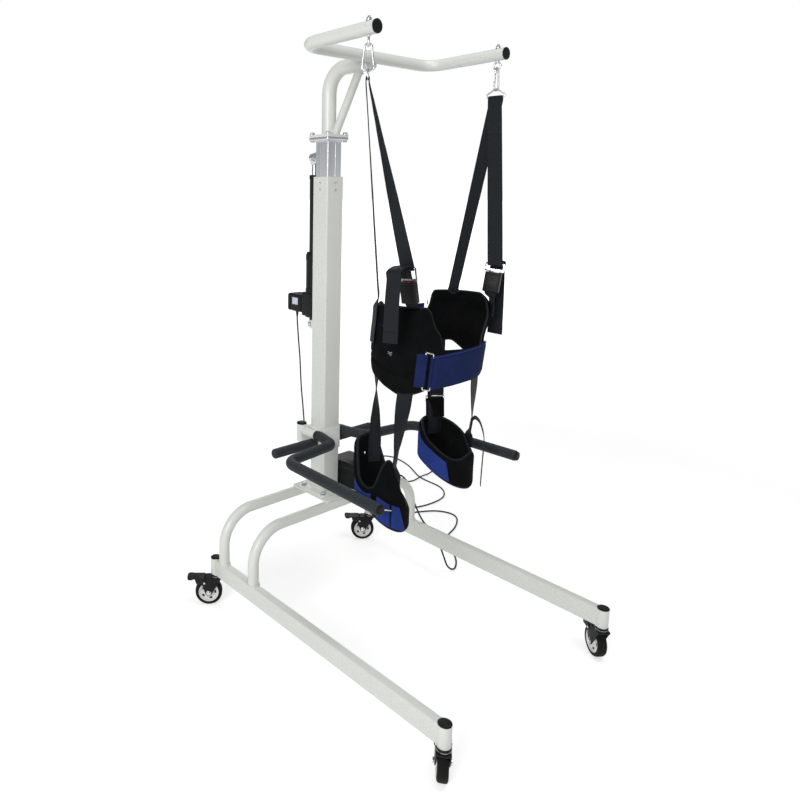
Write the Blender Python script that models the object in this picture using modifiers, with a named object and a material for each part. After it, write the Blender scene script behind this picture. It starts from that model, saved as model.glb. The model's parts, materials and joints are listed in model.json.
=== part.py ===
"""Electric gait trainer: a wheeled base open at the front, a lifting column with an
electric actuator, a yoke that carries a walking harness, and foam arm rests.

Metres, +Z up. The origin is on the floor, in the middle of the overall box without the
mains lead. The model is laid out about the lifting column's axis and moved there at the end.
The open end of the legs points to -Y. Left pieces are on the -X side and right pieces on
the +X side.
"""

import math

import bmesh
import bpy
from mathutils import Matrix, Vector

# Clearance between pieces that touch
GAP = 0.0003

# Base: two legs of rectangular tube between round posts
LEG_X = 0.405
FRONT_Y = -0.905
REAR_Y = 0.145
POST_R = 0.019
POST_WALL = 0.003
POST_BOTTOM = 0.121
POST_TOP = 0.183
RAIL_W = 0.030
RAIL_WALL = 0.002
RAIL_INSET = 0.0005
CAP_THICK = 0.004
CAP_PLUG = 0.014

# Two bent arch tubes that join the legs
ARCH_Y = 0.088
ARCH_R = 0.019
ARCH_BEND = 0.120
ARCH_Z = 0.372

# Plate on the arches and the foot of the column
PLATE_X = 0.150
PLATE_Y = 0.200
PLATE_T = 0.006
FOOT = 0.140
FOOT_T = 0.008
FOOT_BOLT = 0.055
BOLT_R = 0.005
HEX_R = 0.0095
HEX_H = 0.007

# Column
OUTER = 0.076
OUTER_WALL = 0.004
OUTER_TOP = 1.570
INNER = 0.064
INNER_WALL = 0.003
INNER_OVERLAP = 0.530
GROOVE_W = 0.008
GROOVE_D = 0.0015
BUSH_LENGTH = 0.060
GUIDE_SCREW_R = 0.003
GUIDE_SCREW_Z = 1.548

# Flanges and yoke
FLANGE = 0.100
FLANGE_T = 0.010
FLANGE_BOLT = 0.0405
FLANGE_Z = OUTER_TOP + 0.124
NECK_R = 0.025
NECK_BEND = 0.080
NECK_RISE = 0.238
NECK_Z = FLANGE_Z + NECK_RISE
BRACE_R = 0.014
BAR_R = 0.019
BAR_WALL = 0.003
BAR_RISE = 0.015
BAR_Z = NECK_Z + BAR_RISE
BAR_HALF = 0.293
BAR_BACK_Y = -0.196
BAR_END_Y = -0.500
BAR_BEND = 0.060

# Eye bolts and carabiners
EYE_Y = -0.471
EYE_DROP = 0.035
EYE_Z = BAR_Z - EYE_DROP
EYE_MAJOR = 0.0115
EYE_MINOR = 0.003
EYE_SHANK_R = 0.004
HOOK_R = 0.003
HOOK_SLACK = 0.0006
HOOK_TOP = EYE_Z - EYE_MAJOR + EYE_MINOR + HOOK_R + HOOK_SLACK
HOOK_LENGTH = 0.0707
HOOK_BOTTOM = HOOK_TOP - HOOK_LENGTH
SWING_Z = HOOK_TOP - 0.0015
GATE_R = 0.00255

# Actuator behind the column
ACT_Y = 0.0725
ACT_LOW_Z = 1.030
ACT_HIGH_Z = FLANGE_Z - 0.056
ACT_BODY_R = 0.030
ACT_BODY_Z = (1.056, 1.300)
ACT_TUBE_R = 0.0175
ACT_TUBE_TOP = ACT_HIGH_Z - 0.060
ROD_R = 0.010
ROD_LOW = 1.170
MOTOR_R = 0.034
MOTOR_Z = 1.104
MOTOR_END_Y = 0.188
LUG_T = 0.005
LUG_R = 0.014
EYE_W = 0.024
PIN_R = 0.005

# Control box beside the column
BOX_X = (0.0415, 0.150)
BOX_Y = (-0.136, 0.016)
BOX_Z = (0.416, 0.511)
BOX_ROUND = 0.006
BRACKET_T = 0.003

# Sliding sleeve with its foam arm rests and push grips
SLEEVE_Z = (0.567, 0.649)
SLEEVE_WALL = 0.004
ARM_Z = 0.628
ARM_X = 0.062
SOCKET_R = 0.016
SOCKET_Y = (0.062, -0.020)
SWIVEL_R = 0.018
SWIVEL_Z = (0.585, 0.655)
ARM_TUBE_R = 0.0125
FOAM_R = 0.018
ARM_POINTS = ((0.062, -0.0203), (0.062, -0.050), (0.084, -0.132), (0.316, -0.160), (0.337, -0.602))
ARM_BENDS = (0.05, 0.035, 0.045)
GRIP_Z = 0.5915
GRIP_BAR = 0.240
GRIP_BAR_R = 0.011
FOAM_GRIP_X = (0.052, 0.246)
KNOB_R = 0.020

# Casters
WHEEL_R = 0.050
TYRE_W = 0.030
RIM_R = 0.037
HUB_R = 0.012
HUB_W = 0.034
AXLE_R = 0.006
TRAIL = 0.028
FORK_T = 0.003
CROWN_Z = 0.104
CROWN_BACK = 0.023
CROWN_FRONT = 0.040
PEDAL_T = 0.002
LIP = 0.001
PEDAL_X = 0.043
PEDAL_Z = 0.1085
PEDAL_PIVOT_Z = 0.090
PEDAL_END = 0.106
# Name, pivot and the direction in which each caster trails, in degrees from +X
CASTERS = (
    ("front_left", -LEG_X, FRONT_Y, 40.0),
    ("front_right", LEG_X, FRONT_Y, 55.0),
    ("rear_left", -LEG_X, REAR_Y, 142.0),
    ("rear_right", LEG_X, REAR_Y, 142.0),
)

# Harness: a wrapped vest, two long straps with buckles and two thigh cuffs
VEST_C = (0.0, -0.491)
VEST_AX = 0.198
VEST_AY = 0.125
VEST_T = 0.014
VEST_TOP = 1.185
BAND_T = 0.006
BAND_LOW = VEST_TOP - 0.229
BAND_HEIGHT = 0.100
STRAP_W = 0.048
STRAP_T = 0.0026
RING_R = 0.0025
RING_DROP = 0.026
BUCKLE = (0.050, 0.022, 0.064)
TONGUE_BAR_R = 0.003
CUFF_T = 0.013
# Each cuff: half width and half depth, turn in degrees, and the slopes of its lower edge
CUFF_A = {-1: (0.070, 0.072), 1: (0.074, 0.076)}
CUFF_TURN = {-1: -13.0, 1: 0.0}
CUFF_SLOPES = {-1: (-0.35, 0.85), 1: (-0.30, 0.50)}
# Heights: the lower edge's middle, the wall, and the tops of the rear and the front ear
CUFF_LOW = {-1: VEST_TOP - 0.610, 1: VEST_TOP - 0.577}
CUFF_HEIGHT = {-1: 0.105, 1: 0.090}
CUFF_EARS = {-1: (VEST_TOP - 0.408, VEST_TOP - 0.467), 1: (VEST_TOP - 0.414, VEST_TOP - 0.485)}

# Mains lead
LEAD_R = 0.0035
MOTOR_LEAD_R = 0.0028
FLOOR_LEAD_Z = LEAD_R + 0.0006

PARTS = "electric_gait_trainer"
CUTTERS = "cutters"
PAINT = ("frame_paint", (0.76, 0.79, 0.74), 0.35, 0.0)
BLACK = ("black_plastic", (0.02, 0.02, 0.022), 0.45, 0.0)
STEEL = ("zinc_steel", (0.62, 0.63, 0.65), 0.25, 1.0)
ALLOY = ("alloy", (0.60, 0.62, 0.64), 0.35, 1.0)
FOAM = ("foam_grip", (0.03, 0.035, 0.042), 0.85, 0.0)
TYRE = ("tyre_rubber", (0.02, 0.02, 0.02), 0.7, 0.0)
WEBBING = ("webbing", (0.012, 0.014, 0.017), 0.8, 0.0)
CLOTH = ("black_cloth", (0.012, 0.013, 0.015), 0.9, 0.0)
NAVY = ("navy_cloth", (0.016, 0.03, 0.13), 0.8, 0.0)
RED = ("red_button", (0.45, 0.01, 0.012), 0.4, 0.0)


# Scene and helpers


def clear_scene():
    """Remove whatever the file opened with and make the two collections."""
    for obj in list(bpy.data.objects):
        bpy.data.objects.remove(obj)
    for name in (PARTS, CUTTERS):
        group = bpy.data.collections.new(name)
        bpy.context.scene.collection.children.link(group)


def material(spec):
    """Return the Principled material of that name, made once."""
    name, colour, roughness, metallic = spec
    found = bpy.data.materials.get(name)
    if found:
        return found
    made = bpy.data.materials.new(name)
    made.use_nodes = True
    shader = made.node_tree.nodes["Principled BSDF"]
    shader.inputs["Base Color"].default_value = (*colour, 1.0)
    shader.inputs["Roughness"].default_value = roughness
    shader.inputs["Metallic"].default_value = metallic
    return made


def link(name, data, look=None):
    """Put mesh or curve data into the parts collection as a named object."""
    obj = bpy.data.objects.new(name, data)
    bpy.data.collections[PARTS].objects.link(obj)
    if look:
        data.materials.append(material(look))
    return obj


def from_bmesh(name, bm, look=None):
    """Turn a bmesh into an object and free it."""
    mesh = bpy.data.meshes.new(name)
    bm.to_mesh(mesh)
    bm.free()
    return link(name, mesh, look)


def smooth(obj, degrees=35.0):
    """Shade an object smooth with sharp edges kept."""
    obj.data.shade_smooth()
    obj.data.set_sharp_from_angle(angle=math.radians(degrees))
    return obj


def as_tool(obj):
    """Move an object to the cutters, where the build leaves it out."""
    bpy.data.collections[PARTS].objects.unlink(obj)
    bpy.data.collections[CUTTERS].objects.link(obj)
    obj.hide_render = True
    obj.display_type = "WIRE"


def combine(obj, tool, operation):
    """Cut or join an object with a tool object."""
    modifier = obj.modifiers.new(tool.name, "BOOLEAN")
    modifier.operation = operation
    modifier.solver = "EXACT"
    modifier.object = tool
    as_tool(tool)
    return obj


def cut(obj, *tools):
    for tool in tools:
        combine(obj, tool, "DIFFERENCE")
    return obj


def join(obj, *tools):
    for tool in tools:
        combine(obj, tool, "UNION")
    return obj


def round_edges(obj, width, segments=2, degrees=40.0):
    """Round the edges that are sharper than an angle."""
    bevel = obj.modifiers.new("rounding", "BEVEL")
    bevel.width = width
    bevel.segments = segments
    bevel.limit_method = "ANGLE"
    bevel.angle_limit = math.radians(degrees)
    return obj


def evaluated_mesh(obj):
    """Return a copy of the object's mesh with its modifiers, in world space."""
    depsgraph = bpy.context.evaluated_depsgraph_get()
    depsgraph.update()
    mesh = bpy.data.meshes.new_from_object(obj.evaluated_get(depsgraph))
    mesh.transform(obj.matrix_world)
    return mesh


def box(name, x, y, z, look=None, rounding=0.0):
    """A box between the pairs of limits x, y and z."""
    size = Vector((x[1] - x[0], y[1] - y[0], z[1] - z[0]))
    centre = Vector((x[0] + x[1], y[0] + y[1], z[0] + z[1])) / 2
    bm = bmesh.new()
    bmesh.ops.create_cube(bm, size=1.0, matrix=Matrix.LocRotScale(centre, None, size))
    obj = from_bmesh(name, bm, look)
    if rounding:
        round_edges(obj, rounding)
    return obj


def score(obj, places):
    """Mark an edge round a box at some places along Y, beside what stands on it."""
    bm = bmesh.new()
    bm.from_mesh(obj.data)
    for y in places:
        faces = bm.verts[:] + bm.edges[:] + bm.faces[:]
        bmesh.ops.bisect_plane(bm, geom=faces, plane_co=(0, y, 0), plane_no=(0, 1, 0))
    bm.to_mesh(obj.data)
    bm.free()


def rod(name, radius, start, end, look=None, sides=20):
    """A cylinder between two points."""
    start, end = Vector(start), Vector(end)
    along = end - start
    turn = along.to_track_quat("Z", "Y").to_matrix().to_4x4()
    place = Matrix.Translation((start + end) / 2) @ turn
    bm = bmesh.new()
    bmesh.ops.create_cone(
        bm, cap_ends=True, segments=sides, radius1=radius, radius2=radius,
        depth=along.length, matrix=place,
    )
    return smooth(from_bmesh(name, bm, look))


def turned(name, profile, place, look=None, steps=24, closed=False):
    """Turn a profile of (radius, height) points about an axis set by a matrix."""
    mesh = bpy.data.meshes.new(name)
    edges = [(i, i + 1) for i in range(len(profile) - 1)]
    if closed:
        edges.append((len(profile) - 1, 0))
    mesh.from_pydata([(r, 0.0, h) for r, h in profile], edges, [])
    obj = link(name, mesh, look)
    obj.matrix_world = place
    screw = obj.modifiers.new("turn", "SCREW")
    screw.steps = steps
    screw.render_steps = steps
    screw.use_merge_vertices = True
    screw.merge_threshold = 0.00001
    screw.use_smooth_shade = False
    return obj


def fillet_path(points, radii, steps=6):
    """Points along straight runs with round bends between them."""
    path = [Vector(points[0])]
    for i in range(1, len(points) - 1):
        here = Vector(points[i])
        back = (Vector(points[i - 1]) - here).normalized()
        ahead = (Vector(points[i + 1]) - here).normalized()
        radius = radii[i - 1] if hasattr(radii, "__len__") else radii
        half = back.angle(ahead) / 2
        reach = radius / math.tan(half)
        centre = here + (back + ahead).normalized() * radius / math.sin(half)
        first = here + back * reach - centre
        last = here + ahead * reach - centre
        sweep = first.angle(last)
        for step in range(steps + 1):
            part = step / steps
            turn = (first * math.sin((1 - part) * sweep) + last * math.sin(part * sweep))
            path.append(centre + turn / math.sin(sweep))
    path.append(Vector(points[-1]))
    return path


def smooth_path(points, per_span):
    """A Catmull-Rom curve through the points, with that many steps to each span."""
    knots = [Vector(p) for p in points]
    ends = [2 * knots[0] - knots[1]] + knots + [2 * knots[-1] - knots[-2]]
    path = []
    for i in range(1, len(ends) - 2):
        a, b, c, d = ends[i - 1 : i + 3]
        for step in range(per_span):
            t = step / per_span
            path.append(
                0.5 * (2 * b + (c - a) * t + (2 * a - 5 * b + 4 * c - d) * t**2
                       + (3 * b - a - 3 * c + d) * t**3)
            )
    path.append(knots[-1])
    return path


def even_path(path, spacing):
    """The same line with its points spaced evenly."""
    lengths = [0.0]
    for a, b in zip(path, path[1:]):
        lengths.append(lengths[-1] + (b - a).length)
    count = max(2, round(lengths[-1] / spacing))
    spaced = []
    at = 0
    for i in range(count + 1):
        want = lengths[-1] * i / count
        while at < len(path) - 2 and lengths[at + 1] < want:
            at += 1
        span = lengths[at + 1] - lengths[at]
        spaced.append(path[at].lerp(path[at + 1], (want - lengths[at]) / span))
    return spaced


def bend_path(path, bend, longest):
    """Fewer points on the same line: one wherever it has turned by an angle or run far."""
    kept = [path[0]]
    turned_by = run_on = 0.0
    for before, here, after in zip(path, path[1:], path[2:]):
        turned_by += math.degrees((here - before).angle(after - here))
        run_on += (here - before).length
        if turned_by >= bend or run_on >= longest:
            kept.append(here)
            turned_by = run_on = 0.0
    return kept + [path[-1]]


def tube_curve(name, path, radius, look=None, resolution=4, cyclic=False):
    """A round tube along a path, as a curve object with filled caps."""
    curve = bpy.data.curves.new(name, "CURVE")
    curve.dimensions = "3D"
    curve.bevel_depth = radius
    curve.bevel_resolution = resolution
    curve.use_fill_caps = not cyclic
    spline = curve.splines.new("POLY")
    spline.points.add(len(path) - 1)
    for point, place in zip(spline.points, path):
        point.co = (*place, 1.0)
    spline.use_cyclic_u = cyclic
    return link(name, curve, look)


def as_mesh(obj, look=None):
    """Make a curve object a mesh with welded caps, so that it can be cut or joined."""
    mesh = evaluated_mesh(obj)
    name = obj.name
    bpy.data.objects.remove(obj)
    bm = bmesh.new()
    bm.from_mesh(mesh)
    bmesh.ops.remove_doubles(bm, verts=bm.verts, dist=0.00001)
    bmesh.ops.recalc_face_normals(bm, faces=bm.faces)
    bpy.data.meshes.remove(mesh)
    return from_bmesh(name, bm, look)


def tube(name, path, radius, look=None, resolution=4, cyclic=False):
    return smooth(as_mesh(tube_curve(name, path, radius, None, resolution, cyclic), look))


def prism(name, outline, low, high, place, look=None):
    """A flat outline of (x, y) points with a thickness from low to high along its own Z."""
    curve = bpy.data.curves.new(name, "CURVE")
    curve.dimensions = "2D"
    curve.fill_mode = "BOTH"
    curve.extrude = (high - low) / 2
    spline = curve.splines.new("POLY")
    spline.points.add(len(outline) - 1)
    for point, (x, y) in zip(spline.points, outline):
        point.co = (x, y, 0.0, 1.0)
    spline.use_cyclic_u = True
    obj = link(name, curve)
    obj.matrix_world = place @ Matrix.Translation((0, 0, (low + high) / 2))
    bpy.context.view_layer.update()
    return as_mesh(obj, look)


def place_all(obj, place):
    """Move an object and the tools of its Boolean modifiers by a matrix."""
    for piece in [obj] + [m.object for m in obj.modifiers if m.type == "BOOLEAN"]:
        piece.matrix_world = place @ piece.matrix_world
    return obj


def arc(centre, radius, start, end, steps):
    """Points on an arc in a plane, angles in degrees."""
    points = []
    for step in range(steps + 1):
        angle = math.radians(start + (end - start) * step / steps)
        points.append((centre[0] + radius * math.cos(angle), centre[1] + radius * math.sin(angle)))
    return points


def hang_on(name, place, objects):
    """Parent a moving body's pieces to an empty on its joint axis."""
    empty = bpy.data.objects.new(name, None)
    empty.empty_display_size = 0.03
    empty.location = place
    bpy.data.collections[PARTS].objects.link(empty)
    bpy.context.view_layer.update()
    for obj in objects:
        obj.parent = empty
        obj.matrix_parent_inverse = empty.matrix_world.inverted()
    return empty


# Base


# Flat seats ground into the rails' tops, for the feet of the arches
SEAT_Z = POST_TOP - RAIL_INSET - 0.0004


def make_leg(name, side):
    x = side * LEG_X
    leg = box(
        name, (x - RAIL_W / 2, x + RAIL_W / 2), (FRONT_Y, REAR_Y),
        (POST_BOTTOM + RAIL_INSET, POST_TOP - RAIL_INSET), PAINT,
    )
    for y in (FRONT_Y, REAR_Y):
        post = rod(f"{name}_post_{y:.2f}", POST_R, (x, y, POST_BOTTOM), (x, y, POST_TOP), sides=16)
        join(leg, post)
    for y in (-ARCH_Y, ARCH_Y):
        seat = box(
            f"{name}_seat_{y:.2f}", (x - RAIL_W, x + RAIL_W), (y - ARCH_R - 0.004, y + ARCH_R + 0.004),
            (SEAT_Z, POST_TOP + 0.01),
        )
        cut(leg, seat)
    wall = RAIL_W / 2 - RAIL_WALL
    hollow = box(
        f"{name}_hollow", (x - wall, x + wall), (FRONT_Y, REAR_Y),
        (POST_BOTTOM + RAIL_INSET + RAIL_WALL, POST_TOP - RAIL_INSET - RAIL_WALL),
    )
    cut(leg, hollow)
    for y in (FRONT_Y, REAR_Y):
        bore = rod(
            f"{name}_bore_{y:.2f}", POST_R - POST_WALL, (x, y, POST_BOTTOM - 0.01),
            (x, y, POST_TOP + 0.01), sides=16,
        )
        cut(leg, bore)
    return leg


def make_cap(name, place, radius, bore, thick=CAP_THICK, plug=CAP_PLUG):
    """A plastic cap on a tube end: a rounded disc with a plug that fills the bore."""
    inner = bore - GAP
    profile = (
        (0.0, thick), (radius * 0.86, thick * 0.85), (radius, GAP), (inner, GAP), (inner, -plug),
        (0.0, -plug),
    )
    return smooth(turned(name, profile, place, BLACK, steps=16))


def make_arch(name, y):
    foot = SEAT_Z + GAP
    corners = ((-LEG_X, y, foot), (-LEG_X, y, ARCH_Z), (LEG_X, y, ARCH_Z), (LEG_X, y, foot))
    return tube(name, fillet_path(corners, ARCH_BEND, 6), ARCH_R, PAINT)


PLATE_LOW = ARCH_Z + ARCH_R + GAP
FOOT_LOW = PLATE_LOW + PLATE_T + GAP
FOOT_TOP = FOOT_LOW + FOOT_T


def corners_of(distance):
    return [(sx * distance, sy * distance) for sx in (-1, 1) for sy in (-1, 1)]


def square_tube(name, size, wall, low, high, look=None, rounding=0.004):
    """A square tube open at both ends, with round outer corners."""
    half = size / 2
    r = rounding
    outline = []
    for cx, cy, start in ((1, 1, 0), (-1, 1, 90), (-1, -1, 180), (1, -1, 270)):
        outline += arc((cx * (half - r), cy * (half - r)), r, start, start + 90, 3)
    outer = prism(name, outline, low, high, Matrix.Identity(4), look)
    inside = half - wall
    hollow = box(
        f"{name}_hollow", (-inside, inside), (-inside, inside), (low - 0.01, high + 0.01)
    )
    return cut(outer, hollow)


def clevis_lug(name, side, wall_y, eye_y, z):
    """One lug of a clevis on the column's rear face, with a round end about its eye."""
    reach = eye_y - wall_y
    outline = arc((0.0, 0.0), LUG_R, 90, -90, 8)
    outline += [(-reach, -LUG_R - 0.008), (-reach, LUG_R + 0.008)]
    low = EYE_W / 2 + GAP
    high = low + LUG_T
    if side < 0:
        low, high = -high, -low
    place = Matrix.Translation((0, eye_y, z)) @ Matrix(
        ((0, 0, 1, 0), (1, 0, 0, 0), (0, 1, 0, 0), (0, 0, 0, 1))
    )
    return prism(name, outline, low, high, place)


def stud(name, x, y, low, high, hex_r=HEX_R):
    """A bolt that stands on a plate and passes up through a hole, with its nut on top."""
    shank = rod(name, BOLT_R, (x, y, low), (x, y, high + HEX_H + 0.0015), sides=8)
    nut = rod(f"{name}_nut", hex_r, (x, y, high + GAP), (x, y, high + GAP + HEX_H), sides=6)
    return shank, nut


def make_mounting_plate():
    """The plate on the arches, with the four bolts that hold the column's foot."""
    top = PLATE_LOW + PLATE_T
    plate = box(
        "mounting_plate", (-PLATE_X / 2, PLATE_X / 2), (-PLATE_Y / 2, PLATE_Y / 2),
        (PLATE_LOW, top), PAINT, 0.0015,
    )
    score(plate, (-FOOT / 2 - 0.001, FOOT / 2 + 0.001))
    for i, (x, y) in enumerate(corners_of(FOOT_BOLT)):
        join(plate, *stud(f"foot_bolt_{i}", x, y, top - 0.003, FOOT_TOP))
    return plate


def make_outer_column():
    column = square_tube("outer_column", OUTER, OUTER_WALL, FOOT_TOP - 0.001, OUTER_TOP, PAINT)
    half = FOOT / 2
    foot = box("column_foot", (-half, half), (-half, half), (FOOT_LOW, FOOT_TOP), None, 0.0015)
    join(column, foot)
    for side in (-1, 1):
        join(column, clevis_lug(f"low_lug_{side}", side, OUTER / 2 - 0.001, ACT_Y, ACT_LOW_Z))
    bracket = box(
        "box_bracket", (OUTER / 2 - 0.001, OUTER / 2 + BRACKET_T), (-0.030, 0.030),
        (BOX_Z[0] + 0.010, BOX_Z[1] - 0.004),
    )
    join(column, bracket)
    near = OUTER / 2 - 0.001
    far = OUTER / 2 + 0.002
    for i, (dx, dy) in enumerate(((1, 0), (-1, 0), (0, 1), (0, -1))):
        head = rod(
            f"guide_screw_{i}", GUIDE_SCREW_R, (dx * near, dy * near, GUIDE_SCREW_Z),
            (dx * far, dy * far, GUIDE_SCREW_Z), sides=12,
        )
        join(column, head)
    hole = rod(
        "low_pin_hole", PIN_R + GAP, (-0.05, ACT_Y, ACT_LOW_Z), (0.05, ACT_Y, ACT_LOW_Z), sides=12
    )
    cut(column, hole)
    for i, (x, y) in enumerate(corners_of(FOOT_BOLT)):
        hole = rod(f"foot_hole_{i}", BOLT_R + GAP, (x, y, FOOT_LOW - 0.01), (x, y, 0.42), sides=12)
        cut(column, hole)
    return column


def make_guide_bush():
    """A square plastic ring between the two columns."""
    high = OUTER_TOP - 0.001
    size = OUTER - 2 * OUTER_WALL - 2 * GAP
    wall = (size - INNER) / 2 - GAP
    return square_tube("guide_bush", size, wall, high - BUSH_LENGTH, high, BLACK, 0.001)


# Lifting column and yoke


def make_inner_column():
    """The inner column with its top flange and the four bolts that hold the yoke."""
    low = OUTER_TOP - INNER_OVERLAP
    top = FLANGE_Z + FLANGE_T
    column = square_tube("inner_column", INNER, INNER_WALL, low, FLANGE_Z + 0.001, ALLOY, 0.003)
    half = FLANGE / 2
    join(column, box("lower_flange", (-half, half), (-half, half), (FLANGE_Z, top), None, 0.002))
    for side in (-1, 1):
        join(column, clevis_lug(f"high_lug_{side}", side, INNER / 2 - 0.001, ACT_Y, ACT_HIGH_Z))
    pin_hole = rod(
        "high_pin_hole", PIN_R + GAP, (-0.05, ACT_Y, ACT_HIGH_Z), (0.05, ACT_Y, ACT_HIGH_Z), sides=12
    )
    face = -INNER / 2
    groove = box(
        "front_groove", (-GROOVE_W / 2, GROOVE_W / 2), (face - 0.01, face + GROOVE_D),
        (low - 0.01, FLANGE_Z - 0.004),
    )
    cut(column, pin_hole, groove)
    for i, (x, y) in enumerate(corners_of(FLANGE_BOLT)):
        join(column, *stud(f"yoke_bolt_{i}", x, y, top - 0.003, UPPER_FLANGE_Z + FLANGE_T, 0.0078))
    return column


UPPER_FLANGE_Z = FLANGE_Z + FLANGE_T + GAP


def make_yoke():
    half = FLANGE / 2
    top = UPPER_FLANGE_Z + FLANGE_T
    yoke = box("lifting_yoke", (-half, half), (-half, half), (UPPER_FLANGE_Z, top), PAINT, 0.002)
    for i, (x, y) in enumerate(corners_of(FLANGE_BOLT)):
        hole = rod(
            f"high_flange_hole_{i}", BOLT_R + GAP, (x, y, UPPER_FLANGE_Z - 0.01),
            (x, y, top + 0.01), sides=12,
        )
        cut(yoke, hole)
    neck_points = ((0, 0, top - 0.002), (0, 0, NECK_Z), (0, BAR_BACK_Y, NECK_Z))
    neck = tube("neck", fillet_path(neck_points, NECK_BEND, 5), NECK_R)
    brace = tube("brace", [(0, -0.032, top - 0.001), (0, -0.150, BAR_Z - 0.026)], BRACE_R, resolution=3)
    bar_points = (
        (-BAR_HALF, BAR_END_Y, BAR_Z), (-BAR_HALF, BAR_BACK_Y, BAR_Z),
        (BAR_HALF, BAR_BACK_Y, BAR_Z), (BAR_HALF, BAR_END_Y, BAR_Z),
    )
    bar = tube("bar", fillet_path(bar_points, BAR_BEND, 5), BAR_R)
    join(yoke, neck, brace, bar)
    for side in (-1, 1):
        x = side * BAR_HALF
        bore = rod(
            f"bar_bore_{side}", BAR_R - BAR_WALL, (x, BAR_END_Y - 0.01, BAR_Z),
            (x, BAR_END_Y + 0.018, BAR_Z), sides=16,
        )
        hole = rod(
            f"eye_hole_{side}", EYE_SHANK_R + GAP, (x, EYE_Y, BAR_Z - 0.04),
            (x, EYE_Y, BAR_Z + 0.04), sides=12,
        )
        cut(yoke, bore, hole)
    return smooth(yoke)


def make_yoke_cap(name, side):
    turn = Matrix.Rotation(math.pi / 2, 4, "X")
    place = Matrix.Translation((side * BAR_HALF, BAR_END_Y, BAR_Z)) @ turn
    return make_cap(name, place, BAR_R, BAR_R - BAR_WALL)


def make_eye_bolt(name, side):
    """An eye under the yoke's arm, with its shank through the arm and a washer and nut."""
    x = side * BAR_HALF
    place = hook_place(side, HOOK_TURN[side])
    angles = [2 * math.pi * i / 12 for i in range(12)]
    path = [
        place @ Vector((0, EYE_MAJOR * math.cos(a), EYE_Z + EYE_MAJOR * math.sin(a))) for a in angles
    ]
    ring = tube(name, path, EYE_MINOR, STEEL, resolution=2, cyclic=True)
    top = BAR_Z + BAR_R + GAP
    shank = rod(
        f"{name}_shank", EYE_SHANK_R, (x, EYE_Y, EYE_Z + EYE_MAJOR - 0.001), (x, EYE_Y, top + 0.012),
        sides=12,
    )
    washer = rod(f"{name}_washer", 0.009, (x, EYE_Y, top), (x, EYE_Y, top + 0.0015), sides=16)
    nut = rod(f"{name}_nut", 0.0075, (x, EYE_Y, top + 0.001), (x, EYE_Y, top + 0.008), sides=6)
    return join(ring, shank, washer, nut)


# Actuator

ALONG_Y = Matrix.Rotation(-math.pi / 2, 4, "X")


def clevis_eye(name, z):
    """The eye of an actuator end and the pin pressed through it, along X."""
    eye = rod(name, 0.0125, (-EYE_W / 2, ACT_Y, z), (EYE_W / 2, ACT_Y, z), sides=16)
    lug_out = EYE_W / 2 + GAP + LUG_T
    pin = rod(f"{name}_pin", PIN_R, (-lug_out - 0.003, ACT_Y, z), (lug_out + 0.003, ACT_Y, z), sides=12)
    heads = [
        rod(
            f"{name}_head_{side}", 0.0085, (side * (lug_out + GAP), ACT_Y, z),
            (side * (lug_out + 0.004), ACT_Y, z), sides=12,
        )
        for side in (-1, 1)
    ]
    return eye, pin, *heads


def make_actuator_tube():
    low, high = ACT_BODY_Z
    body = turned(
        "actuator_tube",
        ((0.0, high), (ACT_BODY_R - 0.004, high), (ACT_BODY_R, high - 0.004), (ACT_BODY_R, low), (0.0, low)),
        Matrix.Translation((0, ACT_Y, 0)), BLACK, 20,
    )
    sleeve = rod("actuator_sleeve", ACT_TUBE_R, (0, ACT_Y, high - 0.01), (0, ACT_Y, ACT_TUBE_TOP), sides=16)
    block = box(
        "actuator_block", (-0.032, 0.032), (0.0455, 0.105), (low + 0.004, low + 0.094), None, 0.003
    )
    neck = box("actuator_neck", (-EYE_W / 2, EYE_W / 2), (ACT_Y - 0.009, ACT_Y + 0.009), (ACT_LOW_Z, low + 0.006))
    join(body, sleeve, block, neck, *clevis_eye("low_eye", ACT_LOW_Z))
    bore = rod(
        "actuator_bore", ROD_R + 0.0004, (0, ACT_Y, ROD_LOW - 0.045), (0, ACT_Y, ACT_TUBE_TOP + 0.01),
        sides=16,
    )
    return smooth(cut(body, bore))


def make_actuator_rod():
    body = rod("actuator_rod", ROD_R, (0, ACT_Y, ROD_LOW), (0, ACT_Y, ACT_HIGH_Z), STEEL, 16)
    return smooth(join(body, *clevis_eye("high_eye", ACT_HIGH_Z)))


MOTOR_NEAR = 0.105 + GAP
MOTOR_ROUND = 0.010
MOTOR_GLAND = (0.0, 0.166, MOTOR_Z - MOTOR_R - 0.006)


def make_motor():
    """The motor's moulded housing behind the actuator, with its lead's gland below."""
    motor = box(
        "actuator_motor", (-MOTOR_R, MOTOR_R), (MOTOR_NEAR, MOTOR_END_Y),
        (MOTOR_Z - MOTOR_R, MOTOR_Z + MOTOR_R), BLACK, MOTOR_ROUND,
    )
    x, y, z = MOTOR_GLAND
    return smooth(join(motor, rod("motor_gland", 0.006, (x, y, z), (x, y, MOTOR_Z - 0.02), sides=12)))


# Control box and its leads

BOX_REAR_GLAND = (0.100, BOX_Y[1] + 0.010, 0.450)
BOX_LOW_GLAND = (0.090, -0.050, BOX_Z[0] - 0.010)


def make_control_box():
    body = box("control_box", BOX_X, BOX_Y, BOX_Z, BLACK, BOX_ROUND)
    x, y, z = BOX_REAR_GLAND
    rear = rod("rear_gland", 0.006, (x, y - 0.014, z), (x, y, z), sides=12)
    x, y, z = BOX_LOW_GLAND
    low = rod("low_gland", 0.007, (x, y, z), (x, y, z + 0.014), sides=12)
    return join(body, rear, low)


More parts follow.
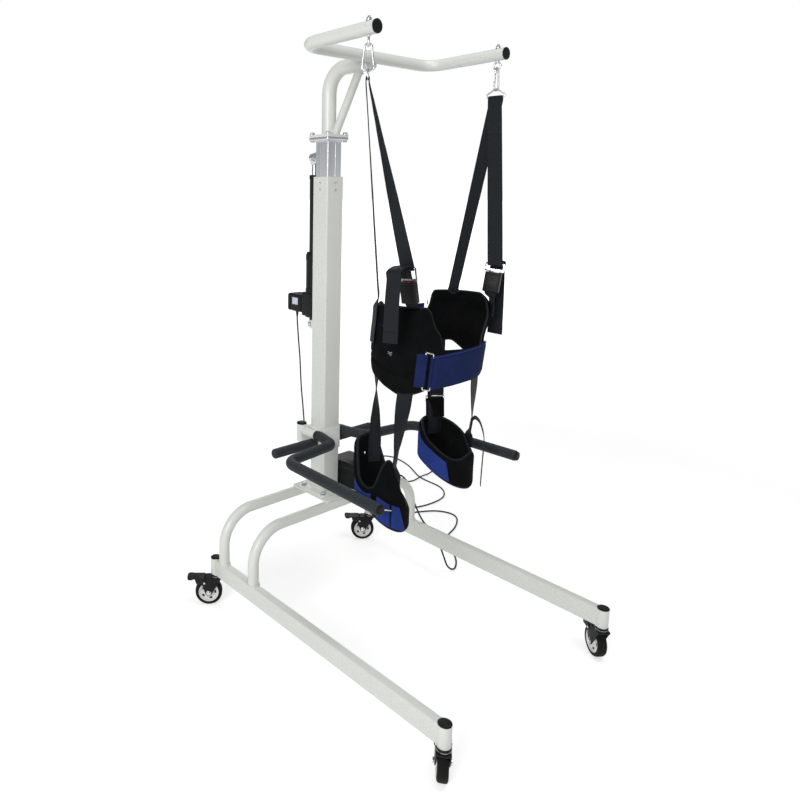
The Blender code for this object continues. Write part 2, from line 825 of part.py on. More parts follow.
def make_motor_cord():
    """The motor's lead: it hangs in a bow behind the sleeve and turns in to the box."""
    gx, gy, gz = MOTOR_GLAND
    bx, by, bz = BOX_REAR_GLAND
    route = (
        (gx, gy, gz - GAP), (gx, gy, gz - 0.030), (0.0, 0.158, 0.960), (0.0, 0.148, 0.880),
        (0.0, 0.140, 0.780), (0.005, 0.134, 0.690), (0.012, 0.130, 0.600), (0.024, 0.127, 0.530),
        (0.046, 0.114, 0.474), (0.074, 0.090, 0.450), (0.096, 0.062, 0.448),
        (bx, by + 0.018, bz), (bx, by + GAP, bz),
    )
    path = bend_path(even_path(smooth_path(route, 8), 0.004), 9.0, 0.05)
    return tube("motor_cord", path, MOTOR_LEAD_R, BLACK, resolution=2)


# Points of the mains lead on the floor, as (x, y), from the leg to the plug
FLOOR_ROUTE = (
    (0.484, -0.264), (0.560, -0.212), (0.660, -0.085), (0.778, -0.040), (0.855, 0.004),
    (0.885, 0.055), (0.845, 0.130), (0.707, 0.205), (0.692, 0.239),
    (0.721, 0.265), (0.762, 0.249), (0.802, 0.211), (0.905, 0.192), (1.015, 0.208),
    (1.090, 0.290), (1.108, 0.440), (1.190, 0.600), (1.213, 0.735), (1.149, 0.791),
    (1.030, 0.752), (0.962, 0.656), (0.948, 0.545), (1.010, 0.443), (1.110, 0.432),
    (1.262, 0.461),
)
CROSSING = (1.107, 0.432)


def lead_route():
    """The whole route of the mains lead, from the box's gland to the plug."""
    gx, gy, gz = BOX_LOW_GLAND
    over = ARCH_R + LEAD_R + 0.0012
    lift = math.radians(64)
    side = -ARCH_Y + over * math.cos(lift)
    reach = ARCH_BEND + over * math.sin(lift) + 0.0005
    route = [
        (gx, gy, gz - GAP), (gx + 0.0005, gy, gz - 0.020), (0.106, -0.0504, 0.3605),
        (0.145, -0.052, 0.3465), (0.210, -0.0555, 0.3435), (0.280, -0.061, 0.353),
        (0.330, -0.0665, 0.3745), (0.357, -0.0728, 0.3785),
    ]
    for angle in (49, 68):
        a = math.radians(angle)
        x = LEG_X - ARCH_BEND + reach * math.sin(a)
        route.append((x, side, ARCH_Z - ARCH_BEND + reach * math.cos(a)))
    route += [
        (0.4290, -0.086, 0.250), (0.4272, -0.138, 0.184), (0.4275, -0.205, 0.150),
        (0.4350, -0.243, 0.072), (0.4480, -0.257, 0.026),
    ]
    route += [(x, y, FLOOR_LEAD_Z) for x, y in FLOOR_ROUTE]
    return route


def lead_path():
    """The lead's centre line, evenly spaced, lifted in a long low hump where it crosses."""
    path = even_path(smooth_path(lead_route(), 10), 0.006)
    hump_end = len(path) - 1
    passes = [i for i, p in enumerate(path) if math.dist((p.x, p.y), CROSSING) < 0.030]
    over = max(passes)
    spread = 0.085
    lengths = [0.0]
    for a, b in zip(path, path[1:]):
        lengths.append(lengths[-1] + (b - a).length)
    best = min(
        range(over - 12, hump_end + 1), key=lambda i: math.dist((path[i].x, path[i].y), CROSSING)
    )
    for i, point in enumerate(path):
        point.z = max(point.z, FLOOR_LEAD_Z)
        away = abs(lengths[i] - lengths[best])
        if away < spread:
            point.z += (2 * LEAD_R + 0.0012) * (0.5 + 0.5 * math.cos(math.pi * away / spread))
    return path


def make_power_cord():
    path = bend_path(lead_path(), 17.0, 0.085)
    return tube("power_cord", path, LEAD_R, BLACK, resolution=2)


def make_power_plug():
    """A moulded mains plug with two round pins, lying flat at the end of the lead."""
    end = lead_path()[-1]
    along = (end - lead_path()[-2]).normalized()
    along.z = 0
    place = Matrix.Translation((end.x, end.y, 0)) @ Vector(along).to_track_quat("X", "Z").to_matrix().to_4x4()
    tail = turned(
        "power_plug", ((0.0, 0.034), (0.0062, 0.034), (0.0046, GAP), (0.0, GAP)),
        Matrix.Rotation(math.pi / 2, 4, "Y"), BLACK, 16,
    )
    tail.matrix_world = place @ Matrix.Translation((0, 0, 0.0085)) @ tail.matrix_world
    half = 0.0085
    body = box("plug_body", (0.024, 0.052), (-0.015, 0.015), (0.0003, 2 * half), None, 0.004)
    body.matrix_world = place
    join(tail, body)
    for side in (-1, 1):
        pin = rod(f"plug_pin_{side}", 0.0024, (0.050, side * 0.0095, half), (0.070, side * 0.0095, half), sides=10)
        pin.matrix_world = place
        join(tail, pin)
    return tail


# Sliding sleeve


def make_sleeve():
    """A square collar on the column with sockets for the arms and bars for the grips."""
    low, high = SLEEVE_Z
    inside = OUTER / 2 + GAP
    outside = inside + SLEEVE_WALL
    sleeve = square_tube("grip_sleeve", 2 * outside, SLEEVE_WALL, low, high, PAINT, 0.003)
    for side in (-1, 1):
        x = side * ARM_X
        near, far = SOCKET_Y
        web_in = side * (inside + 0.001)
        xs = (min(web_in, x), max(web_in, x))
        web = box(f"arm_web_{side}", xs, (-0.012, 0.030), (ARM_Z - 0.013, ARM_Z + 0.013))
        rear_xs = (min(side * 0.034, x), max(side * 0.034, x))
        rear_web = box(f"rear_web_{side}", rear_xs, (inside + 0.001, near), (0.590, 0.644))
        post = rod(f"arm_post_{side}", SWIVEL_R, (x, near, SWIVEL_Z[0]), (x, near, SWIVEL_Z[1]), sides=16)
        cap = turned(
            f"arm_post_cap_{side}",
            ((0.0, 0.0035), (SWIVEL_R - 0.002, 0.0030), (SWIVEL_R + 0.001, 0.0), (SWIVEL_R + 0.001, -0.003),
             (0.0, -0.003)),
            Matrix.Translation((x, near, SWIVEL_Z[1])), None, 18,
        )
        socket = rod(f"arm_socket_{side}", SOCKET_R, (x, far, ARM_Z), (x, near, ARM_Z), sides=18)
        bar = rod(
            f"grip_bar_{side}", GRIP_BAR_R, (side * (inside + 0.001), 0, GRIP_Z), (side * GRIP_BAR, 0, GRIP_Z),
            sides=16,
        )
        join(sleeve, web, rear_web, socket, post, cap, bar)
        bore = rod(
            f"socket_bore_{side}", ARM_TUBE_R + GAP, (x, far - 0.01, ARM_Z), (x, 0.0385, ARM_Z), sides=16
        )
        cut(sleeve, bore)
    boss = rod("knob_boss", 0.009, (0, inside + 0.001, KNOB_Z), (0, outside + 0.010, KNOB_Z), sides=16)
    join(sleeve, boss)
    knob_hole = rod(
        "knob_hole", KNOB_SCREW_R + GAP, (0, inside - 0.002, KNOB_Z), (0, outside + 0.02, KNOB_Z), sides=12
    )
    return smooth(cut(sleeve, knob_hole))


def make_arm_grip(name, side):
    """A foam-covered tube that runs out from its socket and forward along one side."""
    points = [(side * x, y, ARM_Z) for x, y in ARM_POINTS]
    foam = tube(name, fillet_path(points, ARM_BENDS, 4), FOAM_R, FOAM)
    spigot = rod(
        f"{name}_spigot", ARM_TUBE_R, (side * ARM_X, points[0][1] - 0.004, ARM_Z), (side * ARM_X, 0.036, ARM_Z),
        sides=16,
    )
    return smooth(join(foam, spigot))


def make_push_grip(name, side):
    """A foam sleeve, closed at its outer end, on a bar of the sliding sleeve."""
    near, far = FOAM_GRIP_X
    bore = GRIP_BAR_R + GAP
    length = far - near
    depth = GRIP_BAR - near + GAP
    profile = (
        (0.0, length), (FOAM_R - 0.004, length), (FOAM_R, length - 0.004), (FOAM_R, 0.001),
        (FOAM_R - 0.001, 0.0), (bore, 0.0), (bore, depth), (0.0, depth),
    )
    turn = Matrix.Rotation(side * math.pi / 2, 4, "Y")
    place = Matrix.Translation((side * near, 0, GRIP_Z)) @ turn
    return smooth(turned(name, profile, place, FOAM, 20))


KNOB_Z = 0.606
KNOB_SCREW_R = 0.004


def make_clamp_knob():
    """A lobed hand knob whose screw passes through the collar and grips the column."""
    inside = OUTER / 2 + GAP
    face = inside + SLEEVE_WALL + 0.010 + 2 * GAP
    outline = []
    for step in range(30):
        a = 2 * math.pi * step / 30
        r = KNOB_R * (0.9 + 0.1 * math.cos(5 * a))
        outline.append((r * math.cos(a), r * math.sin(a)))
    place = Matrix.Translation((0, face, KNOB_Z)) @ ALONG_Y
    knob = prism("clamp_knob", outline, 0.0, 0.018, place, BLACK)
    round_edges(knob, 0.002, 1)
    screw = rod("knob_screw", KNOB_SCREW_R, (0, inside + 0.0004, KNOB_Z), (0, face + 0.006, KNOB_Z), sides=12)
    return join(knob, screw)


# Casters


def make_caster(name, px, py, trail_angle):
    """A swivel fork with its axle, a brake pedal on the fork, and the wheel."""
    place = Matrix.Translation((px, py, 0)) @ Matrix.Rotation(math.radians(trail_angle), 4, "Z")
    low_y = HUB_W / 2 + GAP
    high_y = low_y + FORK_T
    side_view = Matrix(((1, 0, 0, 0), (0, 0, 1, 0), (0, 1, 0, 0), (0, 0, 0, 1)))
    fork = box(
        f"{name}_fork", (-CROWN_BACK, CROWN_FRONT), (0.0005 - high_y, high_y - 0.0005),
        (CROWN_Z, CROWN_Z + 0.004),
        BLACK,
    )
    blade = [(-0.020, CROWN_Z + 0.003)]
    blade += arc((TRAIL, WHEEL_R), 0.012, 190, 340, 5)
    blade += [(PEDAL_X + 0.009, PEDAL_PIVOT_Z - 0.006), (PEDAL_X + 0.008, PEDAL_PIVOT_Z + 0.004)]
    blade += [(0.038, CROWN_Z + 0.003)]
    for sign in (-1, 1):
        limits = (low_y, high_y) if sign > 0 else (-high_y, -low_y)
        join(fork, prism(f"{name}_blade_{sign}", blade, *limits, side_view))
    race = rod(f"{name}_race", 0.0205, (0, 0, CROWN_Z + 0.002), (0, 0, POST_BOTTOM - GAP), sides=16)
    stem = rod(
        f"{name}_stem", POST_R - POST_WALL - 2 * GAP, (0, 0, CROWN_Z + 0.004),
        (0, 0, POST_TOP - CAP_PLUG - 0.004), sides=12,
    )
    axle = rod(f"{name}_axle", AXLE_R, (TRAIL, -high_y - 0.003, WHEEL_R), (TRAIL, high_y + 0.003, WHEEL_R), sides=12)
    rivets = [
        rod(
            f"{name}_rivet_{sign}", 0.003, (PEDAL_X, sign * (low_y + 0.0005), PEDAL_PIVOT_Z),
            (PEDAL_X, sign * (high_y + 0.004), PEDAL_PIVOT_Z), sides=10,
        )
        for sign in (-1, 1)
    ]
    join(fork, race, stem, axle, *rivets)
    near = high_y + 2 * GAP
    far = near + PEDAL_T
    pedal = box(
        f"{name}_pedal", (0.0415, PEDAL_END), (-far, far), (PEDAL_Z - 0.003, PEDAL_Z), BLACK
    )
    flange = [
        (PEDAL_X - 0.006, PEDAL_PIVOT_Z - 0.005), (PEDAL_X + 0.030, PEDAL_PIVOT_Z - 0.002),
        (PEDAL_X + 0.036, PEDAL_Z - 0.001), (0.042, PEDAL_Z - 0.001),
        (PEDAL_X - 0.006, PEDAL_PIVOT_Z + 0.006),
    ]
    for sign in (-1, 1):
        limits = (near, far) if sign > 0 else (-far, -near)
        join(pedal, prism(f"{name}_flange_{sign}", flange, *limits, side_view))
    lip = box(f"{name}_lip", (PEDAL_END - 0.012, PEDAL_END + LIP), (-far, far), (PEDAL_Z - 0.006, PEDAL_Z + 0.001))
    shoe = box(f"{name}_shoe", (0.066, 0.072), (-0.010, 0.010), (0.0868, PEDAL_Z - 0.001))
    join(pedal, lip, shoe)
    hole = rod(
        f"{name}_pedal_hole", 0.003 + GAP, (PEDAL_X, -0.05, PEDAL_PIVOT_Z), (PEDAL_X, 0.05, PEDAL_PIVOT_Z),
        sides=10,
    )
    cut(pedal, hole)
    half = TYRE_W / 2
    bore = AXLE_R + GAP
    profile = (
        (bore, HUB_W / 2), (HUB_R, HUB_W / 2), (HUB_R, half - 0.006), (RIM_R - 0.004, half - 0.006),
        (RIM_R, half), (WHEEL_R - 0.002, half), (WHEEL_R, half - 0.005), (WHEEL_R, 0.005 - half),
        (WHEEL_R - 0.002, -half), (RIM_R, -half), (RIM_R - 0.004, 0.006 - half), (HUB_R, 0.006 - half),
        (HUB_R, -HUB_W / 2), (bore, -HUB_W / 2),
    )
    axis = Matrix.Translation((TRAIL, 0, WHEEL_R)) @ Matrix.Rotation(math.pi / 2, 4, "X")
    wheel = turned(f"{name}_wheel", profile, place @ axis, TYRE, 20, closed=True)
    for obj in (fork, pedal):
        place_all(obj, place)
        smooth(obj)
    smooth(wheel)
    return fork, pedal, wheel


def base_middle():
    """The middle of the overall box: the casters reach furthest out on every side."""
    half = HUB_W / 2 + GAP + FORK_T
    reaches = [(-CROWN_BACK, half - 0.0005), (PEDAL_END + LIP, half + 2 * GAP + PEDAL_T)]
    corners = []
    for _, x, y, angle in CASTERS:
        turn = Matrix.Rotation(math.radians(angle), 2)
        for along, across in reaches:
            corners += [Vector((x, y)) + turn @ Vector((along, s * across)) for s in (-1, 1)]
    middle = [(min(c[k] for c in corners) + max(c[k] for c in corners)) / 2 for k in (0, 1)]
    return Vector((*middle, 0.0))


# Hooks and rings

HOOK_TURN = {-1: 135.0, 1: 10.0}
RING_TURN = {-1: 45.0, 1: -80.0}
HOOK_OUTLINE = (
    (-0.0098, HOOK_TOP - 0.0170), (-0.0085, HOOK_TOP - 0.0045), (0.0, HOOK_TOP),
    (0.0085, HOOK_TOP - 0.0045), (0.0108, HOOK_TOP - 0.0170), (0.0152, HOOK_BOTTOM + 0.0180),
    (0.0137, HOOK_BOTTOM + 0.0055), (0.0, HOOK_BOTTOM), (-0.0137, HOOK_BOTTOM + 0.0055),
    (-0.0152, HOOK_BOTTOM + 0.0120),
)


def hook_place(side, turn):
    return Matrix.Translation((side * BAR_HALF, EYE_Y, 0)) @ Matrix.Rotation(math.radians(turn), 4, "Z")


def make_carabiner(name, side):
    """A pear-shaped snap hook in the eye, with an opening on one side for its gate."""
    place = hook_place(side, HOOK_TURN[side])
    path = [place @ p for p in smooth_path([(x, 0, z) for x, z in HOOK_OUTLINE], 2)]
    return tube(name, path, HOOK_R, STEEL, resolution=2)


def gate_ends(side):
    """The gate's pivot, just above the hook's lower end, and its free end under the nose."""
    place = hook_place(side, HOOK_TURN[side])
    low = Vector((HOOK_OUTLINE[-1][0], 0, HOOK_OUTLINE[-1][1] + GATE_R + GAP))
    high = Vector((HOOK_OUTLINE[0][0] - 0.0004, 0, HOOK_OUTLINE[0][1] - 0.0008))
    return place @ low, place @ high


def make_gate(name, side):
    """A round bar with a ball end that turns in the hook's lower end."""
    low, high = gate_ends(side)
    along = high - low
    place = Matrix.Translation(low) @ along.to_track_quat("Z", "Y").to_matrix().to_4x4()
    profile = [(r, h) for r, h in arc((0.0, 0.0), GATE_R, -90, 0, 3)]
    profile += [(GATE_R, along.length), (0.0, along.length)]
    return smooth(as_mesh(turned(name, profile, place, None, 10), STEEL))


RING_TOP = HOOK_BOTTOM + HOOK_R + RING_R + GAP
RING_BAR_Z = RING_TOP - RING_DROP


def make_ring(name, side):
    """A triangular ring that hangs in the hook and holds the straps on its lower bar."""
    half = STRAP_W / 2 + 0.0055
    shoulder = 0.010
    bend = 0.006
    slant = math.atan2(half, RING_DROP - shoulder)
    corner = RING_TOP + bend / math.sin(slant) - bend
    place = hook_place(side, RING_TURN[side])
    points = (
        (-0.004, 0, RING_BAR_Z), (-half, 0, RING_BAR_Z), (-half, 0, RING_BAR_Z + shoulder),
        (0, 0, corner), (half, 0, RING_BAR_Z + shoulder), (half, 0, RING_BAR_Z), (-0.003, 0, RING_BAR_Z),
    )
    path = [place @ p for p in fillet_path(points, (0.003, 0.004, bend, 0.004, 0.003), 3)][:-1]
    return tube(name, path, RING_R, STEEL, resolution=2, cyclic=True)


# Cloth pieces


def corner_curve(angle, ax, ay, power=2.5):
    """The point of a rounded rectangle at an angle in degrees."""
    c, s = math.cos(math.radians(angle)), math.sin(math.radians(angle))
    x = ax * math.copysign(abs(c) ** (2 / power), c)
    return x, ay * math.copysign(abs(s) ** (2 / power), s)


def ease(value):
    value = min(1.0, max(0.0, value))
    return value * value * (3 - 2 * value)


def blend_list(values, part):
    """Read a list of evenly spaced values at a part from 0 to 1."""
    at = part * (len(values) - 1)
    low = min(int(at), len(values) - 2)
    return values[low] + (values[low + 1] - values[low]) * (at - low)


def cloth_sheet(name, columns, rows, point, thick, look, closed=False):
    """A lofted sheet: point(s, t) for s along it and t up it, thickened to its outside."""
    bm = bmesh.new()
    count = columns if closed else columns + 1
    grid = [
        [bm.verts.new(point(i / columns, j / rows)) for j in range(rows + 1)] for i in range(count)
    ]
    pairs = list(zip(grid, grid[1:]))
    if closed:
        pairs.append((grid[-1], grid[0]))
    for a, b in pairs:
        for j in range(rows):
            bm.faces.new((a[j], b[j], b[j + 1], a[j + 1]))
    obj = from_bmesh(name, bm, look)
    shell = obj.modifiers.new("thickness", "SOLIDIFY")
    shell.thickness = thick
    shell.offset = 1.0
    return smooth(obj)


def vest_side(angle):
    """0 at the middle of a side and 90 at the middle of the back or front, in degrees."""
    a = math.radians(angle)
    return math.degrees(math.atan2(abs(math.sin(a)), abs(math.cos(a))))


def vest_top(angle):
    back = math.sin(math.radians(angle)) > 0
    return VEST_TOP - (0.062 if back else 0.020) * ease((vest_side(angle) - 52) / 30)


def vest_bottom(angle):
    s = math.sin(math.radians(angle))
    back = ease((s - 0.35) / 0.4)
    front = ease((-s - 0.35) / 0.4)
    left = math.cos(math.radians(angle)) < 0
    return VEST_TOP - 0.220 + 0.027 * back - (0.030 if left else 0.010) * front


def vest_at(angle, z, out):
    """A point on the vest, a distance outside its inner face."""
    low = ease((VEST_TOP - z) / 0.2)
    x, y = corner_curve(angle, VEST_AX - 0.014 * low + out, VEST_AY + out)
    return Vector((VEST_C[0] - 0.012 * low + x, VEST_C[1] + y, z))


VEST_RIGHT_EDGE = (-66.0, -69.0, -66.0, -56.0, -45.0)
VEST_LEFT_EDGE = (232.0, 246.0, 247.0, 236.0, 224.0)


def make_vest():
    def point(s, t):
        right, left = blend_list(VEST_RIGHT_EDGE, t), blend_list(VEST_LEFT_EDGE, t)
        angle = right + (left - right) * s
        low, high = vest_bottom(angle), vest_top(angle)
        return vest_at(angle, low + (high - low) * t, 0.0)

    return cloth_sheet("harness_vest", 26, 4, point, VEST_T, CLOTH)


def make_front_band():
    def point(s, t):
        angle = 229.0 + (306.0 - 229.0) * s
        return vest_at(angle, BAND_LOW + BAND_HEIGHT * t, VEST_T + 0.0002)

    return cloth_sheet("front_band", 14, 2, point, BAND_T, NAVY)


def ribbon(name, stations, look=WEBBING, width=STRAP_W):
    """A flat strap through stations of a centre and a width direction.

    The direction is an angle in degrees from +X when it is level, or else a vector.
    """
    bm = bmesh.new()
    previous = None
    for centre, across in stations:
        if not isinstance(across, Vector):
            across = Vector((math.cos(math.radians(across)), math.sin(math.radians(across)), 0.0))
        pair = [bm.verts.new(Vector(centre) + across * width / 2 * sign) for sign in (-1, 1)]
        if previous:
            bm.faces.new((previous[0], previous[1], pair[1], pair[0]))
        previous = pair
    obj = from_bmesh(name, bm, look)
    shell = obj.modifiers.new("thickness", "SOLIDIFY")
    shell.thickness = STRAP_T
    shell.offset = 0.0
    return obj


def run(start, end, angles, steps, sag=0.0):
    """Stations along a straight run whose width direction turns through some angles."""
    start, end = Vector(start), Vector(end)
    stations = []
    for step in range(steps + 1):
        part = step / steps
        centre = start.lerp(end, part)
        centre.z -= sag * math.sin(math.pi * part)
        stations.append((centre, blend_list(angles, part)))
    return stations


STRAP_BEND = GAP + STRAP_T / 2 + 0.0002
# Width directions of the front and rear strap from the ring down, in degrees
FRONT_TURNS = {-1: (45, 55, 65, 78, 90, 100), 1: (-80, -78, -75, -72, -70, -70)}
REAR_TURNS = {-1: (45, 43, 41, 40, 40), 1: (-80, -86, -92, -97, -100)}
TONGUE_BAR = {-1: Vector((-0.209, -0.558, VEST_TOP + 0.117)), 1: Vector((0.203, -0.566, VEST_TOP + 0.105))}
TAIL_OUT = {-1: 0.058, 1: 0.034}
TAIL_DROP = {-1: 0.190, 1: 0.225}
BUCKLE_FOOT = {-1: 207.0, 1: 333.0}
REAR_FOOT = {-1: 153.0, 1: 27.0}


def make_strap(name, side):
    """One webbing: from the back of the vest over the ring's bar and down to the tongue.

    It turns under the tongue's bar, and its free tail hangs outside.
    """
    turn = RING_TURN[side]
    place = hook_place(side, turn)
    front_dir = place.to_3x3() @ Vector((0, -1, 0)) * (1 if side < 0 else -1)
    if front_dir.y > 0:
        front_dir = -front_dir
    bar = place @ Vector((0, 0, RING_BAR_Z))
    r = RING_R + STRAP_BEND
    rear_foot = vest_at(REAR_FOOT[side], VEST_TOP, VEST_T / 2) + Vector((0, 0, GAP + 0.0004))
    stations = run(
        rear_foot, bar - front_dir * r + Vector((0, 0, -0.012)), tuple(reversed(REAR_TURNS[side])), 9
    )
    for step in range(7):
        a = math.pi * step / 6
        stations.append((bar - front_dir * r * math.cos(a) + Vector((0, 0, r * math.sin(a))), turn))
    tongue = TONGUE_BAR[side]
    across, outward, up = (Vector(column) for column in buckle_place(side)[0].to_3x3().transposed())
    if outward.dot(tongue - Vector((*VEST_C, tongue.z))) < 0:
        outward = -outward
    q = TONGUE_BAR_R + STRAP_BEND
    stations += run(bar + front_dir * r + Vector((0, 0, -0.012)), tongue - outward * q, FRONT_TURNS[side], 9)
    stations[-1] = (stations[-1][0], across)
    for step in range(1, 8):
        a = math.pi * step / 7
        stations.append((tongue - outward * q * math.cos(a) - up * q * math.sin(a), across))
    half_turn = (TAIL_OUT[side] - q) / 2
    for step in range(7):
        a = math.pi * (1 - step / 6)
        out = q + half_turn * (1 + math.cos(a))
        stations.append((tongue + outward * out + up * (0.004 + 0.010 * math.sin(a)), across))
    curl = tongue + outward * TAIL_OUT[side]
    end = curl + outward * 0.004 - Vector((0, 0, TAIL_DROP[side]))
    for step in range(5):
        stations.append(((curl - up * 0.012).lerp(end, step / 4), across))
    return ribbon(name, stations)


def buckle_place(side):
    """The buckle's frame: up its own Z to the tongue's bar, its width along X."""
    foot = vest_at(BUCKLE_FOOT[side], VEST_TOP, VEST_T / 2)
    up = (TONGUE_BAR[side] - foot).normalized()
    turn = math.radians(FRONT_TURNS[side][-1])
    across = Vector((math.cos(turn), math.sin(turn), 0))
    across = (across - up * across.dot(up)).normalized()
    deep = up.cross(across)
    middle = Vector((VEST_C[0], VEST_C[1], foot.z))
    if deep.dot(foot - middle) > 0:
        across, deep = -across, -deep
    frame = Matrix((across, deep, up)).transposed().to_4x4()
    return Matrix.Translation(foot) @ frame, (TONGUE_BAR[side] - foot).length


BUCKLE_LOW = 0.017


def make_buckle(name, side):
    """A push-button buckle on a short tab at the top of the vest."""
    place, _ = buckle_place(side)
    w, d, h = BUCKLE
    body = box(name, (-w / 2, w / 2), (-d / 2, d / 2), (BUCKLE_LOW, BUCKLE_LOW + h), BLACK, 0.004)
    mouth = box(f"{name}_mouth", (-0.0180, 0.0180), (-0.0020, 0.0020), (BUCKLE_LOW + h - 0.032, BUCKLE_LOW + h + 0.01))
    pocket = box(
        f"{name}_pocket", (-0.0150, 0.0150), (-0.0088, -0.0030), (BUCKLE_LOW + h - 0.014, BUCKLE_LOW + h + 0.01)
    )
    cut(body, mouth, pocket)
    place_all(body, place)
    foot = place.translation
    turn = math.radians(FRONT_TURNS[side][-1])
    tab = box(f"{name}_tab", (-0.017, 0.017), (-0.0022, 0.0022), (GAP + 0.0006, 0.030))
    tab.matrix_world = Matrix.Translation(foot) @ Matrix.Rotation(turn, 4, "Z")
    return join(body, tab)


def make_button(name, side):
    place, _ = buckle_place(side)
    top = BUCKLE_LOW + BUCKLE[2]
    button = box(name, (-0.0146, 0.0146), (-0.0084, -0.0034), (top - 0.009, top + 0.0018), RED)
    return place_all(button, place)


def make_tongue(name, side):
    """A steel tongue: a frame whose top bar holds the strap, and a blade in the buckle."""
    place, length = buckle_place(side)
    half = STRAP_W / 2 + 0.002
    blade_top = BUCKLE_LOW + BUCKLE[2] + 0.004
    blade = box(name, (-0.0165, 0.0165), (-0.0012, 0.0012), (BUCKLE_LOW + BUCKLE[2] - 0.028, blade_top + 0.003), STEEL)
    plate = box(
        f"{name}_plate", (-half - 0.005, half + 0.005), (-0.0013, 0.0013), (blade_top - 0.002, blade_top + 0.006)
    )
    bar = rod(f"{name}_bar", TONGUE_BAR_R, (-half - 0.003, 0, length), (half + 0.003, 0, length), sides=12)
    cheeks = [
        box(
            f"{name}_cheek_{s}", tuple(sorted((s * half, s * (half + 0.0045)))), (-0.0015, 0.0015),
            (blade_top, length + 0.002),
        )
        for s in (-1, 1)
    ]
    join(blade, plate, bar, *cheeks)
    return place_all(blade, place)


# Thigh cuffs with their straps

CUFFS = {-1: (-0.215, -0.492), 1: (0.0915, -0.492)}
CUFF_CORNER = 2.2
# Vest angle, width directions from top to bottom, width, and place along the ear, of the
# rear and the front leg strap
LEG_STRAPS = {
    -1: ((163.0, (70, 74, 52, -8), 0.046, 0.010), (203.0, (122, 135, 155, 167), 0.046, 0.012)),
    1: ((58.0, (-32, -30, -15, 0), 0.048, 0.0), (-58.0, (28, 36, 30, 4), 0.044, 0.0)),
}


def cuff_at(side, x, y):
    """A point of the cuff's plan in world coordinates, on its sloping lower edge."""
    turn = Matrix.Rotation(math.radians(CUFF_TURN[side]), 3, "Z")
    offset = turn @ Vector((x, y, 0))
    slope_x, slope_y = CUFF_SLOPES[side]
    low = CUFF_LOW[side] + slope_x * offset.x + slope_y * offset.y
    return Vector((CUFFS[side][0] + offset.x, CUFFS[side][1] + offset.y, low))


def make_cuff(name, side):
    rear_ear, front_ear = CUFF_EARS[side]

    def point(s, t):
        angle = 360.0 * s
        low = cuff_at(side, *corner_curve(angle, *CUFF_A[side], CUFF_CORNER))
        wall_top = low.z + CUFF_HEIGHT[side]
        ear = math.sin(math.radians(angle))
        raised = rear_ear if ear > 0 else front_ear
        high = wall_top + (raised - wall_top) * ease((abs(ear) - 0.55) / 0.38)
        low.z += (high - low.z) * t
        return low

    cuff = cloth_sheet(name, 20, 2, point, CUFF_T, CLOTH, closed=True)
    for where, ear, (vest_angle, turns, width, along) in zip((1, -1), CUFF_EARS[side], LEG_STRAPS[side]):
        lowest = min(vest_bottom(vest_angle + d) for d in (-14, -7, 0, 7, 14))
        top = vest_at(vest_angle, lowest, VEST_T / 2) - Vector((0, 0, GAP + 0.0006))
        foot = cuff_at(side, along, where * (CUFF_A[side][1] + CUFF_T / 2))
        foot.z = ear - 0.030
        knee = foot.lerp(top, 0.1)
        knee.z = foot.z + 0.045
        stations = run(top, knee, turns[:-1], 7) + [(foot, turns[-1])]
        join(cuff, ribbon(f"{name}_strap_{where}", stations, None, width))
    return cuff


def main():
    clear_scene()
    make_leg("left_leg", -1)
    make_leg("right_leg", 1)
    for name, x, y, _ in CASTERS:
        make_cap(f"{name}_post_cap", Matrix.Translation((x, y, POST_TOP)), POST_R, POST_R - POST_WALL)
    make_arch("rear_arch", ARCH_Y)
    make_arch("front_arch", -ARCH_Y)
    make_mounting_plate()
    make_outer_column()
    make_guide_bush()
    inner = make_inner_column()
    yoke = make_yoke()
    lifted = [inner, yoke, make_actuator_rod()]
    make_actuator_tube()
    make_motor()
    make_control_box()
    make_motor_cord()
    make_power_cord()
    make_power_plug()
    sleeve = [make_sleeve()]
    harness = [make_vest(), make_front_band()]
    for word, side in (("left", -1), ("right", 1)):
        lifted += [make_yoke_cap(f"{word}_yoke_cap", side), make_eye_bolt(f"{word}_eye_bolt", side)]
        sleeve += [make_arm_grip(f"{word}_arm_grip", side), make_push_grip(f"{word}_push_grip", side)]
        harness += [
            make_carabiner(f"{word}_carabiner", side), make_ring(f"{word}_strap_ring", side),
            make_strap(f"{word}_strap", side), make_tongue(f"{word}_tongue", side),
            make_buckle(f"{word}_buckle", side), make_cuff(f"{word}_thigh_cuff", side),
        ]
        hang_on(f"{word}_gate_axis", gate_ends(side)[0], [make_gate(f"{word}_carabiner_gate", side)])
        button = make_button(f"{word}_buckle_button", side)
        hang_on(f"{word}_button_axis", buckle_place(side)[0].translation, [button])
    hang_on("lift_axis", (0, 0, OUTER_TOP), lifted)
    hang_on("sleeve_axis", (0, 0, SLEEVE_Z[0]), sleeve)
    hang_on("knob_axis", (0, OUTER / 2, KNOB_Z), [make_clamp_knob()])
    hang_on("harness_axis", (0, EYE_Y, SWING_Z), harness)
    for name, x, y, angle in CASTERS:
        fork, pedal, wheel = make_caster(name, x, y, angle)
        hang_on(f"{name}_swivel_axis", (x, y, POST_BOTTOM), [fork])
        turn = math.radians(angle)
        axle = (x + TRAIL * math.cos(turn), y + TRAIL * math.sin(turn), WHEEL_R)
        hang_on(f"{name}_wheel_axis", axle, [wheel])
        rivet = (x + PEDAL_X * math.cos(turn), y + PEDAL_X * math.sin(turn), PEDAL_PIVOT_Z)
        hang_on(f"{name}_pedal_axis", rivet, [pedal])
    move = Matrix.Translation(-base_middle())
    for obj in bpy.data.objects:
        if obj.parent is None:
            obj.matrix_world = move @ obj.matrix_world


if __name__ == "__main__":
    main()
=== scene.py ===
import json
import math

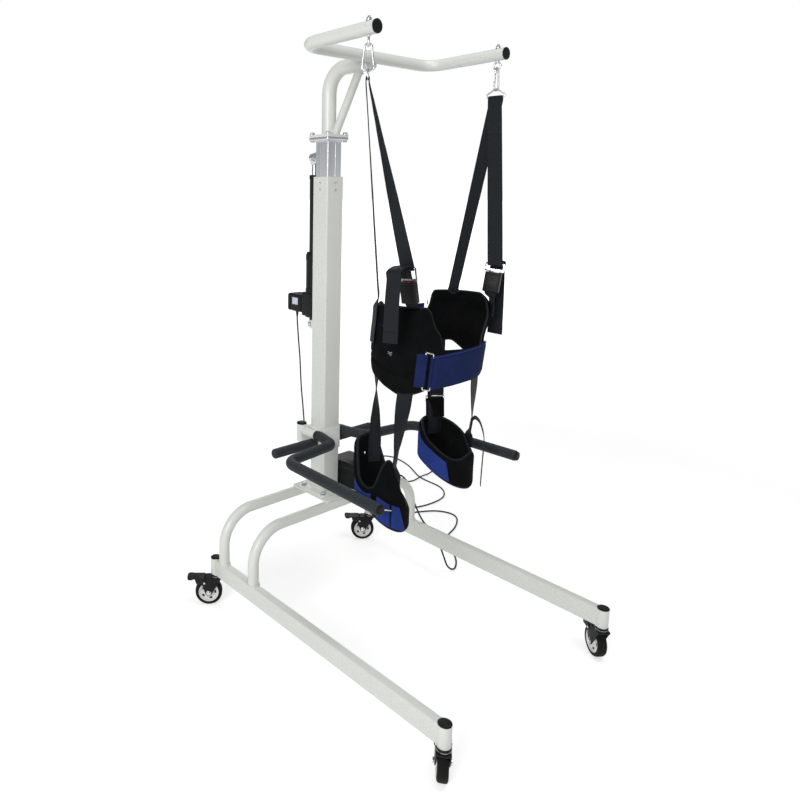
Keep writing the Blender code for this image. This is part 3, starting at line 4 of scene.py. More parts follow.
import bpy
from bpy.props import FloatProperty, FloatVectorProperty, PointerProperty
from mathutils import Matrix, Vector, noise

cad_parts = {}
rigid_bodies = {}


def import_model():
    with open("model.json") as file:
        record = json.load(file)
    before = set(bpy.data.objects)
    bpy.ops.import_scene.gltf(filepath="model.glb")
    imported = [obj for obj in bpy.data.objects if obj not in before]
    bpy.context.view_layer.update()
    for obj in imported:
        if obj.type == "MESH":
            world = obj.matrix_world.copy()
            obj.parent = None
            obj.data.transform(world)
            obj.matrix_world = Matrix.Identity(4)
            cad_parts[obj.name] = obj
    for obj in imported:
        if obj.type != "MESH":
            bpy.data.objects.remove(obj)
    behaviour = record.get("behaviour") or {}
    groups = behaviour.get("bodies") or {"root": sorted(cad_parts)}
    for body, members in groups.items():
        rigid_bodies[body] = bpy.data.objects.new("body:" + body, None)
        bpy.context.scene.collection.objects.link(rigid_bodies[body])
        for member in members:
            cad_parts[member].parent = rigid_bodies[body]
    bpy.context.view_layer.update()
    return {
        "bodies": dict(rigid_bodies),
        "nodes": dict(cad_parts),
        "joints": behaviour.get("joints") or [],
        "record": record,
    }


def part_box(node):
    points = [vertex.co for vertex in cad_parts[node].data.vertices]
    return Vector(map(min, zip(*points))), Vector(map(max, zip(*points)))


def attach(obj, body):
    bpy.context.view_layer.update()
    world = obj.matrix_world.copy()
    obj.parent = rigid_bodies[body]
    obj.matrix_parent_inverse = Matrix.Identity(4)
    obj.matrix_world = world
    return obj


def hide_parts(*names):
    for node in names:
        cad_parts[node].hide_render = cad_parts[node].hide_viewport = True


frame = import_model()

bl_info = {
    "name": "Electric gait trainer",
    "version": (1, 0, 0),
    "blender": (4, 5, 0),
    "location": "View3D > Sidebar > Gait trainer",
    "description": "Dresses the packed gait trainer with its finished pieces and materials",
    "category": "Object",
}

# Everything is laid out about the column's axis and moved to its place at the end
COLUMN_LOW, COLUMN_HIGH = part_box("outer_column")
AXIS = Vector(((COLUMN_LOW.x + COLUMN_HIGH.x) / 2, COLUMN_LOW.y + 0.070, 0.0))
GAP = 0.0003
SIDES = (("left", -1), ("right", 1))

# Base
LEG_X, FRONT_Y, REAR_Y = 0.405, -0.905, 0.145
POST_BOTTOM, POST_TOP, RAIL_INSET = 0.121, 0.183, 0.0005
TUBE_R, ARCH_Y, ARCH_BEND, ARCH_Z = 0.019, 0.088, 0.120, 0.372
PLATE_X, PLATE_Y, PLATE_T = 0.150, 0.200, 0.006
FOOT, FOOT_T, FOOT_BOLT = 0.140, 0.008, 0.055
PLATE_LOW = ARCH_Z + TUBE_R + GAP
FOOT_LOW = PLATE_LOW + PLATE_T + GAP
FOOT_TOP = FOOT_LOW + FOOT_T

# Column, flanges and yoke
OUTER, OUTER_WALL, OUTER_TOP = 0.076, 0.004, 1.570
INNER, INNER_LOW = 0.064, 1.040
FLANGE, FLANGE_T, FLANGE_BOLT, FLANGE_Z = 0.100, 0.010, 0.0405, 1.694
UPPER_FLANGE_Z = FLANGE_Z + FLANGE_T + GAP
NECK_R, NECK_BEND, NECK_Z, BRACE_R = 0.025, 0.080, 1.932, 0.014
BAR_Z, BAR_HALF, BAR_BACK_Y, BAR_END_Y, BAR_BEND = 1.947, 0.293, -0.196, -0.500, 0.060
EYE_Y, EYE_Z, EYE_MAJOR, EYE_R = -0.471, 1.912, 0.0115, 0.003
HOOK_R, HOOK_SLACK, HOOK_LENGTH = 0.003, 0.0006, 0.0707
HOOK_TOP = EYE_Z - EYE_MAJOR + EYE_R + HOOK_R + HOOK_SLACK
HOOK_BOTTOM = HOOK_TOP - HOOK_LENGTH
HOOK_TURN = {-1: 135.0, 1: 10.0}
RING_TURN = {-1: 45.0, 1: -80.0}
RING_R = 0.0025
RING_TOP = HOOK_BOTTOM + HOOK_R + RING_R + GAP
RING_BAR_Z = RING_TOP - 0.026

# Actuator, box and leads
ACT_Y, ACT_LOW_Z, ACT_HIGH_Z = 0.0725, 1.030, 1.638
ACT_BODY_Z = (1.056, 1.300)
PIN_R, LUG_IN, LUG_T = 0.005, 0.012, 0.005
MOTOR_Z, MOTOR_NEAR, MOTOR_END_Y = 1.104, 0.1053, 0.188
BOX_X, BOX_Y, BOX_Z = (0.0415, 0.150), (-0.136, 0.016), (0.416, 0.511)
LEAD_R, MOTOR_LEAD_R = 0.0035, 0.0028
MOTOR_GLAND = (0.0, 0.166, 1.064)
BOX_REAR_GLAND = (0.100, 0.026, 0.450)
BOX_LOW_GLAND = (0.090, -0.050, 0.406)

# Sleeve, arms and grips
SLEEVE_Z, ARM_Z, ARM_X, GRIP_Z, KNOB_Z = (0.567, 0.649), 0.628, 0.062, 0.5915, 0.606
ARM_POINTS = ((0.062, -0.0203), (0.062, -0.050), (0.084, -0.132), (0.316, -0.160), (0.337, -0.602))
ARM_BENDS = (0.05, 0.035, 0.045)
FOAM_R, SPIGOT_R, GRIP_NEAR, GRIP_FAR = 0.018, 0.0125, 0.052, 0.246

# Casters: name, pivot and the direction in which each trails, in degrees from +X
WHEEL_R, TRAIL, CROWN_Z = 0.050, 0.028, 0.104
PEDAL_END = 0.106
PEDAL_X, PEDAL_PIVOT_Z, PEDAL_Z = 0.043, 0.090, 0.1085
CASTERS = (
    ("front_left", -LEG_X, FRONT_Y, 40.0),
    ("front_right", LEG_X, FRONT_Y, 55.0),
    ("rear_left", -LEG_X, REAR_Y, 142.0),
    ("rear_right", LEG_X, REAR_Y, 142.0),
)

# Points of the mains lead on the floor, from the leg to the plug
FLOOR_ROUTE = (
    (0.484, -0.264), (0.560, -0.212), (0.660, -0.085), (0.778, -0.040), (0.855, 0.004),
    (0.885, 0.055), (0.845, 0.130), (0.707, 0.205), (0.692, 0.239),
    (0.721, 0.265), (0.762, 0.249), (0.802, 0.211), (0.905, 0.192), (1.015, 0.208),
    (1.090, 0.290), (1.108, 0.440), (1.190, 0.600), (1.213, 0.735), (1.149, 0.791),
    (1.030, 0.752), (0.962, 0.656), (0.948, 0.545), (1.010, 0.443), (1.110, 0.432),
    (1.262, 0.461),
)
CROSSING = (1.107, 0.432)
FLOOR_LEAD_Z = LEAD_R + 0.0006


# Curves


def fillet_path(points, radii, steps=10):
    """Points along straight runs with round bends between them."""
    path = [Vector(points[0])]
    for i in range(1, len(points) - 1):
        here = Vector(points[i])
        back = (Vector(points[i - 1]) - here).normalized()
        ahead = (Vector(points[i + 1]) - here).normalized()
        radius = radii[i - 1] if hasattr(radii, "__len__") else radii
        half = back.angle(ahead) / 2
        reach = radius / math.tan(half)
        centre = here + (back + ahead).normalized() * radius / math.sin(half)
        first = here + back * reach - centre
        last = here + ahead * reach - centre
        sweep = first.angle(last)
        for step in range(steps + 1):
            part = step / steps
            turn = first * math.sin((1 - part) * sweep) + last * math.sin(part * sweep)
            path.append(centre + turn / math.sin(sweep))
    path.append(Vector(points[-1]))
    return path


def smooth_path(points, per_span):
    """A Catmull-Rom curve through the points, with that many steps to each span."""
    knots = [Vector(p) for p in points]
    ends = [2 * knots[0] - knots[1]] + knots + [2 * knots[-1] - knots[-2]]
    path = []
    for i in range(1, len(ends) - 2):
        a, b, c, d = ends[i - 1 : i + 3]
        for step in range(per_span):
            t = step / per_span
            path.append(
                0.5 * (2 * b + (c - a) * t + (2 * a - 5 * b + 4 * c - d) * t**2
                       + (3 * b - a - 3 * c + d) * t**3)
            )
    path.append(knots[-1])
    return path


def even_path(path, spacing):
    """The same line with its points spaced evenly."""
    lengths = [0.0]
    for a, b in zip(path, path[1:]):
        lengths.append(lengths[-1] + (b - a).length)
    count = max(2, round(lengths[-1] / spacing))
    spaced, at = [], 0
    for i in range(count + 1):
        want = lengths[-1] * i / count
        while at < len(path) - 2 and lengths[at + 1] < want:
            at += 1
        span = lengths[at + 1] - lengths[at]
        spaced.append(path[at].lerp(path[at + 1], (want - lengths[at]) / span))
    return spaced


def path_length(path):
    return sum((b - a).length for a, b in zip(path, path[1:]))


def arc(centre, radius, start, end, steps=10):
    """Points on an arc in a plane, angles in degrees."""
    points = []
    for step in range(steps + 1):
        angle = math.radians(start + (end - start) * step / steps)
        points.append((centre[0] + radius * math.cos(angle), centre[1] + radius * math.sin(angle)))
    return points


def rounded_box(x, y, r, steps=6):
    """The outline of a rectangle from -x to x and -y to y with round corners."""
    outline = []
    for cx, cy, start in ((1, 1, 0), (-1, 1, 90), (-1, -1, 180), (1, -1, 270)):
        outline += arc((cx * (x - r), cy * (y - r)), r, start, start + 90, steps)
    return outline


def circle(radius, steps=24, centre=(0.0, 0.0)):
    return arc(centre, radius, 0, 360, steps)[:-1]


def ease(value):
    value = min(1.0, max(0.0, value))
    return value * value * (3 - 2 * value)


def blend_list(values, part):
    """Read a list of evenly spaced values at a part from 0 to 1."""
    at = part * (len(values) - 1)
    low = min(int(at), len(values) - 2)
    return values[low] + (values[low + 1] - values[low]) * (at - low)


# Modelling


def deselect():
    bpy.ops.object.select_all(action="DESELECT")


def pick(obj):
    """Make one object the only one selected, and the active one."""
    deselect()
    obj.select_set(True)
    bpy.context.view_layer.objects.active = obj
    return obj


def apply_place(obj, place=None):
    """Put an object at a matrix and write its place into its mesh."""
    if place is not None:
        obj.matrix_world = place @ obj.matrix_world
    pick(obj)
    bpy.ops.object.transform_apply(location=True, rotation=True, scale=True)
    return obj


def apply_modifiers(obj):
    pick(obj)
    for modifier in list(obj.modifiers):
        bpy.ops.object.modifier_apply(modifier=modifier.name)
    return obj


def turn_outwards(obj, weld=None):
    """Weld a mesh's points that lie closer than a distance and turn its faces outwards."""
    pick(obj)
    bpy.ops.object.mode_set(mode="EDIT")
    bpy.ops.mesh.select_all(action="SELECT")
    if weld:
        bpy.ops.mesh.remove_doubles(threshold=weld)
    bpy.ops.mesh.normals_make_consistent(inside=False)
    bpy.ops.object.mode_set(mode="OBJECT")
    return obj


def round_edges(obj, width, segments=3, degrees=40.0):
    """Round the edges that are sharper than an angle."""
    bevel = obj.modifiers.new("rounding", "BEVEL")
    bevel.width = width
    bevel.segments = segments
    bevel.limit_method = "ANGLE"
    bevel.angle_limit = math.radians(degrees)
    bevel.harden_normals = False
    return apply_modifiers(obj)


def paint_with(obj, look):
    obj.data.materials.clear()
    obj.data.materials.append(finish(look))
    return obj


def block(x, y, z, look, rounding=0.001, segments=3, place=None):
    """A box between the pairs of limits x, y and z, with rounded edges."""
    deselect()
    bpy.ops.mesh.primitive_cube_add(size=1.0, location=[(low + high) / 2 for low, high in (x, y, z)])
    obj = bpy.context.object
    obj.scale = [high - low for low, high in (x, y, z)]
    apply_place(obj)
    if rounding:
        round_edges(obj, rounding, segments)
    return paint_with(apply_place(obj, place), look)


def facing(point, direction):
    """A matrix at a point whose Z runs along a direction."""
    return Matrix.Translation(point) @ direction.to_track_quat("Z", "Y").to_matrix().to_4x4()


def towards(start, end):
    """A matrix at the middle of two points whose Z runs from one to the other, and their distance."""
    start, end = Vector(start), Vector(end)
    return facing((start + end) / 2, end - start), (end - start).length


def rod(radius, start, end, look, sides=40, rounding=0.0005):
    """A cylinder between two points with a small round on both rims."""
    deselect()
    place, length = towards(start, end)
    bpy.ops.mesh.primitive_cylinder_add(vertices=sides, radius=radius, depth=length)
    obj = bpy.context.object
    if rounding:
        round_edges(obj, rounding, 2)
    apply_place(obj, place)
    return paint_with(obj, look)


def lathe(profile, look, place=None, segments=48, closed=False):
    """Extrude and resize a circle along a profile of (radius, height)."""
    deselect()
    profile = list(profile)
    capped = profile[0][0] < 1e-6
    start = profile[1] if capped else profile[0]
    bpy.ops.mesh.primitive_circle_add(
        vertices=segments, radius=start[0], fill_type="TRIFAN" if capped else "NOTHING",
        location=(0, 0, start[1]),
    )
    obj = bpy.context.object
    apply_place(obj)
    if capped:
        middle = min(obj.data.vertices, key=lambda v: v.co.x**2 + v.co.y**2)
        middle.co.z = profile[0][1]
    rest = profile[2:] if capped else profile[1:]
    if closed:
        rest = rest + [profile[0]]
    bpy.ops.object.mode_set(mode="EDIT")
    bpy.ops.mesh.select_mode(type="EDGE")
    bpy.ops.mesh.select_all(action="SELECT")
    if capped:
        bpy.ops.mesh.region_to_loop()
    radius, height = start
    for r, h in rest:
        bpy.ops.mesh.extrude_edges_move(TRANSFORM_OT_translate={"value": (0, 0, h - height)})
        if r < 1e-6:
            bpy.ops.mesh.merge(type="CENTER")
            break
        if abs(r - radius) > 1e-9:
            bpy.ops.transform.resize(value=(r / radius, r / radius, 1), center_override=(0, 0, h))
        radius, height = r, h
    bpy.ops.object.mode_set(mode="OBJECT")
    turn_outwards(obj, 0.000002)
    return paint_with(apply_place(obj, place), look)


def mirrored(profile):
    """Half of a profile and its mirror image below."""
    return [*profile, *((r, -h) for r, h in reversed(profile))]


def about(middle, half):
    """Two limits, half a width to each side of a middle."""
    return middle - half, middle + half


def inset(limits, by):
    return limits[0] + by, limits[1] - by


def soft_profile(points, radius, steps=4):
    """A turned piece's profile with its inner corners rounded."""
    return [(max(p.x, 0.0), p.y) for p in fillet_path([(*p, 0.0) for p in points], radius, steps)]


def place_new(name, data):
    """A new object of some data, in the scene."""
    obj = bpy.data.objects.new(name, data)
    bpy.context.scene.collection.objects.link(obj)
    return obj


def curve_mesh(curve, look):
    """Turn a curve into a mesh object with its caps welded on."""
    pick(place_new("run", curve))
    bpy.ops.object.convert(target="MESH")
    return paint_with(turn_outwards(bpy.context.object, 0.000005), look)


def tube_line(name, path, radius, resolution, cyclic=False):
    curve = bpy.data.curves.new(name, "CURVE")
    curve.dimensions = "3D"
    curve.bevel_depth = radius
    curve.bevel_resolution = resolution
    curve.use_fill_caps = not cyclic
    spline = curve.splines.new("POLY")
    spline.points.add(len(path) - 1)
    for point, place in zip(spline.points, path):
        point.co = (*place, 1.0)
    spline.use_cyclic_u = cyclic
    return curve


def tube(path, radius, look, resolution=10, cyclic=False):
    """A round tube along a path."""
    return curve_mesh(tube_line("tube", path, radius, resolution, cyclic), look)


def profile_plate(outlines, low, high, look, place=None, rounding=0.0):
    """A plate of a flat outline, with holes where more outlines lie inside it."""
    curve = bpy.data.curves.new("plate", "CURVE")
    curve.dimensions = "2D"
    curve.fill_mode = "BOTH"
    curve.extrude = (high - low) / 2
    for outline in outlines:
        spline = curve.splines.new("POLY")
        spline.points.add(len(outline) - 1)
        for point, (x, y) in zip(spline.points, outline):
            point.co = (x, y, 0.0, 1.0)
        spline.use_cyclic_u = True
    obj = curve_mesh(curve, look)
    apply_place(obj, Matrix.Translation((0, 0, (low + high) / 2)))
    if rounding:
        round_edges(obj, rounding, 2)
    return apply_place(obj, place)


def bead(path, radius, look, cyclic=True, seed=0):
    """A weld bead: a thin tube along a seam whose thickness ripples a little."""
    obj = tube(even_path(list(path) + ([path[0]] if cyclic else []), 0.003), radius, look, 3)
    for vertex in obj.data.vertices:
        n = noise.noise_vector(vertex.co * 260 + Vector((seed, 0, 0)))
        vertex.co += n * radius * 0.22
    return obj


def ring_path(centre, normal, radius, steps=36):
    turn = Vector(normal).to_track_quat("Z", "Y").to_matrix()
    return [Vector(centre) + turn @ Vector((*p, 0)) for p in circle(radius, steps)]


def hexagon(radius):
    return arc((0, 0), radius, 30, 390, 6)[:-1]


def nut(radius, low, high, look, place=None):
    """A hexagon nut or bolt head with a chamfered top."""
    obj = profile_plate([hexagon(radius)], low, high, look)
    return apply_place(round_edges(obj, min(0.0008, (high - low) * 0.2), 2, 50), place)


def washer(inner, outer, thick, look, place, lip=0.0002):
    """A flat ring whose bore stands up a little."""
    return lathe([(inner, 0.0), (outer, 0.0), (outer, thick), (inner, thick + lip)], look, place, 32, True)


def bolt_on(x, y, z, look="zinc", radius=0.005, hexagon_r=0.0095, height=0.007, thread=0.004):
    """A nut with its washer and the thread's end on top of a plate."""
    place = Matrix.Translation((x, y, z))
    thread_end = z + height + thread
    return [
        washer(radius, radius * 2.05, 0.0012, look, place),
        nut(hexagon_r, 0.0014, 0.0014 + height, look, place),
        rod(radius, (x, y, z), (x, y, thread_end), look, 24, 0.0006),
    ]


def join(name, pieces):
    """Join pieces into the first one."""
    deselect()
    for piece in pieces:
        piece.select_set(True)
    bpy.context.view_layer.objects.active = pieces[0]
    if len(pieces) > 1:
        bpy.ops.object.join()
    obj = bpy.context.object
    obj.name = name
    obj.data.name = name
    return obj


def settle(name, pieces, body, node=None, degrees=38.0, place=None):
    """Join pieces into one, move it to its place on the frame and let it ride on its body."""
    obj = join(name, list(pieces) if isinstance(pieces, (list, tuple)) else [pieces])
    if place is not None:
        apply_place(obj, place)
    apply_place(obj, Matrix.Translation(AXIS))
    bpy.ops.object.shade_smooth_by_angle(angle=math.radians(degrees))
    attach(obj, body)
    if node:
        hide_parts(node)
    return obj


# Materials


def feed(tree, socket, value):
    """Link a socket to an output, or set it to a number."""
    if isinstance(value, (int, float)):
        socket.default_value = value
    elif value is not None:
        tree.links.new(value, socket)


def maths(tree, operation, a, b=None, clamp=False):
    node = tree.nodes.new("ShaderNodeMath")
    node.operation = operation
    node.use_clamp = clamp
    for socket, value in zip(node.inputs, (a, b)):
        feed(tree, socket, value)
    return node.outputs[0]


def noise_node(tree, vector, scale, detail=2.0, roughness=0.5):
    node = tree.nodes.new("ShaderNodeTexNoise")
    for label, value in (("Vector", vector), ("Scale", scale), ("Detail", detail), ("Roughness", roughness)):
        feed(tree, node.inputs[label], value)
    return node.outputs["Fac"]


def split(tree, vector):
    node = tree.nodes.new("ShaderNodeSeparateXYZ")
    tree.links.new(vector, node.inputs[0])
    return node.outputs


def fill_grain(tree, where, inside, out):
    """Fine surface texture and slow colour drift, from the object's own coordinates."""
    feed(tree, out["Height"], noise_node(tree, where["Object"], inside["Scale"], 3.0, 0.55))
    feed(tree, out["Drift"], noise_node(tree, where["Object"], inside["Drift scale"], 4.0, 0.6))


def fill_dust(tree, where, inside, out):
    """Where dust settles: on faces that look up, in patches."""
    normal = tree.nodes.new("ShaderNodeNewGeometry").outputs["Normal"]
    up = maths(tree, "POWER", maths(tree, "MAXIMUM", split(tree, normal)["Z"], 0.0), 3.0)
    patches = noise_node(tree, where["Object"], inside["Patch scale"], 5.0, 0.65)
    feed(tree, out["Mask"], maths(tree, "MULTIPLY", up, maths(tree, "MULTIPLY", patches, inside["Amount"]),
                                  True))


def fill_wear(tree, where, inside, out):
    """Rubbed edges and scuffs, stronger where a surface turns sharply."""
    pointed = tree.nodes.new("ShaderNodeNewGeometry").outputs["Pointiness"]
    edge = maths(tree, "MULTIPLY", maths(tree, "SUBTRACT", pointed, 0.53), inside["Sharpness"], True)
    breakup = noise_node(tree, where["Object"], inside["Breakup scale"], 4.0, 0.6)
    breakup = maths(tree, "MULTIPLY", maths(tree, "SUBTRACT", breakup, 0.42), 5.0, True)
    feed(tree, out["Mask"], maths(tree, "MULTIPLY", edge, breakup, True))


def fill_streaks(tree, where, inside, out):
    """Long fine streaks along the object's Z, as drawing or brushing leaves them."""
    parts = split(tree, where["Object"])
    joined = tree.nodes.new("ShaderNodeCombineXYZ")
    for axis, factor in (("X", "Across"), ("Y", "Across"), ("Z", "Along")):
        feed(tree, joined.inputs[axis], maths(tree, "MULTIPLY", parts[axis], inside[factor]))
    feed(tree, out["Height"], noise_node(tree, joined.outputs[0], 1.0, 3.0, 0.6))
    feed(tree, out["Streak"], noise_node(tree, joined.outputs[0], 0.12, 2.0, 0.5))


def fill_weave(tree, where, inside, out):
    """Over-and-under yarns on the UV map, whose U and V are in metres."""
    parts = split(tree, where["UV"])
    waves = []
    for axis, count in (("X", "Yarns per metre across"), ("Y", "Yarns per metre along")):
        turns = maths(tree, "MULTIPLY", parts[axis], inside[count])
        waves.append(maths(tree, "SINE", maths(tree, "MULTIPLY", turns, math.pi)))
    ribs = maths(tree, "MULTIPLY", maths(tree, "ABSOLUTE", waves[0]), 0.6)
    crossings = maths(tree, "MULTIPLY", maths(tree, "MULTIPLY", *waves), 0.4)
    feed(tree, out["Height"], maths(tree, "ADD", ribs, crossings))
    feed(tree, out["Yarn"], maths(tree, "ABSOLUTE", waves[0]))


def fill_knit(tree, where, inside, out):
    """The small loops of a knitted or brushed cloth."""
    cells = tree.nodes.new("ShaderNodeTexVoronoi")
    feed(tree, cells.inputs["Vector"], where["Object"])
    feed(tree, cells.inputs["Scale"], inside["Loops per metre"])
    loop = maths(tree, "SUBTRACT", 1.0, cells.outputs["Distance"], True)
    feed(tree, out["Height"], loop)
    feed(tree, out["Loop"], loop)
    feed(tree, out["Fold"], noise_node(tree, where["Object"], inside["Fold scale"], 3.0, 0.5))


# Each kind of effect: its group's name, inputs, outputs and the function that fills it
GROUPS = {
    "grain": ("Surface grain", (("Scale", 600.0), ("Drift scale", 9.0)), ("Height", "Drift"), fill_grain),
    "dust": ("Settled dust", (("Amount", 0.5), ("Patch scale", 30.0)), ("Mask",), fill_dust),
    "wear": ("Edge wear", (("Sharpness", 14.0), ("Breakup scale", 120.0)), ("Mask",), fill_wear),
    "streaks": ("Drawn streaks", (("Across", 900.0), ("Along", 6.0)), ("Height", "Streak"), fill_streaks),
    "weave": ("Woven yarns", (("Yarns per metre across", 900.0), ("Yarns per metre along", 560.0)),
              ("Height", "Yarn"), fill_weave),
    "knit": ("Knitted loops", (("Loops per metre", 520.0), ("Fold scale", 26.0)), ("Height", "Loop", "Fold"),
             fill_knit),
}


def group_of(kind):
    """The shader node group of one kind of effect, made once."""
    name, inputs, outputs, fill = GROUPS[kind]
    if name in bpy.data.node_groups:
        return bpy.data.node_groups[name]
    tree = bpy.data.node_groups.new(name, "ShaderNodeTree")
    for label, value in inputs:
        socket = tree.interface.new_socket(name=label, in_out="INPUT", socket_type="NodeSocketFloat")
        socket.default_value = value
    for label in outputs:
        tree.interface.new_socket(name=label, in_out="OUTPUT", socket_type="NodeSocketFloat")
    inside, out = tree.nodes.new("NodeGroupInput"), tree.nodes.new("NodeGroupOutput")
    fill(tree, tree.nodes.new("ShaderNodeTexCoord").outputs, inside.outputs, out.inputs)
    return tree


def shade(colour):
    """A colour's numbers, from themselves or from a palette colour's name and its factor or factors."""
    name, factor = (colour, 1.0) if isinstance(colour, str) else (colour[0], colour[-1])
    if not isinstance(name, str):
        return colour
    factors = factor if isinstance(factor, tuple) else (factor,) * 3
    return tuple(c * f for c, f in zip(getattr(bpy.context.scene.trainer_colours, name), factors))


class Look:
    """One material while it is put together."""

    def __init__(self, name, colour, roughness, metallic, constants):
        self.material = bpy.data.materials.new(name)
        self.material.use_nodes = True
        self.material.diffuse_color = (*colour, 1.0)
        self.tree = self.material.node_tree
        self.shader = self.tree.nodes["Principled BSDF"]
        values = {"Base Color": (*colour, 1.0), "Roughness": roughness, "Metallic": metallic, **constants}
        for label, value in values.items():
            self.shader.inputs[label].default_value = value

    def effect(self, kind, values):
        node = self.tree.nodes.new("ShaderNodeGroup")
        node.node_tree = group_of(kind)
        for socket, value in zip(node.inputs, values):
            socket.default_value = value
        return node.outputs

    def ramp(self, mask, **limits):
        node = self.tree.nodes.new("ShaderNodeMapRange")
        for label, value in limits.items():
            node.inputs[label.replace("_", " ")].default_value = value
        self.tree.links.new(mask, node.inputs["Value"])
        return node.outputs[0]

    def tint(self, mask, colour, low, high):
        """Mix the base colour towards another where a mask is high."""
        mix = self.tree.nodes.new("ShaderNodeMix")
        mix.data_type = "RGBA"
        base = self.shader.inputs["Base Color"]
        self.tree.links.new(self.ramp(mask, From_Min=low, From_Max=high), mix.inputs["Factor"])
        if base.is_linked:
            self.tree.links.new(base.links[0].from_socket, mix.inputs["A"])
        else:
            mix.inputs["A"].default_value = base.default_value
        mix.inputs["B"].default_value = (*shade(colour), 1.0)
        self.tree.links.new(mix.outputs["Result"], base)

    def vary(self, mask, low, high):
        """Let the roughness follow a mask."""
        self.tree.links.new(self.ramp(mask, To_Min=low, To_Max=high), self.shader.inputs["Roughness"])

    def bump(self, height, distance, strength):
        node = self.tree.nodes.new("ShaderNodeBump")
        node.inputs["Strength"].default_value = strength
        node.inputs["Distance"].default_value = distance
        normal = self.shader.inputs["Normal"]
        if normal.is_linked:
            self.tree.links.new(normal.links[0].from_socket, node.inputs["Normal"])
        self.tree.links.new(height, node.inputs["Height"])
        self.tree.links.new(node.outputs[0], normal)


def dusted(amount, patches, colour, high):
    return "dust", (amount, patches), ("tint", "Mask", colour, 0.0, high)


def worn(sharpness, breakup, colour, high):
    return "wear", (sharpness, breakup), ("tint", "Mask", colour, 0.0, high)


def grained(scale, drift, rough, bump, tint=()):
    """Fine grain whose drift varies the roughness and tints the colour."""
    steps = [("vary", "Drift", *rough), ("bump", "Height", *bump)]
    return "grain", (scale, drift), *([("tint", "Drift", *tint)] if tint else []), *steps


def knitted(loops, folds, *steps):
    return "knit", (loops, folds), *steps


PAINT = (
    grained(1500.0, 5.0, (0.26, 0.44), (0.00012, 0.10), (("paint", (0.97, 0.98, 0.96)), 0.35, 0.75)),
    dusted(0.5, 45.0, (0.62, 0.61, 0.57), 3.0),
    worn(9.0, 260.0, (0.52, 0.53, 0.52), 2.2),
)
COAT = {"Coat Weight": 0.25, "Coat Roughness": 0.18}
THREAD = (("grain", (2500.0, 90.0), ("bump", "Height", 0.0002, 0.6)),)
SHINE = "Specular IOR Level"
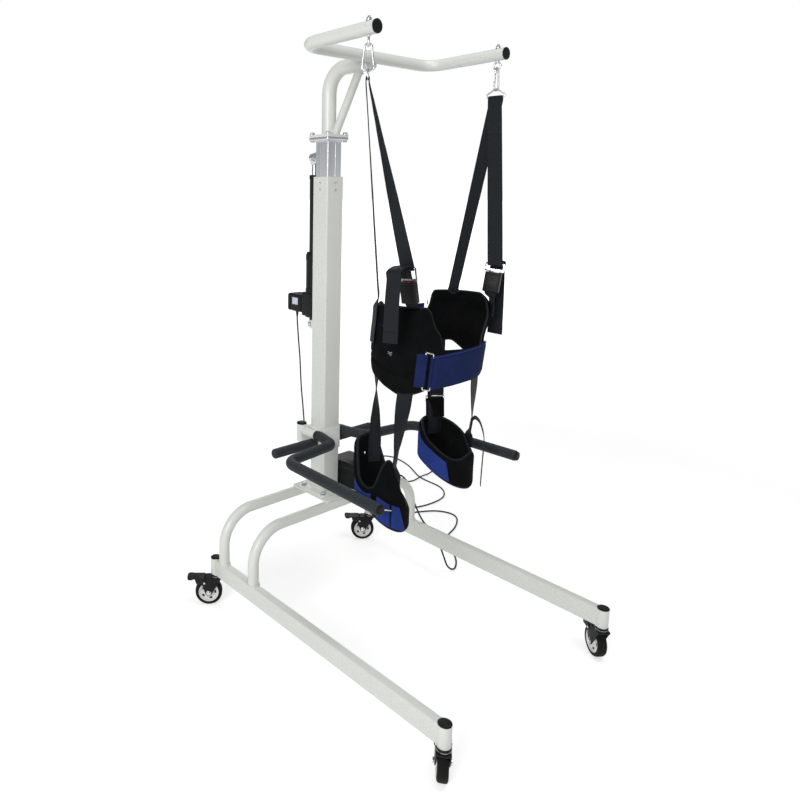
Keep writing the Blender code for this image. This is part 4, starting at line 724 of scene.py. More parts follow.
# Each look: the material's name, colour, roughness, metallic, the shader's constants, and its effects
LOOKS = {
    "paint": ("powder_coat", "paint", 0.34, 0.0, COAT, PAINT),
    "weld": ("powder_coat", "paint", 0.34, 0.0, COAT,
             (*PAINT, ("grain", (420.0, 8.0), ("bump", "Height", 0.0006, 0.6)))),
    "plastic": ("black_moulded_plastic", "plastic", 0.48, 0.0, {SHINE: 0.15}, (
        grained(1400.0, 14.0, (0.34, 0.52), (0.00010, 0.5)), dusted(0.6, 60.0, (0.035, 0.035, 0.034), 1.2),
        worn(10.0, 300.0, (0.045, 0.045, 0.047), 1.2))),
    "gloss": ("dark_gloss_plastic", "plastic", 0.42, 0.0, {SHINE: 0.16}, (
        grained(700.0, 18.0, (0.34, 0.52), (0.00004, 0.4)),)),
    "foam": ("closed_cell_foam", "foam", 0.66, 0.0, {"Sheen Weight": 0.03, SHINE: 0.22}, (
        knitted(1500.0, 30.0, ("tint", "Fold", ("foam", 1.5), 0.45, 0.9), ("vary", "Fold", 0.50, 0.72),
                ("bump", "Height", 0.00025, 0.55), ("bump", "Fold", 0.0009, 0.4)),
        dusted(0.8, 70.0, (0.09, 0.10, 0.11), 1.8))),
    "zinc": ("bright_plated_steel", (0.60, 0.61, 0.63), 0.22, 1.0, {}, (
        grained(420.0, 60.0, (0.12, 0.34), (0.00006, 0.4), ((0.52, 0.53, 0.56), 0.45, 0.8)),)),
    "alloy": ("drawn_aluminium", (0.70, 0.72, 0.74), 0.30, 1.0, {}, (
        ("streaks", (1400.0, 5.0), ("tint", "Streak", (0.50, 0.52, 0.56), 0.3, 0.8),
         ("vary", "Height", 0.20, 0.42), ("bump", "Height", 0.00008, 0.6)),)),
    "tyre": ("tyre_rubber", (0.006, 0.006, 0.006), 0.70, 0.0, {SHINE: 0.14}, (
        grained(900.0, 25.0, (0.55, 0.8), (0.0002, 0.5), ((0.016, 0.0155, 0.015), 0.45, 0.85)),)),
    "rim": ("grey_wheel_plastic", (0.84, 0.84, 0.83), 0.38, 0.0, {}, (
        grained(800.0, 30.0, (0.3, 0.5), (0.00008, 0.5), ((0.70, 0.69, 0.67), 0.4, 0.8)),
        dusted(0.7, 90.0, (0.3, 0.29, 0.27), 1.3))),
    "plate": ("bare_plate", (0.60, 0.66, 0.74), 0.35, 0.0, {}, (
        grained(900.0, 40.0, (0.3, 0.42), (0.00003, 0.4), ((0.70, 0.74, 0.80), 0.4, 0.8)),)),
    "red": ("red_plastic", (0.30, 0.012, 0.014), 0.36, 0.0, {}, (
        grained(900.0, 60.0, (0.26, 0.4), (0.00005, 0.5)),)),
    "lead": ("lead_jacket", (0.010, 0.010, 0.011), 0.45, 0.0, {SHINE: 0.3}, (
        grained(700.0, 22.0, (0.38, 0.56), (0.00008, 0.5), ((0.035, 0.035, 0.034), 0.45, 0.85)),)),
    "webbing": ("woven_webbing", "webbing", 0.62, 0.0, {SHINE: 0.14}, (
        ("weave", (760.0, 520.0), ("tint", "Yarn", ("webbing", 1.5), 0.2, 1.0), ("vary", "Yarn", 0.70, 0.52),
         ("bump", "Height", 0.0005, 0.7)),)),
    "cloth": ("black_padded_cloth", "cloth", 0.88, 0.0, {SHINE: 0.06}, (
        knitted(700.0, 24.0, ("tint", "Fold", ("cloth", 1.8), 0.4, 0.85), ("bump", "Height", 0.0004, 0.6),
                ("bump", "Fold", 0.004, 0.35)),)),
    "navy": ("navy_padded_cloth", "navy", 0.80, 0.0, {SHINE: 0.12}, (
        knitted(780.0, 22.0, ("tint", "Fold", ("navy", 1.5), 0.4, 0.85),
                ("tint", "Loop", ("navy", 0.6), 0.75, 0.2), ("bump", "Height", 0.0004, 0.6),
                ("bump", "Fold", 0.004, 0.35)),)),
    "blue": ("blue_cuff_panel", "panel", 0.72, 0.0, {SHINE: 0.12}, (
        knitted(780.0, 22.0, ("tint", "Fold", ("panel", 1.3), 0.4, 0.85),
                ("tint", "Loop", ("panel", 0.7), 0.75, 0.2), ("bump", "Height", 0.0004, 0.6),
                ("bump", "Fold", 0.003, 0.3)),)),
    "piping": ("navy_piping", ("navy", 1.7), 0.6, 0.0, {SHINE: 0.2}, (
        knitted(1300.0, 60.0, ("bump", "Height", 0.0002, 0.5)),)),
    "binding": ("edge_binding", (0.012, 0.013, 0.016), 0.70, 0.0, {SHINE: 0.15}, (
        knitted(1300.0, 60.0, ("tint", "Loop", (0.022, 0.024, 0.028), 0.3, 0.9),
                ("bump", "Height", 0.0003, 0.6)),)),
    "thread": ("pale_thread", (0.42, 0.42, 0.44), 0.7, 0.0, {}, THREAD),
    "webbing_thread": ("dark_thread", (0.045, 0.050, 0.058), 0.7, 0.0, {}, THREAD),
}
made_looks = {}


def finish(name):
    """The material of that name, made once."""
    if name not in made_looks:
        label, colour, roughness, metallic, constants, effects = LOOKS[name]
        look = Look(label, shade(colour), roughness, metallic, constants)
        for kind, values, *steps in effects:
            outputs = look.effect(kind, values)
            for action, output, *rest in steps:
                getattr(look, action)(outputs[output], *rest)
        made_looks[name] = look.material
    return made_looks[name]


# Frames for pieces that are turned over: local (x, y, z) goes to (x, -z, y) or to (z, x, y)
UPRIGHT = Matrix.Rotation(math.pi / 2, 4, "X")
SIDEWAYS = Matrix(((0, 0, 1, 0), (1, 0, 0, 0), (0, 1, 0, 0), (0, 0, 0, 1)))


def at(x, y, z):
    return Matrix.Translation((x, y, z))


def along_x(way=1):
    """A quarter turn that lays Z along X, forwards or back."""
    return Matrix.Rotation(way * math.pi / 2, 4, "Y")


def along_y(way=1):
    """A quarter turn that lays Z along Y, forwards or back."""
    return Matrix.Rotation(-way * math.pi / 2, 4, "X")


def corners_of(distance):
    return [(sx * distance, sy * distance) for sx in (-1, 1) for sy in (-1, 1)]


def screw_head(place, radius, height):
    """A button-headed screw with a hexagon recess, its head along the place's Z."""
    head = profile_plate([circle(radius, 20), hexagon(radius * 0.42)], 0.0, height, "zinc")
    round_edges(head, height * 0.3, 2, 50)
    base = lathe([(0.0, height * 0.4), (radius * 0.6, height * 0.4), (radius * 0.6, 0.0)], "zinc", None, 12)
    return [apply_place(piece, place) for piece in (head, base)]


# Leads


def lead_route():
    """The whole route of the mains lead, from the box's gland to the plug."""
    gx, gy, gz = BOX_LOW_GLAND
    over = TUBE_R + LEAD_R + 0.0012
    lift = math.radians(64)
    side = -ARCH_Y + over * math.cos(lift)
    reach = ARCH_BEND + over * math.sin(lift) + 0.0005
    route = [
        (gx, gy, gz - GAP), (gx + 0.0005, gy, gz - 0.020), (0.106, -0.0504, 0.3605),
        (0.145, -0.052, 0.3465), (0.210, -0.0555, 0.3435), (0.280, -0.061, 0.353),
        (0.330, -0.0665, 0.3745), (0.357, -0.0728, 0.3785),
    ]
    for angle in (49, 68):
        a = math.radians(angle)
        x = LEG_X - ARCH_BEND + reach * math.sin(a)
        route.append((x, side, ARCH_Z - ARCH_BEND + reach * math.cos(a)))
    route += [
        (0.4290, -0.086, 0.250), (0.4272, -0.138, 0.184), (0.4275, -0.205, 0.150),
        (0.4350, -0.243, 0.072), (0.4480, -0.257, 0.026),
    ]
    route += [(x, y, FLOOR_LEAD_Z) for x, y in FLOOR_ROUTE]
    return route


def lead_path():
    """The lead's centre line, evenly spaced, lifted in a long low hump where it crosses."""
    path = even_path(smooth_path(lead_route(), 10), 0.006)
    for _ in range(14):
        soft = [(a + 2 * b + c) / 4 if b.z < 0.012 else b for a, b, c in zip(path, path[1:], path[2:])]
        path = [path[0], *soft, path[-1]]
    passes = [i for i, p in enumerate(path) if math.dist((p.x, p.y), CROSSING) < 0.030]
    over = max(passes)
    spread = 0.085
    lengths = [0.0]
    for a, b in zip(path, path[1:]):
        lengths.append(lengths[-1] + (b - a).length)
    best = min(range(over - 12, len(path)), key=lambda i: math.dist((path[i].x, path[i].y), CROSSING))
    for i, point in enumerate(path):
        point.z = max(point.z, FLOOR_LEAD_Z)
        away = abs(lengths[i] - lengths[best])
        if away < spread:
            point.z += (2 * LEAD_R + 0.0012) * (0.5 + 0.5 * math.cos(math.pi * away / spread))
    return path


def lay_lead(name, path, radius, node):
    """A lead on the base, left as a curve."""
    lead = paint_with(place_new(name, tube_line(name, path, radius, 7)), "lead")
    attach(lead, "base")
    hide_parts(node)
    return lead


def ribbed_relief(start, end, look, large, small, ribs):
    """A tapered strain relief with ribs, thick at its start and thin at its end."""
    place, length = towards(start, end)
    profile = [(small * 0.6, 0.0), (large * 0.9, 0.0), (large, length * 0.05), (large, length * 0.12)]
    for i in range(ribs):
        low = length * (0.16 + 0.80 * i / ribs)
        high = length * (0.16 + 0.80 * (i + 0.55) / ribs)
        radius = large + (small * 1.25 - large) * (i + 0.5) / ribs
        profile += [(radius * 0.86, low), (radius, low + 0.0004), (radius * 0.985, high),
                    (radius * 0.84, high + 0.0004)]
    profile += [(small * 1.12, length * 0.985), (small * 1.02, length), (small * 0.6, length)]
    return lathe(profile, look, place @ at(0, 0, -length / 2), 32, closed=True)


def make_plug():
    """A moulded mains plug with two round pins, lying flat at the end of the lead."""
    path = lead_path()
    end = path[-1]
    along = path[-1] - path[-2]
    along.z = 0.0
    place = Matrix.Translation((end.x, end.y, 0)) @ along.to_track_quat("X", "Z").to_matrix().to_4x4()
    half = 0.0085
    tail = ribbed_relief((0.034, 0, half), (0.0012, 0, half), "gloss", 0.0066, LEAD_R, 7)
    body = block((0.024, 0.0515), (-0.015, 0.015), (0.0003, 2 * half), "gloss", 0.0048, 5)
    face = block((0.0490, 0.0520), (-0.0150, 0.0150), (0.0003, 2 * half), "gloss", 0.0013, 3)
    pieces = [tail, body, face]
    for i in range(4):
        x = 0.0285 + 0.0042 * i
        for side in (-1, 1):
            y = side * 0.0147
            pieces.append(rod(0.0009, (x, y, half - 0.005), (x, y, half + 0.005), "gloss", 12, 0.0003))
    for side in (-1, 1):
        y = side * 0.0095
        pieces.append(lathe(
            [(0.0, 0.0700), (0.0012, 0.0696), (0.0021, 0.0683), (0.0024, 0.0670), (0.0024, 0.0600)],
            "zinc", at(0, y, half) @ along_x(), 24,
        ))
        pieces.append(rod(0.00235, (0.050, y, half), (0.0605, y, half), "gloss", 24, 0.0002))
    return settle("mains_plug", pieces, "base", "power_plug", place=place)


def make_mains_lead():
    plug = make_plug()
    gx, gy, gz = BOX_LOW_GLAND
    relief = ribbed_relief((gx, gy, gz + 0.003), (gx + 0.0002, gy, gz - 0.026), "plastic", 0.0072, LEAD_R, 6)
    nut_piece = nut(0.0098, 0.0, 0.0045, "plastic", at(gx, gy, gz + 0.0045))
    settle("box_strain_relief", [relief, nut_piece], "base", None)
    path = [p + AXIS for p in lead_path()]
    lead = lay_lead("mains_lead", path, LEAD_R, "power_cord")
    path_length(path)


def make_motor_lead():
    """The motor's lead: it hangs in a bow behind the sleeve and turns in to the box."""
    gx, gy, gz = MOTOR_GLAND
    bx, by, bz = BOX_REAR_GLAND
    route = (
        (gx, gy, gz - GAP), (gx, gy, gz - 0.030), (0.0, 0.158, 0.960), (0.0, 0.148, 0.880),
        (0.0, 0.140, 0.780), (0.005, 0.134, 0.690), (0.012, 0.130, 0.600), (0.024, 0.127, 0.530),
        (0.046, 0.114, 0.474), (0.074, 0.090, 0.450), (0.096, 0.062, 0.448),
        (bx, by + 0.018, bz), (bx, by + GAP, bz),
    )
    path = [p + AXIS for p in even_path(smooth_path(route, 10), 0.005)]
    lead = lay_lead("motor_lead", path, MOTOR_LEAD_R, "motor_cord")
    tuple(path[0])
    path_length(path)
    reliefs = [
        ribbed_relief((gx, gy, gz + 0.002), (gx, gy, gz - 0.020), "plastic", 0.0060, MOTOR_LEAD_R, 5),
        ribbed_relief((bx, by - 0.002, bz), (bx, by + 0.018, bz), "plastic", 0.0060, MOTOR_LEAD_R, 5),
    ]
    settle("motor_lead_reliefs", reliefs, "base", None)


# Base


def saddle(x, y, facing):
    """The seam where the rectangular rail meets a round post, facing +1 or -1 along Y."""
    outline = rounded_box(0.0152, 0.0307, 0.004, 4)
    middle = (POST_BOTTOM + POST_TOP) / 2
    return [
        Vector((x + dx, y + facing * math.sqrt(0.0195**2 - dx**2), middle + dz)) for dx, dz in outline
    ]


def make_leg(word, side):
    x = side * LEG_X
    low, high = POST_BOTTOM + RAIL_INSET, POST_TOP - RAIL_INSET
    middle, half = (low + high) / 2, (high - low) / 2
    rail = profile_plate(
        [rounded_box(0.015, half, 0.0040)], -(REAR_Y - 0.013), -(FRONT_Y + 0.013), "paint",
        at(x, 0, middle) @ UPRIGHT,
    )
    pieces = [rail]
    for y, facing in ((FRONT_Y, 1), (REAR_Y, -1)):
        wall = [
            (0.0190, POST_BOTTOM + 0.0006), (0.0190, POST_TOP - 0.0006), (0.0186, POST_TOP),
            (0.0162, POST_TOP), (0.0160, POST_TOP - 0.0006), (0.0160, POST_BOTTOM + 0.0006),
            (0.0162, POST_BOTTOM), (0.0186, POST_BOTTOM),
        ]
        pieces.append(lathe(wall, "paint", at(x, y, 0), 64, closed=True))
        pieces.append(bead(saddle(x, y, facing), 0.0026, "weld", True, side + y))
    for y in (-ARCH_Y, ARCH_Y):
        ring = ring_path((x, y, high + 0.0012), (0, 0, 1), 0.0205)
        pieces.append(bead(ring, 0.0028, "weld", True, side + 3 * y))
    settle(f"{word}_leg_rail", pieces, "base", f"{word}_leg")


def make_post_caps():
    for name, x, y, _ in CASTERS:
        profile = soft_profile(
            [(0.0, 0.0056), (0.0120, 0.0052), (0.0176, 0.0036), (0.0192, 0.0022), (0.0192, 0.0003),
             (0.0157, 0.0003)], 0.0012, 4,
        )
        plug = [(0.0157, -0.012), (0.0150, -0.014), (0.0, -0.014)]
        cap = lathe(profile + plug, "plastic", at(x, y, POST_TOP), 56)
        settle(f"{name}_post_plug", cap, "base", f"{name}_post_cap")


def make_arches():
    foot = POST_TOP - RAIL_INSET + GAP
    for word, y in (("rear", ARCH_Y), ("front", -ARCH_Y)):
        corners = ((-LEG_X, y, foot), (-LEG_X, y, ARCH_Z), (LEG_X, y, ARCH_Z), (LEG_X, y, foot))
        arch = tube(fillet_path(corners, ARCH_BEND, 18), TUBE_R, "paint", 12)
        settle(f"{word}_arch_tube", arch, "base", f"{word}_arch")


def make_plate():
    outline = rounded_box(PLATE_X / 2, PLATE_Y / 2, 0.010)
    plate = profile_plate([outline], PLATE_LOW, PLATE_LOW + PLATE_T, "paint", None, 0.0012)
    pieces = [plate]
    for x, y in corners_of(FOOT_BOLT):
        pieces += bolt_on(x, y, FOOT_TOP)
        pieces.append(nut(0.0092, PLATE_LOW - 0.0062, PLATE_LOW - 0.0002, "zinc", at(x, y, 0)))
    for y in (-ARCH_Y, ARCH_Y):
        for side in (-1, 1):
            z = PLATE_LOW - 0.0016
            line = [Vector((x, y + side * 0.0082, z)) for x in (-0.070, -0.035, 0.0, 0.035, 0.070)]
            pieces.append(bead(line, 0.0020, "weld", False, y + side))
    settle("base_plate", pieces, "base", "mounting_plate")


# Column


def lug(side, wall_y, z, look):
    """One lug of a clevis on a column's rear face, with its eye."""
    reach = ACT_Y - wall_y
    outline = arc((0.0, 0.0), 0.014, 90, -90, 18)
    outline += [(-reach, -0.022), (-reach, 0.022)]
    low = LUG_IN + GAP
    high = low + LUG_T
    if side < 0:
        low, high = -high, -low
    place = at(0, ACT_Y, z) @ SIDEWAYS
    return profile_plate([outline, circle(0.0053, 20)], low, high, look, place, 0.0007)


def make_outer_column():
    half, inside = OUTER / 2, OUTER / 2 - OUTER_WALL
    column = profile_plate(
        [rounded_box(half, half, 0.0045, 8), rounded_box(inside, inside, 0.0012, 3)],
        FOOT_TOP - 0.001, OUTER_TOP, "paint",
    )
    foot = profile_plate([rounded_box(FOOT / 2, FOOT / 2, 0.008)], FOOT_LOW, FOOT_TOP, "paint", None, 0.0013)
    seam = [Vector((x, y, FOOT_TOP + 0.0013)) for x, y in rounded_box(half + 0.0014, half + 0.0014, 0.006)]
    pieces = [column, foot, bead(seam, 0.0030, "weld", True, 5)]
    for side in (-1, 1):
        pieces.append(lug(side, half - 0.001, ACT_LOW_Z, "paint"))
        x = side * 0.0150
        line = [Vector((x + side * 0.0032, half + 0.0008, ACT_LOW_Z + z)) for z in (-0.021, 0.0, 0.021)]
        pieces.append(bead(line, 0.0018, "weld", False, side))
    bracket = block(
        (half - 0.001, half + 0.003), (-0.030, 0.030), (BOX_Z[0] + 0.010, BOX_Z[1] - 0.004), "paint", 0.0008
    )
    pieces.append(bracket)
    for direction in ("X", "Y"):
        for side in (-1, 1):
            for z in (1.548, 1.524):
                if direction == "X":
                    place = at(side * half, 0, z) @ along_x(side)
                else:
                    place = at(0, side * half, z) @ along_y(side)
                pieces += screw_head(place, 0.0038, 0.0019)
    settle("column_outer_tube", pieces, "base", "outer_column")


def make_guide_bush():
    high = OUTER_TOP - 0.0006
    size = OUTER / 2 - OUTER_WALL - GAP
    inner = INNER / 2 + GAP
    ring = profile_plate(
        [rounded_box(size, size, 0.0012, 3), rounded_box(inner, inner, 0.0030, 4)],
        high - 0.060, high, "plastic", None, 0.0004,
    )
    settle("column_guide_ring", ring, "base", "guide_bush")


def make_inner_column():
    half = INNER / 2
    outline = rounded_box(half, half, 0.0030, 6)
    third = 3 * 7
    depth, width = 0.0015, 0.004
    groove = [(-width, -half), (-width + 0.0004, depth - half), (width - 0.0004, depth - half), (width, -half)]
    outline = outline[:third] + groove + outline[third:]
    inside = half - 0.003
    column = profile_plate(
        [outline, rounded_box(inside, inside, 0.001, 2)], INNER_LOW, FLANGE_Z + 0.001, "alloy"
    )
    flange = profile_plate(
        [rounded_box(FLANGE / 2, FLANGE / 2, 0.006)], FLANGE_Z, FLANGE_Z + FLANGE_T, "alloy", None, 0.0012
    )
    seam = [Vector((x, y, FLANGE_Z - 0.0012)) for x, y in rounded_box(half + 0.001, half + 0.001, 0.004)]
    pieces = [column, flange, bead(seam, 0.0026, "alloy", True, 8)]
    for side in (-1, 1):
        pieces.append(lug(side, half - 0.001, ACT_HIGH_Z, "alloy"))
    for x, y in corners_of(FLANGE_BOLT):
        pieces += bolt_on(x, y, UPPER_FLANGE_Z + FLANGE_T, "zinc", 0.005, 0.0082, 0.007, 0.0015)
        pieces.append(nut(0.0080, FLANGE_Z - 0.0058, FLANGE_Z - 0.0002, "zinc", at(x, y, 0)))
    settle("column_inner_profile", pieces, "lift", "inner_column")


# Yoke and hooks


def neck_seam():
    """Where the neck meets the cross bar."""
    return [Vector((x, BAR_BACK_Y + math.sqrt(max(0.0, 0.0196**2 - (z - BAR_Z) ** 2)), z))
            for x, z in circle(NECK_R + 0.0006, 40, (0.0, NECK_Z))]


def make_yoke():
    top = UPPER_FLANGE_Z + FLANGE_T
    flange = profile_plate(
        [rounded_box(FLANGE / 2, FLANGE / 2, 0.006)], UPPER_FLANGE_Z, top, "paint", None, 0.0012
    )
    neck_points = ((0, 0, top - 0.002), (0, 0, NECK_Z), (0, BAR_BACK_Y, NECK_Z))
    neck = tube(fillet_path(neck_points, NECK_BEND, 18), NECK_R, "paint", 14)
    brace_low, brace_high = Vector((0, -0.032, top - 0.001)), Vector((0, -0.150, BAR_Z - 0.026))
    brace = tube([brace_low, brace_high], BRACE_R, "paint", 10)
    bar_points = (
        (-BAR_HALF, BAR_END_Y, BAR_Z), (-BAR_HALF, BAR_BACK_Y, BAR_Z),
        (BAR_HALF, BAR_BACK_Y, BAR_Z), (BAR_HALF, BAR_END_Y, BAR_Z),
    )
    bar = tube(fillet_path(bar_points, BAR_BEND, 16), TUBE_R, "paint", 12)
    slope = (brace_high - brace_low).normalized()
    pieces = [
        flange, neck, brace, bar,
        bead(ring_path((0, 0, top + 0.0012), (0, 0, 1), NECK_R + 0.001), 0.0030, "weld", True, 1),
        bead(neck_seam(), 0.0028, "weld", True, 2),
        bead(ring_path(brace_low + slope * 0.003, (0, -0.35, 1), BRACE_R + 0.0008), 0.0024, "weld", True, 3),
        bead(ring_path(brace_high - slope * 0.016, slope, BRACE_R + 0.0012), 0.0024, "weld", True, 4),
    ]
    settle("lifting_yoke_frame", pieces, "lift", "lifting_yoke")
    for word, side in SIDES:
        profile = soft_profile(
            [(0.0, 0.0046), (0.0150, 0.0044), (0.0192, 0.0030), (0.0192, 0.0003), (0.0157, 0.0003)], 0.0012, 5
        )
        cap = lathe(
            profile + [(0.0157, -0.014), (0.0, -0.014)], "plastic",
            at(side * BAR_HALF, BAR_END_Y, BAR_Z) @ UPRIGHT, 56,
        )
        settle(f"{word}_yoke_plug", cap, "lift", f"{word}_yoke_cap")


def hook_place(side, turn):
    return at(side * BAR_HALF, EYE_Y, 0) @ Matrix.Rotation(math.radians(turn), 4, "Z")


def make_eye_bolt(word, side):
    x = side * BAR_HALF
    place = hook_place(side, HOOK_TURN[side])
    path = [place @ Vector((0, y, z)) for y, z in circle(EYE_MAJOR, 40, (0.0, EYE_Z))]
    top = BAR_Z + TUBE_R + GAP
    bottom = BAR_Z - TUBE_R
    pieces = [
        tube(path, EYE_R, "zinc", 6, cyclic=True),
        rod(0.004, (x, EYE_Y, EYE_Z + EYE_MAJOR - 0.001), (x, EYE_Y, top + 0.012), "zinc", 24),
        lathe([(0.004, -0.0018), (0.0064, -0.0014), (0.0066, 0.0), (0.004, 0.0)], "zinc",
              at(x, EYE_Y, bottom - 0.0003), 32, True),
        washer(0.004, 0.009, 0.0012, "zinc", at(x, EYE_Y, top), 0.0003),
        nut(0.0075, top + 0.0015, top + 0.008, "zinc", at(x, EYE_Y, 0)),
    ]
    settle(f"{word}_hook_eye", pieces, "lift", f"{word}_eye_bolt")


GATE_R = 0.00255
HOOK_OUTLINE = (
    (-0.0098, HOOK_TOP - 0.0170), (-0.0085, HOOK_TOP - 0.0045), (0.0, HOOK_TOP),
    (0.0085, HOOK_TOP - 0.0045), (0.0108, HOOK_TOP - 0.0170), (0.0152, HOOK_BOTTOM + 0.0180),
    (0.0137, HOOK_BOTTOM + 0.0055), (0.0, HOOK_BOTTOM), (-0.0137, HOOK_BOTTOM + 0.0055),
    (-0.0152, HOOK_BOTTOM + 0.0120),
)


def gate_ends(side):
    place = hook_place(side, HOOK_TURN[side])
    low = Vector((HOOK_OUTLINE[-1][0], 0, HOOK_OUTLINE[-1][1] + GATE_R + GAP))
    high = Vector((HOOK_OUTLINE[0][0] - 0.0004, 0, HOOK_OUTLINE[0][1] - 0.0008))
    return place @ low, place @ high


def make_hook(word, side):
    """A snap hook with its sprung gate."""
    place = hook_place(side, HOOK_TURN[side])
    path = [place @ p for p in smooth_path([(x, 0, z) for x, z in HOOK_OUTLINE], 8)]
    body = tube(path, HOOK_R, "zinc", 7)
    nose_dir = (path[0] - path[1]).normalized()
    nose = rod(0.0035, path[0] - nose_dir * 0.0040, path[0] + nose_dir * 0.0004, "zinc", 24, 0.0008)
    heel_dir = (path[-1] - path[-2]).normalized()
    heel = rod(0.0034, path[-1] - heel_dir * 0.0050, path[-1] + heel_dir * 0.0002, "zinc", 24, 0.0008)
    settle(f"{word}_snap_hook", [body, nose, heel], "harness", f"{word}_carabiner")
    low, high = gate_ends(side)
    along = (high - low).normalized()
    across = place.to_3x3() @ Vector((0, 1, 0))
    ball = arc((0.0, 0.0), GATE_R, -90, 0, 9)
    length = (high - low).length
    ball += [(GATE_R, length - 0.0005), (GATE_R - 0.0005, length), (0.0, length)]
    turn = facing(low, along)
    gate = lathe([(max(r, 0.0), h) for r, h in ball], "zinc", turn, 28)
    collar = rod(HOOK_R, low + along * 0.004, low + along * 0.012, "zinc", 24, 0.0006)
    pin = rod(0.0011, low - across * 0.0036, low + across * 0.0036, "zinc", 16, 0.0003)
    settle(f"{word}_hook_gate", [gate, collar, pin], f"{word}_gate", f"{word}_carabiner_gate")


STRAP_W, STRAP_T = 0.048, 0.0026


def make_ring(word, side):
    """A triangular ring that hangs in the hook and holds the straps on its lower bar."""
    half = STRAP_W / 2 + 0.0055
    shoulder, bend = 0.010, 0.006
    slant = math.atan2(half, 0.026 - shoulder)
    corner = RING_TOP + bend / math.sin(slant) - bend
    place = hook_place(side, RING_TURN[side])
    points = (
        (-0.004, 0, RING_BAR_Z), (-half, 0, RING_BAR_Z), (-half, 0, RING_BAR_Z + shoulder),
        (0, 0, corner), (half, 0, RING_BAR_Z + shoulder), (half, 0, RING_BAR_Z), (-0.003, 0, RING_BAR_Z),
    )
    path = [place @ p for p in fillet_path(points, (0.003, 0.004, bend, 0.004, 0.003), 8)][:-1]
    ring = tube(path, RING_R, "zinc", 7, cyclic=True)
    joint = lathe(mirrored([(RING_R, -0.0016), (RING_R * 1.16, -0.0006)]), "zinc",
                  place @ at(0.004, 0, RING_BAR_Z) @ along_x(), 24, True)
    settle(f"{word}_triangle_ring", [ring, joint], "harness", f"{word}_strap_ring")


# Actuator and control box


def clevis_end(z, look):
    """The eye of an actuator end with its pin, washers and nuts, along X."""
    out = LUG_IN + GAP + LUG_T
    pieces = [
        rod(0.0125, (-LUG_IN, ACT_Y, z), (LUG_IN, ACT_Y, z), look, 40, 0.0010),
        rod(PIN_R, (-out - 0.006, ACT_Y, z), (out + 0.006, ACT_Y, z), "zinc", 24, 0.0006),
    ]
    for side, height in ((-1, 0.0040), (1, 0.0030)):
        turn = at(side * (out + 0.0002), ACT_Y, z) @ along_x(side)
        pieces.append(washer(PIN_R, 0.0086, 0.0012, "zinc", turn))
        pieces.append(nut(0.0082, 0.0, height, "zinc", at(side * (out + 0.0016), ACT_Y, z) @ along_x(side)))
    return pieces


def make_actuator():
    low, high = ACT_BODY_Z
    body = lathe(
        soft_profile([
            (0.0, high), (0.0245, high), (0.0268, high - 0.006), (0.0300, high - 0.012),
            (0.0300, high - 0.030), (0.0286, high - 0.032), (0.0286, low + 0.110), (0.0300, low + 0.108),
            (0.0300, low), (0.0, low),
        ], 0.0010, 3), "plastic", at(0, ACT_Y, 0), 64,
    )
    sleeve = lathe(
        soft_profile([
            (0.0175, high - 0.004), (0.0175, 1.562), (0.0190, 1.564), (0.0190, 1.5765), (0.0178, 1.578),
            (0.0108, 1.578),
        ], 0.0006, 3) + [(0.0108, 1.560), (0.0108, high - 0.004)], "plastic", at(0, ACT_Y, 0), 56,
        closed=True,
    )
    gearbox = block((-0.0325, 0.0325), (0.0455, 0.1053), (low + 0.004, low + 0.094), "plastic", 0.0060, 5)
    lower = block(about(0, 0.012), about(ACT_Y, 0.010), (ACT_LOW_Z, low + 0.008), "plastic", 0.0020)
    pieces = [body, sleeve, gearbox, lower]
    for z in (low + 0.016, low + 0.082):
        for x in (-0.022, 0.022):
            pieces += screw_head(at(x, 0.0455, z) @ UPRIGHT, 0.0034, 0.0016)
    pieces += clevis_end(ACT_LOW_Z, "plastic")
    settle("actuator_housing", pieces, "base", "actuator_tube")
    rod_body = rod(0.010, (0, ACT_Y, 1.188), (0, ACT_Y, ACT_HIGH_Z), "zinc", 48, 0.0006)
    fork = block(about(0, 0.012), about(ACT_Y, 0.0105), (ACT_HIGH_Z - 0.0235, ACT_HIGH_Z), "zinc", 0.0020)
    settle("actuator_piston", [rod_body, fork] + clevis_end(ACT_HIGH_Z, "zinc"), "lift", "actuator_rod")


def make_motor():
    r = 0.034
    low, high = MOTOR_Z - r, MOTOR_Z + r
    near, far = MOTOR_NEAR, MOTOR_END_Y
    shell = block((-r, r), (near + 0.0003, far - 0.018), (low, high), "plastic", 0.0095, 6)
    lid = block(about(0, r - 0.0006), (far - 0.0176, far), inset((low, high), 0.0006), "plastic", 0.0090, 6)
    pieces = [shell, lid]
    for x, z in corners_of(0.024):
        pieces += screw_head(at(x, far, MOTOR_Z + z) @ along_y(), 0.0034, 0.0012)
    for i in range(5):
        x = -0.020 + 0.010 * i
        rib = (about(x, 0.0012), (near + 0.012, far - 0.026), (high - 0.001, high + 0.0009))
        pieces.append(block(*rib, "plastic", 0.0006, 2))
    gx, gy, _ = MOTOR_GLAND
    pieces.append(nut(0.0085, -0.004, 0.0, "plastic", at(gx, gy, low)))
    settle("motor_housing", pieces, "base", "actuator_motor")
    plate = block((-r - 0.0008, -r + 0.0006), (near + 0.018, near + 0.050),
                  (MOTOR_Z - 0.006, MOTOR_Z + 0.020), "plate", 0.0004, 2)
    settle("motor_bare_plate", plate, "base")


